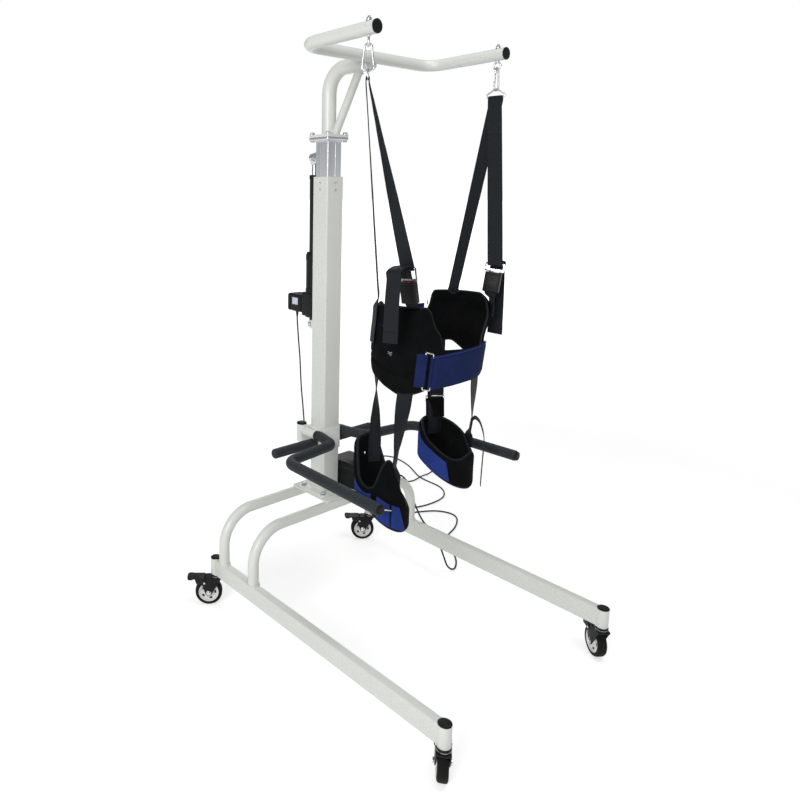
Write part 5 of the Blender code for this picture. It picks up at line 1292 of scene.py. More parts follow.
def make_control_box():
    (x0, x1), (y0, y1), (z0, z1) = BOX_X, BOX_Y, BOX_Z
    split = z1 - 0.022
    tray = block(BOX_X, BOX_Y, (z0, split), "plastic", 0.0055, 5)
    lid = block(inset(BOX_X, 0.0004), inset(BOX_Y, 0.0004), (split + 0.0006, z1), "plastic", 0.0055, 5)
    waist = block(inset(BOX_X, 0.0015), inset(BOX_Y, 0.0015), about(split, 0.010), "plastic", 0.0)
    pieces = [tray, lid, waist]
    cx, cy = (x0 + x1) / 2, (y0 + y1) / 2
    for dx in (-1, 1):
        for dy in (-1, 1):
            pieces += screw_head(at(cx + dx * 0.043, cy + dy * 0.064, z1 - 0.0001), 0.0032, 0.0012)
    raised = (about(cx, 0.030), (cy - 0.045, cy + 0.020), (z1 - 0.001, z1 + 0.0008))
    pieces.append(block(*raised, "plastic", 0.0008, 2))
    for i in range(6):
        y = cy - 0.052 + 0.0085 * i
        rib = ((x1 - 0.0006, x1 + 0.0008), about(y, 0.0015), (z0 + 0.018, z0 + 0.052))
        pieces.append(block(*rib, "plastic", 0.0005, 2))
    bx, _, bz = BOX_REAR_GLAND
    pieces.append(nut(0.0085, 0.0, 0.0045, "plastic", at(bx, y1 - 0.0002, bz) @ along_y()))
    settle("control_housing", pieces, "base", "control_box")
    window = lathe([(0.0, 0.0012), (0.0020, 0.0011), (0.0028, 0.0006), (0.0030, 0.0)], "plate",
                   at(x0 + 0.020, y0 - 0.0002, z1 - 0.010) @ UPRIGHT, 24)
    settle("control_lamp", window, "base")


# Sleeve, arm rests, grips and knob


def make_sleeve():
    low, high = SLEEVE_Z
    inside = OUTER / 2 + GAP
    outside = inside + 0.004
    collar = profile_plate(
        [rounded_box(outside, outside, 0.0070, 8), rounded_box(inside, inside, 0.0040, 6)], low, high, "paint",
        None, 0.0006,
    )
    pieces = [collar]
    for side in (-1, 1):
        x = side * ARM_X
        web_x = sorted((side * (outside - 0.001), x))
        pieces.append(block(web_x, (-0.012, 0.030), (ARM_Z - 0.013, ARM_Z + 0.013), "paint", 0.0012))
        rear_x = sorted((side * 0.034, x))
        pieces.append(block(rear_x, (outside - 0.001, 0.062), (0.590, 0.644), "paint", 0.0015))
        post = lathe(
            soft_profile([(0.0, 0.585), (0.0180, 0.585), (0.0180, 0.6550), (0.0, 0.6550)], 0.0010, 3), "paint",
            at(x, 0.062, 0), 48,
        )
        socket = lathe(
            [(0.0128, -0.020), (0.0156, -0.020), (0.0160, -0.0194), (0.0160, 0.062), (0.0128, 0.062)], "paint",
            at(x, 0, ARM_Z) @ along_y(), 48, closed=True,
        )
        bar = lathe(
            [(0.0, 0.240), (0.0104, 0.240), (0.0110, 0.2394), (0.0110, inside + 0.001), (0.0, inside + 0.001)],
            "paint", at(0, 0, GRIP_Z) @ along_x(side), 40,
        )
        weld_ring = ring_path((side * (outside + 0.0006), 0, GRIP_Z), (1, 0, 0), 0.0117)
        socket_ring = ring_path((x, 0.0435, ARM_Z), (0, 1, 0), 0.0168)
        pieces += [post, socket, bar, bead(weld_ring, 0.0018, "weld", True, side)]
        pieces.append(bead(socket_ring, 0.0018, "weld", True, 7 + side))
        pieces += screw_head(at(x, -0.002, ARM_Z - 0.0160) @ Matrix.Rotation(math.pi, 4, "X"), 0.0036, 0.0022)
    boss = lathe([(0.0045, 0.0), (0.0086, 0.0), (0.0090, 0.0005), (0.0090, outside - inside + 0.009),
                  (0.0045, outside - inside + 0.010)],
                 "paint", at(0, inside + 0.001, KNOB_Z) @ along_y(), 40, closed=True)
    pieces.append(boss)
    settle("sliding_collar", pieces, "sleeve", "grip_sleeve")
    for word, side in SIDES:
        profile = soft_profile(
            [(0.0, 0.0062), (0.0100, 0.0056), (0.0165, 0.0036), (0.0191, 0.0005), (0.0191, -0.0030),
             (0.0, -0.0030)],
            0.0012, 4,
        )
        cap = lathe(profile, "plastic", at(side * ARM_X, 0.062, 0.6552), 48)
        settle(f"{word}_socket_plug", cap, "sleeve", None)


def foam_tube(path, radius):
    """Foam on a bent tube: round ends and a slight unevenness along it."""
    path = even_path(path, 0.006)
    foam = tube(path, radius, "foam", 12)
    total = len(path) - 1
    for vertex in foam.data.vertices:
        station = min(range(total + 1), key=lambda i: (path[i] - vertex.co).length_squared)
        away = min(station, total - station) * 0.006
        centre = path[station]
        shrink = 1.0 - 0.22 * max(0.0, 1.0 - away / 0.005) ** 2
        uneven = 1.0 + 0.012 * noise.noise(vertex.co * 30)
        vertex.co = centre + (vertex.co - centre) * shrink * uneven
    return foam


def make_arm_rests():
    for word, side in SIDES:
        points = [(side * x, y, ARM_Z) for x, y in ARM_POINTS]
        line = fillet_path(points, ARM_BENDS, 14)
        foam = foam_tube(line, FOAM_R)
        x = side * ARM_X
        spigot = rod(SPIGOT_R, (x, points[0][1] - 0.004, ARM_Z), (x, 0.036, ARM_Z), "paint", 40)
        collar = lathe([(0.0125, -0.0040), (0.0168, -0.0040), (0.0170, -0.0034), (0.0170, -0.0006),
                        (0.0125, -0.0002)],
                       "plastic", at(x, -0.0200, ARM_Z) @ along_y(), 40, closed=True)
        settle(f"{word}_arm_rest", [foam, spigot, collar], "sleeve", f"{word}_arm_grip")
        cap = lathe(
            soft_profile([(0.0, 0.0050), (0.0110, 0.0046), (0.0150, 0.0026), (0.0158, -0.0010),
                          (0.0158, -0.0040), (0.0, -0.0040)], 0.001, 4),
            "plastic", facing(line[-1], line[-1] - line[-2]), 48,
        )
        settle(f"{word}_arm_end_plug", cap, "sleeve", None)


def make_push_grips():
    length = GRIP_FAR - GRIP_NEAR
    for word, side in SIDES:
        bore, depth = 0.0113, 0.240 - GRIP_NEAR + GAP
        outer = [(0.0, length), (0.0100, length), (0.0152, length - 0.0010), (0.0176, length - 0.0042),
                 (0.0180, length - 0.0090)]
        outer += [(0.0180 - 0.0002 * math.cos(i * 1.9), length - 0.012 - i * 0.0160) for i in range(10)]
        outer += [(0.0180, 0.0030), (0.0172, 0.0006), (0.0160, 0.0), (bore, 0.0), (bore, depth), (0.0, depth)]
        turn = along_x(side)
        grip = lathe(outer, "foam", at(side * GRIP_NEAR, 0, GRIP_Z) @ turn, 56)
        settle(f"{word}_push_foam", grip, "sleeve", f"{word}_push_grip")
        collar = lathe([(0.0111, 0.0), (0.0160, 0.0), (0.0164, 0.0008), (0.0164, 0.0034), (0.0111, 0.0038)],
                       "plastic", at(side * (GRIP_NEAR - 0.0042), 0, GRIP_Z) @ turn, 40, closed=True)
        settle(f"{word}_push_collar", collar, "sleeve", None)


def make_knob():
    inside = OUTER / 2 + GAP
    face = inside + 0.004 + 0.010 + 2 * GAP
    lobes = []
    for step in range(90):
        a = 2 * math.pi * step / 90
        r = 0.020 * (0.895 + 0.105 * math.cos(5 * a))
        lobes.append((r * math.cos(a), r * math.sin(a)))
    place = at(0, face, KNOB_Z) @ along_y()
    body = profile_plate([lobes], 0.004, 0.018, "plastic", None, 0.0026)
    apply_place(body, place)
    skirt = lathe([(0.0050, 0.0), (0.0100, 0.0), (0.0118, 0.0010), (0.0140, 0.0052), (0.0050, 0.0056)],
                  "plastic", place, 40, True)
    cap = lathe([(0.0, 0.0188), (0.0060, 0.0186), (0.0078, 0.0180), (0.0080, 0.0168)], "gloss", place, 36)
    screw = rod(0.004, (0, inside + 0.0004, KNOB_Z), (0, face + 0.006, KNOB_Z), "zinc", 28)
    settle("clamping_knob", [body, skirt, cap, screw], "knob", "clamp_knob")


# Casters


def cheeks(outline, near, far, rounding):
    """Two equal plates in the fork's side view, each from near to far across the fork."""
    sides = ((near, far), (-far, -near))
    return [profile_plate([outline], *limits, "plastic", UPRIGHT, rounding) for limits in sides]


def make_caster(name, px, py, trail_angle):
    place = at(px, py, 0) @ Matrix.Rotation(math.radians(trail_angle), 4, "Z")
    low_y = 0.017 + GAP
    high_y = low_y + 0.003
    crown = profile_plate(
        [fillet_outline([(-0.023, -high_y + 0.0005), (0.040, -high_y + 0.0005), (0.040, high_y - 0.0005),
                         (-0.023, high_y - 0.0005)], 0.006)],
        CROWN_Z, CROWN_Z + 0.004, "plastic", None, 0.0010,
    )
    blade = [(-0.020, CROWN_Z + 0.003)]
    blade += arc((TRAIL, WHEEL_R), 0.012, 190, 340, 16)
    blade += [(PEDAL_X + 0.009, PEDAL_PIVOT_Z - 0.006), (PEDAL_X + 0.008, PEDAL_PIVOT_Z + 0.004),
              (0.038, CROWN_Z + 0.003)]
    pieces = [crown, *cheeks(blade, low_y, high_y, 0.0008)]
    race = lathe(
        soft_profile([(0.0, 0.1060), (0.0150, 0.1060), (0.0205, 0.1072), (0.0212, 0.1110), (0.0196, 0.1128),
                      (0.0202, 0.1150), (0.0205, 0.1186), (0.0190, 0.1206), (0.0, 0.1206)], 0.0005, 3),
        "plastic", None, 56,
    )
    seal = lathe([(0.0196, 0.1122), (0.0206, 0.1126), (0.0206, 0.1134), (0.0196, 0.1138)], "zinc", None, 48,
                 closed=True)
    stem = rod(0.0155, (0, 0, CROWN_Z + 0.004), (0, 0, POST_TOP - 0.018), "zinc", 36)
    pieces += [race, seal, stem]
    pieces.append(rod(0.006, (TRAIL, -high_y - 0.003, WHEEL_R), (TRAIL, high_y + 0.003, WHEEL_R), "zinc", 28))
    for sign in (-1, 1):
        turn = at(TRAIL, sign * high_y, WHEEL_R) @ along_y(sign)
        pieces.append(washer(0.005, 0.0092, 0.0010, "zinc", turn))
        pieces.append(nut(0.0078, 0.0010, 0.0052, "zinc", turn))
        turn = at(PEDAL_X, sign * (high_y + 0.0024), PEDAL_PIVOT_Z) @ along_y(sign)
        pieces.append(lathe([(0.0, 0.0026), (0.0024, 0.0023), (0.0038, 0.0014), (0.0042, 0.0004),
                             (0.0042, 0.0)], "zinc", turn, 24))
        pieces.append(rod(0.0028, (PEDAL_X, sign * (low_y + 0.0005), PEDAL_PIVOT_Z),
                          (PEDAL_X, sign * (high_y + 0.003), PEDAL_PIVOT_Z), "zinc", 20))
    settle(f"{name}_caster_fork", pieces, f"{name}_swivel", f"{name}_fork", place=place)

    near = high_y + 2 * GAP
    far = near + 0.002
    top = block((0.0430, PEDAL_END - 0.010), (-far, far), (PEDAL_Z - 0.003, PEDAL_Z), "plastic", 0.0010)
    flange = [
        (PEDAL_X - 0.006, PEDAL_PIVOT_Z - 0.005), (PEDAL_X + 0.030, PEDAL_PIVOT_Z - 0.002),
        (PEDAL_X + 0.036, PEDAL_Z - 0.001), (0.042, PEDAL_Z - 0.001), (PEDAL_X - 0.006, PEDAL_PIVOT_Z + 0.006),
    ]
    pieces = [top, *cheeks(flange, near, far, 0.0005)]
    lip_outline = fillet_outline(
        [(PEDAL_END - 0.020, -far), (PEDAL_END - 0.004, -far), (PEDAL_END + 0.0008, -0.012),
         (PEDAL_END + 0.0008, 0.012), (PEDAL_END - 0.004, far), (PEDAL_END - 0.020, far)], 0.003)
    pieces.append(profile_plate([lip_outline], PEDAL_Z - 0.0055, PEDAL_Z + 0.0008, "plastic", None, 0.0014))
    for i in range(4):
        x = PEDAL_END - 0.0170 + 0.0045 * i
        left, right = (x, -0.0140, PEDAL_Z + 0.0006), (x, 0.0140, PEDAL_Z + 0.0006)
        pieces.append(rod(0.0008, left, right, "plastic", 10, 0.0002))
    pieces.append(block((0.066, 0.072), (-0.010, 0.010), (0.0868, PEDAL_Z - 0.001), "plastic", 0.0010))
    settle(f"{name}_brake_pedal", pieces, f"{name}_brake", f"{name}_pedal", place=place)

    axis = place @ at(TRAIL, 0, WHEEL_R) @ UPRIGHT
    tyre = lathe(
        soft_profile(mirrored([(0.0372, 0.0135), (0.0376, 0.0150), (0.0440, 0.0150), (0.0478, 0.0132),
                               (0.0496, 0.0098), (0.0500, 0.0050)]), 0.0006, 2),
        "tyre", axis, 96, closed=True,
    )
    settle(f"{name}_caster_wheel", [tyre] + rim_parts(axis), f"{name}_roller", f"{name}_wheel")


def fillet_outline(points, radius):
    """A closed flat outline with its corners rounded."""
    loop = [Vector((*p, 0.0)) for p in points]
    outline = []
    for i, here in enumerate(loop):
        back, ahead = loop[i - 1], loop[(i + 1) % len(loop)]
        corner = fillet_path((back.lerp(here, 0.5), here, here.lerp(ahead, 0.5)), radius, 5)
        outline += [(p.x, p.y) for p in corner[1:-1]]
    return outline


def rim_parts(axis):
    """The wheel's rim: a lip, a web, a hub, five spokes, and five black blocks between them as painted shade
    for its recesses.
    """
    lip = lathe(
        mirrored([(0.0330, 0.0118), (0.0340, 0.0138), (0.0362, 0.0142), (0.0374, 0.0134)]), "rim", axis, 96,
        closed=True,
    )
    hub = lathe(
        mirrored([(0.0064, 0.0168), (0.0104, 0.0168), (0.0118, 0.0160), (0.0124, 0.0130), (0.0130, 0.0100)]),
        "rim", axis, 48, closed=True,
    )
    web = lathe(mirrored([(0.0120, 0.0088), (0.0340, 0.0098)]), "rim", axis, 64, closed=True)
    parts = [lip, hub, web]
    for i in range(5):
        turn = axis @ Matrix.Rotation(2 * math.pi * i / 5, 4, "Z")
        parts.append(block((0.0110, 0.0345), (-0.0026, 0.0026), (-0.0116, 0.0116), "rim", 0.0012, 2, turn))
        # A black plastic block between two spokes: painted shade where the rim's recess lies, since no recess
        # is cut into the web.
        shade_block = turn @ Matrix.Rotation(math.pi / 5, 4, "Z")
        parts.append(block((0.0205, 0.0290), (-0.0062, 0.0062), (-0.0101, 0.0101), "plastic", 0.0020, 2, shade_block))
    return parts


# Harness


VEST_C, VEST_AX, VEST_AY, VEST_T, VEST_TOP = (0.0, -0.491), 0.198, 0.125, 0.014, 1.185
BAND_LOW, BAND_HEIGHT, BAND_T = VEST_TOP - 0.229, 0.100, 0.006
VEST_RIGHT_EDGE = (-60.0, -62.0, -42.0, -36.0, -22.0)
VEST_LEFT_EDGE = (232.0, 246.0, 247.0, 241.0, 227.0)
REAR_FOOT = {-1: 153.0, 1: 27.0}
BUCKLE_FOOT = {-1: 207.0, 1: 333.0}


def corner_curve(angle, ax, ay, power=2.5):
    """The point of a rounded rectangle at an angle in degrees."""
    c, s = math.cos(math.radians(angle)), math.sin(math.radians(angle))
    x = ax * math.copysign(abs(c) ** (2 / power), c)
    return x, ay * math.copysign(abs(s) ** (2 / power), s)


def bump(value, middle, half):
    """1 at the middle, falling smoothly to 0 at half a width away."""
    return ease(1.0 - abs(value - middle) / half)


def skin(outer, inner, look, closed):
    """A closed mesh between two grids of points, each grid[i][j]."""
    count, height = len(outer), len(outer[0])
    points = [p for grid in (outer, inner) for column in grid for p in column]
    first = count * height
    faces = []
    for i in range(count if closed else count - 1):
        a, b = i * height, ((i + 1) % count) * height
        for j in range(height - 1):
            faces.append((a + j, b + j, b + j + 1, a + j + 1))
            faces.append((first + a + j, first + a + j + 1, first + b + j + 1, first + b + j))
        faces.append((a, first + a, first + b, b))
        faces.append((a + height - 1, b + height - 1, first + b + height - 1, first + a + height - 1))
    if not closed:
        for a in (0, (count - 1) * height):
            for j in range(height - 1):
                faces.append((a + j, a + j + 1, first + a + j + 1, first + a + j))
    mesh = bpy.data.meshes.new("skin")
    mesh.from_pydata(points, [], faces)
    return turn_outwards(paint_with(place_new("skin", mesh), look))


def pad(columns, rows, point, thick, look, closed=False, soft=0.014, seams=(), levels=(), wrinkle=0.0014,
        seed=0):
    """A stuffed sheet: point(s, t, out) is a place on it, that far outside its inner face.

    It is thin at its border and along its seams, at some parts s and levels t, and full between.
    """
    middle = [point(i / columns, 0.5, 0.0) for i in range(columns + 1)]
    wide = path_length(middle)
    outer, inner = [], []
    for i in range(columns if closed else columns + 1):
        s = i / columns
        foot, head = point(s, 0.0, 0.0), point(s, 1.0, 0.0)
        tall = max((head - foot).length, 0.001)
        out_column, in_column = [], []
        for j in range(rows + 1):
            t = j / rows
            away = min(t, 1 - t) * tall
            if not closed:
                away = min(away, min(s, 1 - s) * wide)
            full = 0.34 + 0.66 * math.sqrt(1 - (1 - min(away / soft, 1.0)) ** 2)
            for seam in seams:
                full *= 1 - 0.50 * math.exp(-(((s - seam) * wide) / 0.0045) ** 2)
            for level in levels:
                full *= 1 - 0.50 * math.exp(-(((t - level) * tall) / 0.0045) ** 2)
            where = point(s, t, 0.0)
            ripple = noise.noise(where * 19 + Vector((seed, 0, 0))) + 0.5 * noise.noise(where * 47)
            out_column.append(point(s, t, thick * full + wrinkle * ripple * full))
            in_column.append(point(s, t, 0.0008 * ripple - 0.0020 * (full - 0.34)))
        outer.append(out_column)
        inner.append(in_column)
    return skin(outer, inner, look, closed)


def border(point, out, closed, steps=90):
    """The lines round a sheet: two rings when it is closed, and one loop when it is not."""
    low = [point(i / steps, 0.0, out) for i in range(steps + 1)]
    high = [point(i / steps, 1.0, out) for i in range(steps + 1)]
    if closed:
        return [low[:-1], high[:-1]]
    rise = [point(1.0, j / 24, out) for j in range(1, 24)]
    fall = [point(0.0, j / 24, out) for j in range(1, 24)]
    return [low + rise + list(reversed(high)) + list(reversed(fall))]


def binding(point, out, closed=False, radius=0.0032, look="binding"):
    """Tape rolled over a sheet's edge."""
    pieces = []
    for loop in border(point, out, closed):
        line = even_path(loop + [loop[0]], 0.005)[:-1]
        pieces.append(tube(line, radius, look, 3, cyclic=True))
    return pieces


def stitch_row(path, pitch=0.0042, length=0.0026, radius=0.00035, look="thread"):
    """Separate stitches along a line."""
    path = even_path(path, pitch)
    pieces = []
    for a, b in zip(path, path[1:]):
        along = (b - a).normalized() * length
        pieces.append(tube([a, a + along * 0.5, a + along], radius, look, 1))
    return join("stitches", pieces)


def vest_side(angle):
    """0 at the middle of a side and 90 at the middle of the back or front, in degrees."""
    a = math.radians(angle)
    return math.degrees(math.atan2(abs(math.sin(a)), abs(math.cos(a))))


def vest_top(angle):
    angle = angle % 360
    back = angle < 180
    right = angle < 90 or angle > 270
    high = VEST_TOP + (0.008 if right else -0.008 * bump(angle, 140, 45))
    side = vest_side(angle)
    if back:
        fall = (high - VEST_TOP + 0.062) * (ease((side - 53) / 9) if right else ease((side - 52) / 30))
    else:
        fall = 0.034 * ease((side - 6) / 28) if right else 0.030 * ease((side - 41) / 14)
    notch = 0.010 * bump(angle, REAR_FOOT[1], 9) + 0.006 * bump(angle, REAR_FOOT[-1], 9)
    return high - fall - notch


def vest_bottom(angle):
    angle = angle % 360
    s = math.sin(math.radians(angle))
    back = ease((s - 0.35) / 0.4)
    front = ease((-s - 0.35) / 0.4)
    left = 90 < angle < 270
    hem = 0.038 * bump(angle, 197, 42) if left else -0.072 * bump((angle + 180) % 360 - 180, 16, 50)
    return VEST_TOP - 0.220 + 0.027 * back - (0.012 if left else 0.010) * front - hem


def vest_at(angle, z, out, shaped=True):
    """A point on the vest, a distance outside its inner face; its flanks draw in when shaped."""
    down = VEST_TOP - z
    low = ease(down / 0.2)
    x, y = corner_curve(angle, VEST_AX - 0.014 * low + out, VEST_AY + out)
    if shaped and x > 0:
        waist = 0.026 * ease((down - 0.05) / 0.08) + 0.016 * ease((down - 0.12) / 0.11)
        x += x / VEST_AX * (0.006 * bump(down, 0.045, 0.04) - waist)
    elif shaped:
        x -= x / VEST_AX * 0.014 * ease(1.0 - down / 0.15)
    return Vector((VEST_C[0] - 0.012 * low + x, VEST_C[1] + y, z))


def vest_point(s, t, out):
    right, left = blend_list(VEST_RIGHT_EDGE, t), blend_list(VEST_LEFT_EDGE, t)
    angle = right + (left - right) * s
    low, high = vest_bottom(angle), vest_top(angle)
    return vest_at(angle, low + (high - low) * t, out)


def vest_patch(angles, heights, out, slant=0.0):
    """A rectangle on the vest: point(s, t, out) between two angles and two heights."""
    def point(s, t, more):
        angle = angles[0] + (angles[1] - angles[0]) * s - slant * (1 - t)
        return vest_at(angle, heights[0] + (heights[1] - heights[0]) * t, out + more)
    return point


def make_vest():
    seams = [(a - VEST_RIGHT_EDGE[2]) / (VEST_LEFT_EDGE[2] - VEST_RIGHT_EDGE[2])
             for a in (27.0, 58.0, 122.0, 153.0)]
    vest = pad(208, 44, vest_point, VEST_T, "cloth", soft=0.016, seams=seams, levels=(0.24,), wrinkle=0.0022)
    settle("padded_vest", vest, "harness", "harness_vest", 50)
    pieces = binding(vest_point, VEST_T * 0.17, radius=0.0036)
    flap = vest_patch((66.0, 77.0), (VEST_TOP - 0.080, VEST_TOP - 0.032), 0.001)
    pieces.append(pad(16, 18, flap, 0.004, "navy", soft=0.006))
    loop = ring_path(vest_at(62.0, VEST_TOP - 0.030, 0.003), (0.5, -0.8, 0.1), 0.0075, 28)
    pieces.append(tube(loop, 0.0012, "zinc", 4, cyclic=True))
    edge = [vest_at(172 + 17 * i / 12, 1.128 - 0.036 * i / 12, VEST_T + 0.0002) for i in range(13)]
    pieces.append(tube(edge, 0.0014, "navy", 4))
    strip = vest_patch((216.0, 229.0), (BAND_LOW, BAND_LOW + BAND_HEIGHT), VEST_T - 0.001, 3.0)
    pieces.append(pad(20, 40, strip, 0.0056, "navy", soft=0.005, seams=(0.12,)))
    for turn in (-1, 1):
        cross = [vest_at(184 + turn * 2.2 * i, 1.050 + 0.0035 * i, VEST_T + 0.0022) for i in (-1, 0, 1)]
        pieces.append(tube(cross, 0.0007, "thread", 3))
    tack = [vest_at(184.5 + i * 1.1, 1.044 - i * 0.002, VEST_T + 0.0020) for i in (-1, 0, 1)]
    pieces.append(tube(tack, 0.0007, "thread", 3))
    settle("vest_trim", pieces, "harness", None, 50)


def make_front_band():
    def point(s, t, out):
        angle = 232.0 + (306.0 - 232.0) * s - 3.0 * (1 - t) * (1 - s)
        return vest_at(angle, BAND_LOW + BAND_HEIGHT * t - 0.008 + 0.015 * s, VEST_T + 0.0002 + out)

    band = pad(96, 30, point, BAND_T, "navy", soft=0.005, seams=(0.06,), levels=(0.05, 0.95), wrinkle=0.0008)
    settle("navy_front_band", band, "harness", "front_band", 50)
    out = VEST_T + 0.0016
    low, high = BAND_LOW - 0.006, BAND_LOW + BAND_HEIGHT + 0.004
    corners = [vest_at(223.0, low, out), vest_at(226.0, high, out), vest_at(234.5, high - 0.006, out),
               vest_at(231.5, low - 0.004, out)]
    middle = corners[0].lerp(corners[3], 0.5)
    loop = fillet_path([middle] + corners + [middle], 0.003, 4)
    ring = tube(loop[:-1], 0.0021, "zinc", 5, cyclic=True)

    def backing(s, t, out):
        high = BAND_LOW + BAND_HEIGHT + 0.010 * (1 - s)
        return vest_at(233.0 + 40.0 * s, BAND_LOW + 0.02 + (high - BAND_LOW - 0.02) * t, VEST_T - 0.0045 + out)

    lining = pad(30, 16, backing, 0.004, "cloth", soft=0.004, wrinkle=0.0005)
    edge = [point(s / 40, 0.965, BAND_T * 0.9) for s in range(41)]
    piping = tube(edge, 0.0011, "piping", 3)
    settle("band_ring_and_piping", [ring, piping, lining], "harness", None, 50)


# Webbing


BUCKLE, BUCKLE_LOW, TONGUE_BAR_R = (0.050, 0.022, 0.064), 0.017, 0.003
STRAP_BEND = GAP + STRAP_T / 2 + 0.0002
FRONT_TURNS = {-1: (45, 55, 65, 78, 90, 100), 1: (-80, -78, -75, -72, -70, -70)}
REAR_TURNS = {-1: (45, 43, 41, 40, 40), 1: (-80, -86, -92, -97, -100)}
TONGUE_BAR = {-1: Vector((-0.209, -0.558, VEST_TOP + 0.117)), 1: Vector((0.203, -0.566, VEST_TOP + 0.105))}
TAIL_OUT = {-1: 0.070, 1: 0.034}
TAIL_DROP = {-1: 0.190, 1: 0.225}


def level(angle):
    """A level direction at an angle in degrees from +X, or the vector that is given."""
    if isinstance(angle, Vector):
        return angle.normalized()
    return Vector((math.cos(math.radians(angle)), math.sin(math.radians(angle)), 0.0))


def agreeing(vector, other):
    """The vector, or its opposite where it points away from another."""
    return -vector if vector.dot(other) < 0 else vector


def round_bar(bar, out, over, radius, across, first=0):
    """Stations over a bar, from behind it to in front of it."""
    turns = [math.pi * step / 8 for step in range(first, 9)]
    return [(bar - out * radius * math.cos(a) + over * radius * math.sin(a), across) for a in turns]


def web(stations, width=STRAP_W, look="webbing", thick=STRAP_T, per_span=3, seed=0):
    """Woven strap through stations of a centre and a width direction, with yarn coordinates."""
    centres = smooth_path([Vector(c) for c, _ in stations], per_span)
    across = smooth_path([level(a) for _, a in stations], per_span)
    half, edge = width / 2, 0.0012
    profile = [(-half, 0.0), (-half + edge, 0.5), (-half * 0.5, 0.56), (0.0, 0.58), (half * 0.5, 0.56),
               (half - edge, 0.5), (half, 0.0), (half - edge, -0.5), (0.0, -0.58), (-half + edge, -0.5)]
    ring = len(profile)
    points, uvs, run_length = [], [], 0.0
    for k, centre in enumerate(centres):
        ahead = centres[min(k + 1, len(centres) - 1)] - centres[max(k - 1, 0)]
        if k:
            run_length += (centre - centres[k - 1]).length
        side = across[k].normalized()
        deep = side.cross(ahead).normalized()
        sway = 0.0004 * noise.noise(centre * 40 + Vector((seed, 0, 0)))
        for x, d in profile:
            points.append(centre + side * x + deep * (d * thick + sway))
            uvs.append((x + half, run_length))
    faces = [tuple(range(ring))]
    for k in range(len(centres) - 1):
        a, b = k * ring, (k + 1) * ring
        faces += [(a + i, b + i, b + (i + 1) % ring, a + (i + 1) % ring) for i in range(ring)]
    faces.append(tuple(len(points) - ring + i for i in reversed(range(ring))))
    mesh = bpy.data.meshes.new("web")
    mesh.from_pydata(points, [], faces)
    layer = mesh.uv_layers.new(name="UVMap")
    for loop in mesh.loops:
        layer.data[loop.index].uv = uvs[loop.vertex_index]
    return paint_with(turn_outwards(place_new("web", mesh)), look)


def run(start, end, angles, steps):
    """Stations along a straight run whose width direction turns through some angles."""
    start, end = Vector(start), Vector(end)
    stations = []
    for step in range(steps + 1):
        part = step / steps
        stations.append((start.lerp(end, part), blend_list(angles, part)))
    return stations


def box_stitch(centre, across, along, wide, tall, out):
    """A sewn rectangle with a cross in it, lying on a strap."""
    square = ((-1, -1), (1, -1), (1, 1), (-1, 1))
    corners = [centre + across * x * wide / 2 + along * y * tall / 2 + out for x, y in square]
    lines = [corners + [corners[0]], [corners[0], corners[2]], [corners[1], corners[3]]]
    return [stitch_row(line, 0.0032, 0.0022, 0.0003, "webbing_thread") for line in lines]


def buckle_place(side):
    """The buckle's frame: up its own Z to the tongue's bar, its width along X."""
    foot = vest_at(BUCKLE_FOOT[side], VEST_TOP, VEST_T / 2, False)
    up = (TONGUE_BAR[side] - foot).normalized()
    across = level(FRONT_TURNS[side][-1])
    across = (across - up * across.dot(up)).normalized()
    deep = up.cross(across)
    if deep.dot(foot - Vector((VEST_C[0], VEST_C[1], foot.z))) > 0:
        across, deep = -across, -deep
    frame_3 = Matrix((across, deep, up)).transposed().to_4x4()
    return Matrix.Translation(foot) @ frame_3, (TONGUE_BAR[side] - foot).length


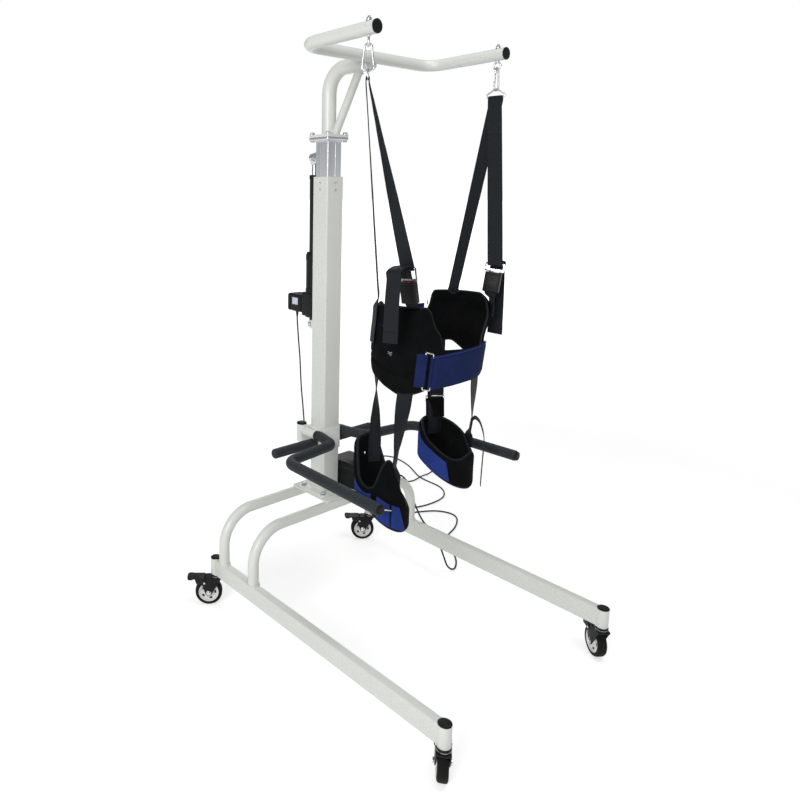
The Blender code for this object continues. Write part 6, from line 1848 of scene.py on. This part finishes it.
def make_strap(word, side):
    """The webbing from the back of the vest over the ring and down to the tongue, with its tail."""
    turn = RING_TURN[side]
    place = hook_place(side, turn)
    front = place.to_3x3() @ Vector((0, -1, 0))
    if front.y > 0:
        front = -front
    bar = place @ Vector((0, 0, RING_BAR_Z))
    r = RING_R + STRAP_BEND
    rear_foot = vest_at(REAR_FOOT[side], VEST_TOP, VEST_T / 2)
    rear_turns = tuple(reversed(REAR_TURNS[side]))
    flat = vest_at(REAR_FOOT[side] + 3, 1.1, 0) - vest_at(REAR_FOOT[side] - 3, 1.1, 0)
    flat = agreeing(flat, level(rear_turns[0]))
    sewn_down = (0.120, 0.090, 0.060, 0.030, 0.010)
    stations = [(vest_at(REAR_FOOT[side], VEST_TOP - d, VEST_T + 0.0022), flat) for d in sewn_down]
    stations += run(rear_foot + Vector((0, 0, 0.016)), bar - front * r + Vector((0, 0, -0.012)), rear_turns,
                    16)
    stations += round_bar(bar, front, Vector((0, 0, 1)), r, turn)
    tongue = TONGUE_BAR[side]
    across, outward, up = (Vector(column) for column in buckle_place(side)[0].to_3x3().transposed())
    outward = agreeing(outward, tongue - Vector((*VEST_C, tongue.z)))
    across = agreeing(across, level(FRONT_TURNS[side][-1]))
    q = TONGUE_BAR_R + STRAP_BEND
    down = run(bar + front * r + Vector((0, 0, -0.012)), tongue - outward * q, FRONT_TURNS[side], 18)
    down[-1] = (down[-1][0], across)
    sewn = down[3]
    stations += down
    stations += round_bar(tongue, outward, -up, q, across, 1)
    half_turn = (TAIL_OUT[side] - q) / 2
    for step in range(9):
        a = math.pi * (1 - step / 8)
        out = q + half_turn * (1 + math.cos(a))
        stations.append((tongue + outward * out + up * (0.004 + 0.010 * math.sin(a)), across))
    curl = tongue + outward * TAIL_OUT[side]
    end = curl + outward * 0.004 - Vector((0, 0, TAIL_DROP[side]))
    for step in range(9):
        sway = outward * 0.004 * math.sin(math.pi * step / 8)
        stations.append(((curl - up * 0.012).lerp(end, step / 8) + sway, across))
    strap = web(stations, per_span=2, seed=side)
    hem = ((0.030, 0.0026), (0.015, 0.0027), (0.0005, 0.0026))
    fold = web([(end + Vector((0, 0, rise)) + outward * out, across) for rise, out in hem], per_span=2)
    along = (down[3][0] - down[2][0]).normalized()
    centre, angle = sewn
    wide = level(angle)
    deep = wide.cross(along).normalized() * (STRAP_T / 2 + 0.0004)
    pieces = [strap, fold]
    if side < 0:
        cover = []
        for step in range(9):
            out = q + 0.0046 + 0.003 * math.sin(math.pi * step / 8)
            cover.append((tongue + outward * out + up * (0.012 - 0.0048 * step), across))
        pieces.append(web(cover, STRAP_W * 0.9, per_span=1))
        for k in range(34):
            root = cover[-1][0] + across * STRAP_W * 0.9 * (k / 33 - 0.5)
            drift = Vector([noise.noise(Vector((k * 1.7, row, 0))) for row in (3, 7)] + [0.0]) * 0.006
            fray = [root + up * 0.001, root - up * 0.003 + drift * 0.4, root - up * 0.007 + drift]
            pieces.append(tube(fray, 0.0004, "webbing_thread", 1))
    for way in (-1, 1):
        pieces += box_stitch(centre, wide, along, 0.036, 0.030, deep * way)
    settle(f"{word}_webbing", pieces, "harness", f"{word}_strap", 45)


def make_tongue(word, side):
    """A steel tongue: a frame whose top bar holds the strap, and a blade in the buckle."""
    place, length = buckle_place(side)
    half = STRAP_W / 2 + 0.002
    blade_top = BUCKLE_LOW + BUCKLE[2] + 0.004
    corner = 0.004
    outer = arc((half + 0.005 - corner, length + 0.004 - corner), corner, 0, 90, 5)
    outer += arc((-half - 0.005 + corner, length + 0.004 - corner), corner, 90, 180, 5)
    outer += arc((-half - 0.005 + corner, blade_top - 0.003 + corner), corner, 180, 270, 5)
    outer += [(-0.0165, blade_top - 0.003), (-0.0165, blade_top - 0.031), (0.0165, blade_top - 0.031),
              (0.0165, blade_top - 0.003)]
    outer += arc((half + 0.005 - corner, blade_top - 0.003 + corner), corner, 270, 360, 5)
    window = [(-half, blade_top + 0.006), (half, blade_top + 0.006), (half, length - 0.004),
              (-half, length - 0.004)]
    frame_plate = profile_plate([outer, window], -0.0012, 0.0012, "zinc", place @ UPRIGHT, 0.0005)
    bar = rod(TONGUE_BAR_R, place @ Vector((-half - 0.001, 0, length)),
              place @ Vector((half + 0.001, 0, length)), "zinc", 28, 0.0005)
    settle(f"{word}_steel_tongue", [frame_plate, bar], "harness", f"{word}_tongue")


def make_buckle(word, side):
    """A push-button buckle with its red button, on a short tab sewn to the vest."""
    place, _ = buckle_place(side)
    w, d, h = BUCKLE
    low, top = BUCKLE_LOW, BUCKLE_LOW + h
    shell = block((-w / 2, w / 2), (-d / 2, d / 2), (low, top - 0.004), "gloss", 0.004, 4)
    rim = profile_plate(
        [rounded_box(w / 2, d / 2, 0.005, 5), rectangle(-0.0180, 0.0180, -0.0024, 0.0022),
         rectangle(-0.0152, 0.0152, -0.0092, -0.0028)],
        top - 0.009, top, "gloss", None, 0.0009,
    )
    waist = block((-w / 2 + 0.006, w / 2 - 0.006), (-d / 2 - 0.0006, d / 2 + 0.0006),
                  (low + 0.012, low + 0.038), "plastic", 0.0012)
    housing = [apply_place(piece, place) for piece in (shell, rim, waist)]
    foot = place.translation
    across = Vector(place.to_3x3().col[0])
    flat = vest_at(BUCKLE_FOOT[side] + 3, foot.z, 0) - vest_at(BUCKLE_FOOT[side] - 3, foot.z, 0)
    flat = agreeing(flat, across)
    out = -0.0035 if side < 0 else VEST_T + 0.0012
    tab = [(vest_at(BUCKLE_FOOT[side], foot.z - dz, out), flat) for dz in (0.060, 0.040, 0.020, 0.004)]
    tab += [(place @ Vector((0, 0, dz)), across) for dz in (0.012, 0.030)]
    strap = web(tab, 0.036, "webbing", 0.0030, 4)
    settle(f"{word}_buckle_shell", [*housing, strap], "harness", f"{word}_buckle")
    button = block((-0.0144, 0.0144), (-0.0086, -0.0034), (top - 0.009, top + 0.0018), "red", 0.0010)
    ridge = block((-0.010, 0.010), (-0.0064, -0.0056), (top + 0.0014, top + 0.0024), "red", 0.0003)
    for piece in (button, ridge):
        apply_place(piece, place)
    settle(f"{word}_release_button", [button, ridge], f"{word}_button", f"{word}_buckle_button")


def rectangle(x0, x1, y0, y1):
    return [(x0, y0), (x1, y0), (x1, y1), (x0, y1)]


# Thigh cuffs


CUFFS = {-1: (-0.215, -0.492), 1: (0.0915, -0.492)}
CUFF_A, CUFF_T = {-1: (0.070, 0.072), 1: (0.074, 0.076)}, 0.013
CUFF_TURN = {-1: -13.0, 1: 0.0}
CUFF_SLOPES = {-1: (-0.35, 0.85), 1: (-0.30, 0.50)}
CUFF_LOW = {-1: VEST_TOP - 0.610, 1: VEST_TOP - 0.577}
# Round each cuff, angles and how far its rim lies below the vest's top there
CUFF_RIM = {
    -1: ((0, 0.590), (45, 0.520), (75, 0.420), (110, 0.410), (135, 0.415), (152, 0.442), (170, 0.515),
         (215, 0.530),
         (240, 0.457), (257, 0.450), (287, 0.566), (320, 0.608)),
    1: ((0, 0.458), (45, 0.426), (90, 0.412), (135, 0.420), (165, 0.456), (225, 0.509), (255, 0.515),
        (285, 0.503),
        (325, 0.510)),
}
# Blue panels: first angle, last angle at the foot and at the top, and height, or None where it reaches the rim
CUFF_PANELS = {-1: ((166, 213, 213, None), (225, 256, 254, 0.070), (258, 292, 274, 0.072)),
               1: ((138, 226, 218, None),)}
# Vest angle, width, width directions down it, place on the cuff, distance outside its inner face, and overlap
LEG_STRAPS = {
    -1: ((163, 0.042, (65, 45, 22, 0, -13), 78, -0.005, 0.085),
         (203, 0.046, (118, 140, 165, 185, 205, 205), 268, -0.005, 0.060)),
    1: ((36, 0.056, (-45, -40, -36, -34, -20), 73, -0.005, 0.060),),
}


def cuff_at(side, angle, out):
    """A point of the cuff's plan on its sloping lower edge."""
    x, y = corner_curve(angle, CUFF_A[side][0] + out, CUFF_A[side][1] + out, 2.2)
    offset = Matrix.Rotation(math.radians(CUFF_TURN[side]), 3, "Z") @ Vector((x, y, 0))
    slope_x, slope_y = CUFF_SLOPES[side]
    low = CUFF_LOW[side] + slope_x * offset.x + slope_y * offset.y
    if side < 0:
        low -= 0.040 * bump(angle % 360, 75, 65)
    return Vector((CUFFS[side][0] + offset.x, CUFFS[side][1] + offset.y, low))


def cuff_rim(side, angle):
    """The height of the cuff's rim at an angle: a smooth curve through CUFF_RIM, closed on itself."""
    knots = CUFF_RIM[side]
    count, angle = len(knots), angle % 360
    k = max(i for i in range(count) if knots[i][0] <= angle)
    places = [(knots[i % count][0] + 360 * (i // count), knots[i % count][1]) for i in range(k - 1, k + 3)]
    (a0, h0), (a1, h1), (a2, h2), (a3, h3) = places
    wide = a2 - a1
    t = (angle - a1) / wide
    rise_1, rise_2 = (h2 - h0) / (a2 - a0) * wide, (h3 - h1) / (a3 - a1) * wide
    first = (2 * t**3 - 3 * t**2 + 1) * h1 + (t**3 - 2 * t**2 + t) * rise_1
    second = (3 * t**2 - 2 * t**3) * h2 + (t**3 - t**2) * rise_2
    return VEST_TOP - (first + second)


def make_cuff(word, side):
    def point(s, t, out):
        angle = 360.0 * s
        low = cuff_at(side, angle, 0.0).z
        place = cuff_at(side, angle, out)
        place.z = low + (cuff_rim(side, angle) - low) * t
        return place

    def panel(first, foot, head, height):
        def spot(s, t, out):
            angle = first + (foot + (head - foot) * t - first) * s
            low = cuff_at(side, angle, 0.0).z + 0.005
            place = cuff_at(side, angle, CUFF_T - 0.001 + out)
            high = low + height if height else cuff_rim(side, angle) - 0.012
            place.z = low + (high - low) * t
            return place
        return spot

    cuff = pad(144, 30, point, CUFF_T, "cloth", True, 0.014, wrinkle=0.0016, seed=side)
    settle(f"{word}_padded_cuff", cuff, "harness", f"{word}_thigh_cuff", 50)
    pieces = binding(point, CUFF_T * 0.17, True, 0.0042, "webbing")
    for first, foot, head, height in CUFF_PANELS[side]:
        pieces.append(pad(max(12, round((foot - first) / 2.5)), 16, panel(first, foot, head, height), 0.0036,
                          "blue",
                          soft=0.004, wrinkle=0.0006))
    for strap in LEG_STRAPS[side]:
        pieces.append(leg_strap(side, *strap))
    if side < 0:
        ends = [cuff_at(side, a, CUFF_T + 0.0045) for a in (237, 257)]
        for end, z in zip(ends, (0.5965, 0.5935)):
            end.z = VEST_TOP - 1.185 + z
        pieces.append(rod(0.0022, ends[0], ends[1], "zinc", 16, 0.0006))
        rivet_at = cuff_at(side, 103, -0.0005)
        rivet_at.z = VEST_TOP - 0.467
        inward = (Vector((*CUFFS[side], rivet_at.z)) - rivet_at).normalized()
        head = [(0.0, 0.0032), (0.0030, 0.0028), (0.0046, 0.0012), (0.0048, 0.0)]
        pieces.append(lathe(head, "zinc", facing(rivet_at, inward), 20))
    else:
        pieces += pad_bar(side) + front_adjuster(side)
    settle(f"{word}_cuff_straps", pieces, "harness", None, 50)


def leg_strap(side, vest_angle, width, turns, spot, out, overlap):
    """The strap from the vest's hem to a cuff's rim, sewn to the cuff over some length."""
    top = vest_at(vest_angle, vest_bottom(vest_angle) + 0.014, VEST_T / 2)
    rim = cuff_at(side, spot, out)
    rim.z = cuff_rim(side, spot)
    flat = cuff_at(side, spot + 3, out) - cuff_at(side, spot - 3, out)
    flat.z = 0.0
    flat = agreeing(flat, level(turns[-1]))
    stations = run(top, rim + Vector((0, 0, 0.014)), turns, 14)
    stations += [(rim - Vector((0, 0, part * overlap)), flat) for part in (0.15, 0.4, 0.7, 1.0)]
    return web(stations, width, "webbing", STRAP_T, 3, side + spot)


def pad_bar(side):
    """A wide pad over the strap to the right cuff's back, and the steel bar that holds it."""
    top = vest_at(36, 1.0, VEST_T / 2)
    rim = cuff_at(side, 73, -0.005)
    rim.z = cuff_rim(side, 73)
    across = level(-38)
    down = (rim - top).normalized()
    start = top + down * ((top.z - VEST_TOP + 0.345) / -down.z)
    toward = Vector((-0.62, -0.79, 0.0))
    stations = [(start.lerp(rim, part) + toward * 0.003, across) for part in (0.12, 0.3, 0.6, 0.85, 1.0)]
    pieces = [web(stations, 0.062, "cloth", 0.0050, 3, 5)]
    middle = start + toward * 0.0008
    pieces.append(rod(0.0024, middle - across * 0.031, middle + across * 0.031, "zinc", 16, 0.0006))
    ends = [middle - across * 0.030, middle + across * 0.030]
    for end in ends:
        pieces.append(rod(0.0024, end, end + down * 0.02, "zinc", 16, 0.0006))
    return pieces


def front_adjuster(side):
    """The strap from the band to an adjuster, its tail, and the loop sewn to the right cuff's rim."""
    top = vest_at(-70, BAND_LOW + 0.010, VEST_T / 2)
    head = Vector((0.181, -0.524, VEST_TOP - 0.415))
    foot = cuff_at(side, 346, CUFF_T + 0.0015)
    foot.z = VEST_TOP - 0.478
    across = level(36)
    pieces = [web(run(top, head, (8, 10, 18, 28, 36), 12), 0.044, "webbing", STRAP_T, 3, 9)]
    flat = cuff_at(side, 349, 0) - cuff_at(side, 343, 0)
    flat.z = 0.0
    loop = [(head, across), (head.lerp(foot, 0.5), across), (foot + Vector((0, 0, 0.006)), flat),
            (foot - Vector((0, 0, 0.03)), flat)]
    pieces.append(web(loop, 0.040, "webbing", STRAP_T, 3, 10))
    slope = (foot - head).normalized()
    deep = across.cross(slope).normalized()
    frame = Matrix((across, deep, slope)).transposed().to_4x4()
    place = Matrix.Translation(head + slope * 0.024) @ frame
    outer = rounded_box(0.027, 0.022, 0.004, 5)
    slots = [rectangle(-0.022, 0.022, low, low + 0.007) for low in (-0.016, -0.0035, 0.009)]
    pieces.append(profile_plate([outer, *slots], -0.0035, 0.0035, "plastic", place @ UPRIGHT, 0.0008))
    tail = [(head + slope * 0.012, across), (head + Vector((0.006, -0.003, 0.006)), across),
            (Vector((0.205, -0.531, head.z - 0.002)), across),
            (Vector((0.218, -0.538, head.z - 0.028)), across),
            (Vector((0.224, -0.546, head.z - 0.075)), across),
            (Vector((0.222, -0.545, head.z - 0.150)), across),
            (Vector((0.220, -0.544, head.z - 0.232)), across)]
    pieces.append(web(tail, 0.040, "webbing", STRAP_T, 5, 11))
    return pieces


# Stage


def seen_by(tree, ray):
    """1 where the camera, or one other kind of ray, looks, and 0 elsewhere."""
    path = tree.nodes.new("ShaderNodeLightPath").outputs
    return maths(tree, "MAXIMUM", path["Is Camera Ray"], path[ray])


def make_stage():
    """A pale floor, a plain white backdrop, soft lamps and the camera."""
    sizes = bpy.context.scene.trainer_sizes
    scene = bpy.context.scene
    deselect()
    bpy.ops.mesh.primitive_plane_add(size=400, location=(0, 0, -0.0004))
    floor = bpy.context.object
    floor.name = "floor"
    material = bpy.data.materials.new("pale_floor")
    material.use_nodes = True
    tree = material.node_tree
    shader = tree.nodes["Principled BSDF"].inputs
    for label, value in (("Base Color", (0.80, 0.80, 0.80, 1.0)), ("Roughness", 0.9),
                         ("Specular IOR Level", 0.1),
                         ("Emission Color", (1.0, 1.0, 1.0, 1.0))):
        shader[label].default_value = value
    away = tree.nodes.new("ShaderNodeVectorMath")
    away.operation = "LENGTH"
    feed(tree, away.inputs[0], tree.nodes.new("ShaderNodeTexCoord").outputs["Object"])
    rise = tree.nodes.new("ShaderNodeMapRange")
    for label, value in (("From Min", 2.5), ("From Max", 9.0), ("To Min", 0.52), ("To Max", 1.1),
                         ("Value", away.outputs["Value"])):
        feed(tree, rise.inputs[label], value)
    lift = maths(tree, "MULTIPLY", seen_by(tree, "Is Glossy Ray"), rise.outputs[0])
    feed(tree, shader["Emission Strength"], lift)
    floor.data.materials.append(material)

    world = bpy.data.worlds.new("studio")
    world.use_nodes = True
    tree = world.node_tree
    background = tree.nodes["Background"].inputs
    background["Color"].default_value = (1.0, 1.0, 1.0, 1.0)
    strength = tree.nodes.new("ShaderNodeMapRange")
    for label, value in (("To Min", sizes.sky), ("To Max", 1.0),
                         ("Value", seen_by(tree, "Is Transmission Ray"))):
        feed(tree, strength.inputs[label], value)
    feed(tree, background["Strength"], strength.outputs[0])
    scene.world = world

    for name, place, aim, size, share in (
        ("key_lamp", (-4.4, -1.5, 2.6), (0, 0, 0.9), 2.6, 1.0),
        ("top_lamp", (0.2, -1.2, 4.4), (0, -0.2, 0.9), 2.4, 0.34),
        ("back_lamp", (2.6, 3.2, 2.6), (0, 0, 1.0), 2.0, 0.16),
    ):
        lamp = bpy.data.lights.new(name, "AREA")
        lamp.shape = "DISK"
        lamp.size = size
        lamp.energy = sizes.key_power * share
        obj = place_new(name, lamp)
        obj.location = place
        obj.rotation_euler = (Vector(aim) - Vector(place)).to_track_quat("-Z", "Y").to_euler()

    camera = bpy.data.cameras.new("camera")
    camera.lens = sizes.lens
    camera.sensor_width = 36.0
    camera.shift_x = sizes.shift_x
    camera.shift_y = sizes.shift_y
    obj = place_new("camera", camera)
    obj.location = AXIS + Vector(sizes.camera_place)
    obj.rotation_euler = [math.radians(a) for a in (sizes.camera_tilt, 0.0, sizes.camera_turn)]
    scene.camera = obj
    scene.view_settings.view_transform = "Standard"


# Add-on


class TrainerSizes(bpy.types.PropertyGroup):
    """Places and powers of the stage that a user may change."""

    lens: FloatProperty(name="Lens", description="Focal length of the camera in millimetres", default=31.26,
                        min=10)
    shift_x: FloatProperty(name="Shift X", description="Sideways shift of the picture", default=0.1588)
    shift_y: FloatProperty(name="Shift Y", description="Upward shift of the picture", default=-0.1015)
    camera_place: FloatVectorProperty(
        name="Camera place", description="Where the camera stands from the column",
        default=(-1.7110, -1.8605, 1.5054), unit="LENGTH", subtype="XYZ",
    )
    camera_tilt: FloatProperty(name="Camera tilt", description="Degrees up from straight down", default=79.924)
    camera_turn: FloatProperty(name="Camera turn", description="Degrees about the vertical", default=-38.143)
    key_power: FloatProperty(name="Key lamp", description="Power of the main lamp in watts", default=125.0,
                             min=0)
    sky: FloatProperty(name="Sky", description="Strength of the even light from all round", default=0.34,
                       min=0)


class TrainerColours(bpy.types.PropertyGroup):
    """Colours of the trainer that a user may change."""

    paint: FloatVectorProperty(
        name="Frame paint", description="Powder coat of the frame", default=(0.78, 0.80, 0.755),
        subtype="COLOR", min=0, max=1,
    )
    plastic: FloatVectorProperty(
        name="Black plastic", description="Moulded housings, caps and forks", default=(0.008, 0.008, 0.0090),
        subtype="COLOR", min=0, max=1,
    )
    foam: FloatVectorProperty(
        name="Foam", description="Foam of the arm rests and grips", default=(0.019, 0.024, 0.028),
        subtype="COLOR", min=0, max=1,
    )
    webbing: FloatVectorProperty(
        name="Webbing", description="Straps", default=(0.0085, 0.0105, 0.0135), subtype="COLOR", min=0, max=1,
    )
    cloth: FloatVectorProperty(
        name="Black cloth", description="Outside of the vest and cuffs", default=(0.0036, 0.0038, 0.0042),
        subtype="COLOR", min=0, max=1,
    )
    navy: FloatVectorProperty(
        name="Navy cloth", description="Front band", default=(0.012, 0.023, 0.098),
        subtype="COLOR", min=0, max=1,
    )
    panel: FloatVectorProperty(
        name="Blue cloth", description="Panels of the thigh cuffs", default=(0.022, 0.050, 0.26),
        subtype="COLOR", min=0, max=1,
    )


class TRAINER_OT_stage(bpy.types.Operator):
    """Set up the floor, the light and the camera"""

    bl_idname = "trainer.stage"
    bl_label = "Stage"

    def execute(self, context):
        make_stage()
        return {"FINISHED"}


class TRAINER_OT_leads(bpy.types.Operator):
    """Lay the mains lead with its plug and hang the motor's lead"""

    bl_idname = "trainer.leads"
    bl_label = "Leads"

    def execute(self, context):
        make_mains_lead()
        make_motor_lead()
        return {"FINISHED"}


class TRAINER_OT_legs(bpy.types.Operator):
    """Model the two leg rails with their posts and caps"""

    bl_idname = "trainer.legs"
    bl_label = "Legs and post caps"

    def execute(self, context):
        for word, side in SIDES:
            make_leg(word, side)
        make_post_caps()
        return {"FINISHED"}


class TRAINER_OT_arches(bpy.types.Operator):
    """Bend the two arches and bolt the plate on them"""

    bl_idname = "trainer.arches"
    bl_label = "Arches and base plate"

    def execute(self, context):
        make_arches()
        make_plate()
        return {"FINISHED"}


class TRAINER_OT_column(bpy.types.Operator):
    """Model the outer tube, its guide ring and the inner profile"""

    bl_idname = "trainer.column"
    bl_label = "Lifting column"

    def execute(self, context):
        make_outer_column()
        make_guide_bush()
        make_inner_column()
        return {"FINISHED"}


class TRAINER_OT_yoke(bpy.types.Operator):
    """Model the yoke with its end plugs"""

    bl_idname = "trainer.yoke"
    bl_label = "Yoke"

    def execute(self, context):
        make_yoke()
        return {"FINISHED"}


class TRAINER_OT_hooks(bpy.types.Operator):
    """Model the eye bolts, the snap hooks with their gates and the rings"""

    bl_idname = "trainer.hooks"
    bl_label = "Eyes, snap hooks and rings"

    def execute(self, context):
        for word, side in SIDES:
            make_eye_bolt(word, side)
            make_hook(word, side)
            make_ring(word, side)
        return {"FINISHED"}


class TRAINER_OT_actuator(bpy.types.Operator):
    """Model the electric actuator and its motor"""

    bl_idname = "trainer.actuator"
    bl_label = "Actuator and motor"

    def execute(self, context):
        make_actuator()
        make_motor()
        return {"FINISHED"}


class TRAINER_OT_control_box(bpy.types.Operator):
    """Model the control box beside the column"""

    bl_idname = "trainer.control_box"
    bl_label = "Control box"

    def execute(self, context):
        make_control_box()
        return {"FINISHED"}


class TRAINER_OT_collar(bpy.types.Operator):
    """Model the collar on the column with its sockets and knob"""

    bl_idname = "trainer.collar"
    bl_label = "Sliding collar and knob"

    def execute(self, context):
        make_sleeve()
        make_knob()
        return {"FINISHED"}


class TRAINER_OT_foam(bpy.types.Operator):
    """Model the foam arm rests and push grips"""

    bl_idname = "trainer.foam"
    bl_label = "Foam arm rests and grips"

    def execute(self, context):
        make_arm_rests()
        make_push_grips()
        return {"FINISHED"}


class TRAINER_OT_casters(bpy.types.Operator):
    """Model the four braked casters"""

    bl_idname = "trainer.casters"
    bl_label = "Casters"

    def execute(self, context):
        for caster in CASTERS:
            make_caster(*caster)
        return {"FINISHED"}


class TRAINER_OT_harness(bpy.types.Operator):
    """Sew the padded vest and its front band"""

    bl_idname = "trainer.harness"
    bl_label = "Vest and front band"

    def execute(self, context):
        make_vest()
        make_front_band()
        return {"FINISHED"}


class TRAINER_OT_straps(bpy.types.Operator):
    """Thread the straps, tongues and push-button buckles"""

    bl_idname = "trainer.straps"
    bl_label = "Straps and buckles"

    def execute(self, context):
        for word, side in SIDES:
            make_strap(word, side)
            make_tongue(word, side)
            make_buckle(word, side)
        return {"FINISHED"}


class TRAINER_OT_cuffs(bpy.types.Operator):
    """Sew the thigh cuffs and their leg straps"""

    bl_idname = "trainer.cuffs"
    bl_label = "Thigh cuffs"

    def execute(self, context):
        for word, side in SIDES:
            make_cuff(word, side)
        return {"FINISHED"}


OPERATORS = (
    TRAINER_OT_stage,
    TRAINER_OT_leads,
    TRAINER_OT_legs,
    TRAINER_OT_arches,
    TRAINER_OT_column,
    TRAINER_OT_yoke,
    TRAINER_OT_hooks,
    TRAINER_OT_actuator,
    TRAINER_OT_control_box,
    TRAINER_OT_collar,
    TRAINER_OT_foam,
    TRAINER_OT_casters,
    TRAINER_OT_harness,
    TRAINER_OT_straps,
    TRAINER_OT_cuffs,
)


class TRAINER_PT_sidebar(bpy.types.Panel):
    """Sizes, colours and steps of the gait trainer"""

    bl_label = "Gait trainer"
    bl_idname = "TRAINER_PT_sidebar"
    bl_space_type = "VIEW_3D"
    bl_region_type = "UI"
    bl_category = "Gait trainer"

    def draw(self, context):
        layout = self.layout
        for group, settings in (
            (context.scene.trainer_sizes, TrainerSizes), (context.scene.trainer_colours, TrainerColours)
        ):
            column = layout.column(align=True)
            for name in settings.__annotations__:
                column.prop(group, name)
        column = layout.column(align=True)
        for operator in OPERATORS:
            column.operator(operator.bl_idname)


CLASSES = (TrainerSizes, TrainerColours, *OPERATORS, TRAINER_PT_sidebar)


def register():
    for cls in CLASSES:
        bpy.utils.register_class(cls)
    bpy.types.Scene.trainer_sizes = PointerProperty(type=TrainerSizes)
    bpy.types.Scene.trainer_colours = PointerProperty(type=TrainerColours)


def unregister():
    del bpy.types.Scene.trainer_colours
    del bpy.types.Scene.trainer_sizes
    for cls in reversed(CLASSES):
        bpy.utils.unregister_class(cls)


def main():
    register()
    for operator in OPERATORS:
        group, name = operator.bl_idname.split(".")
        getattr(getattr(bpy.ops, group), name)()


if __name__ == "__main__":
    main()
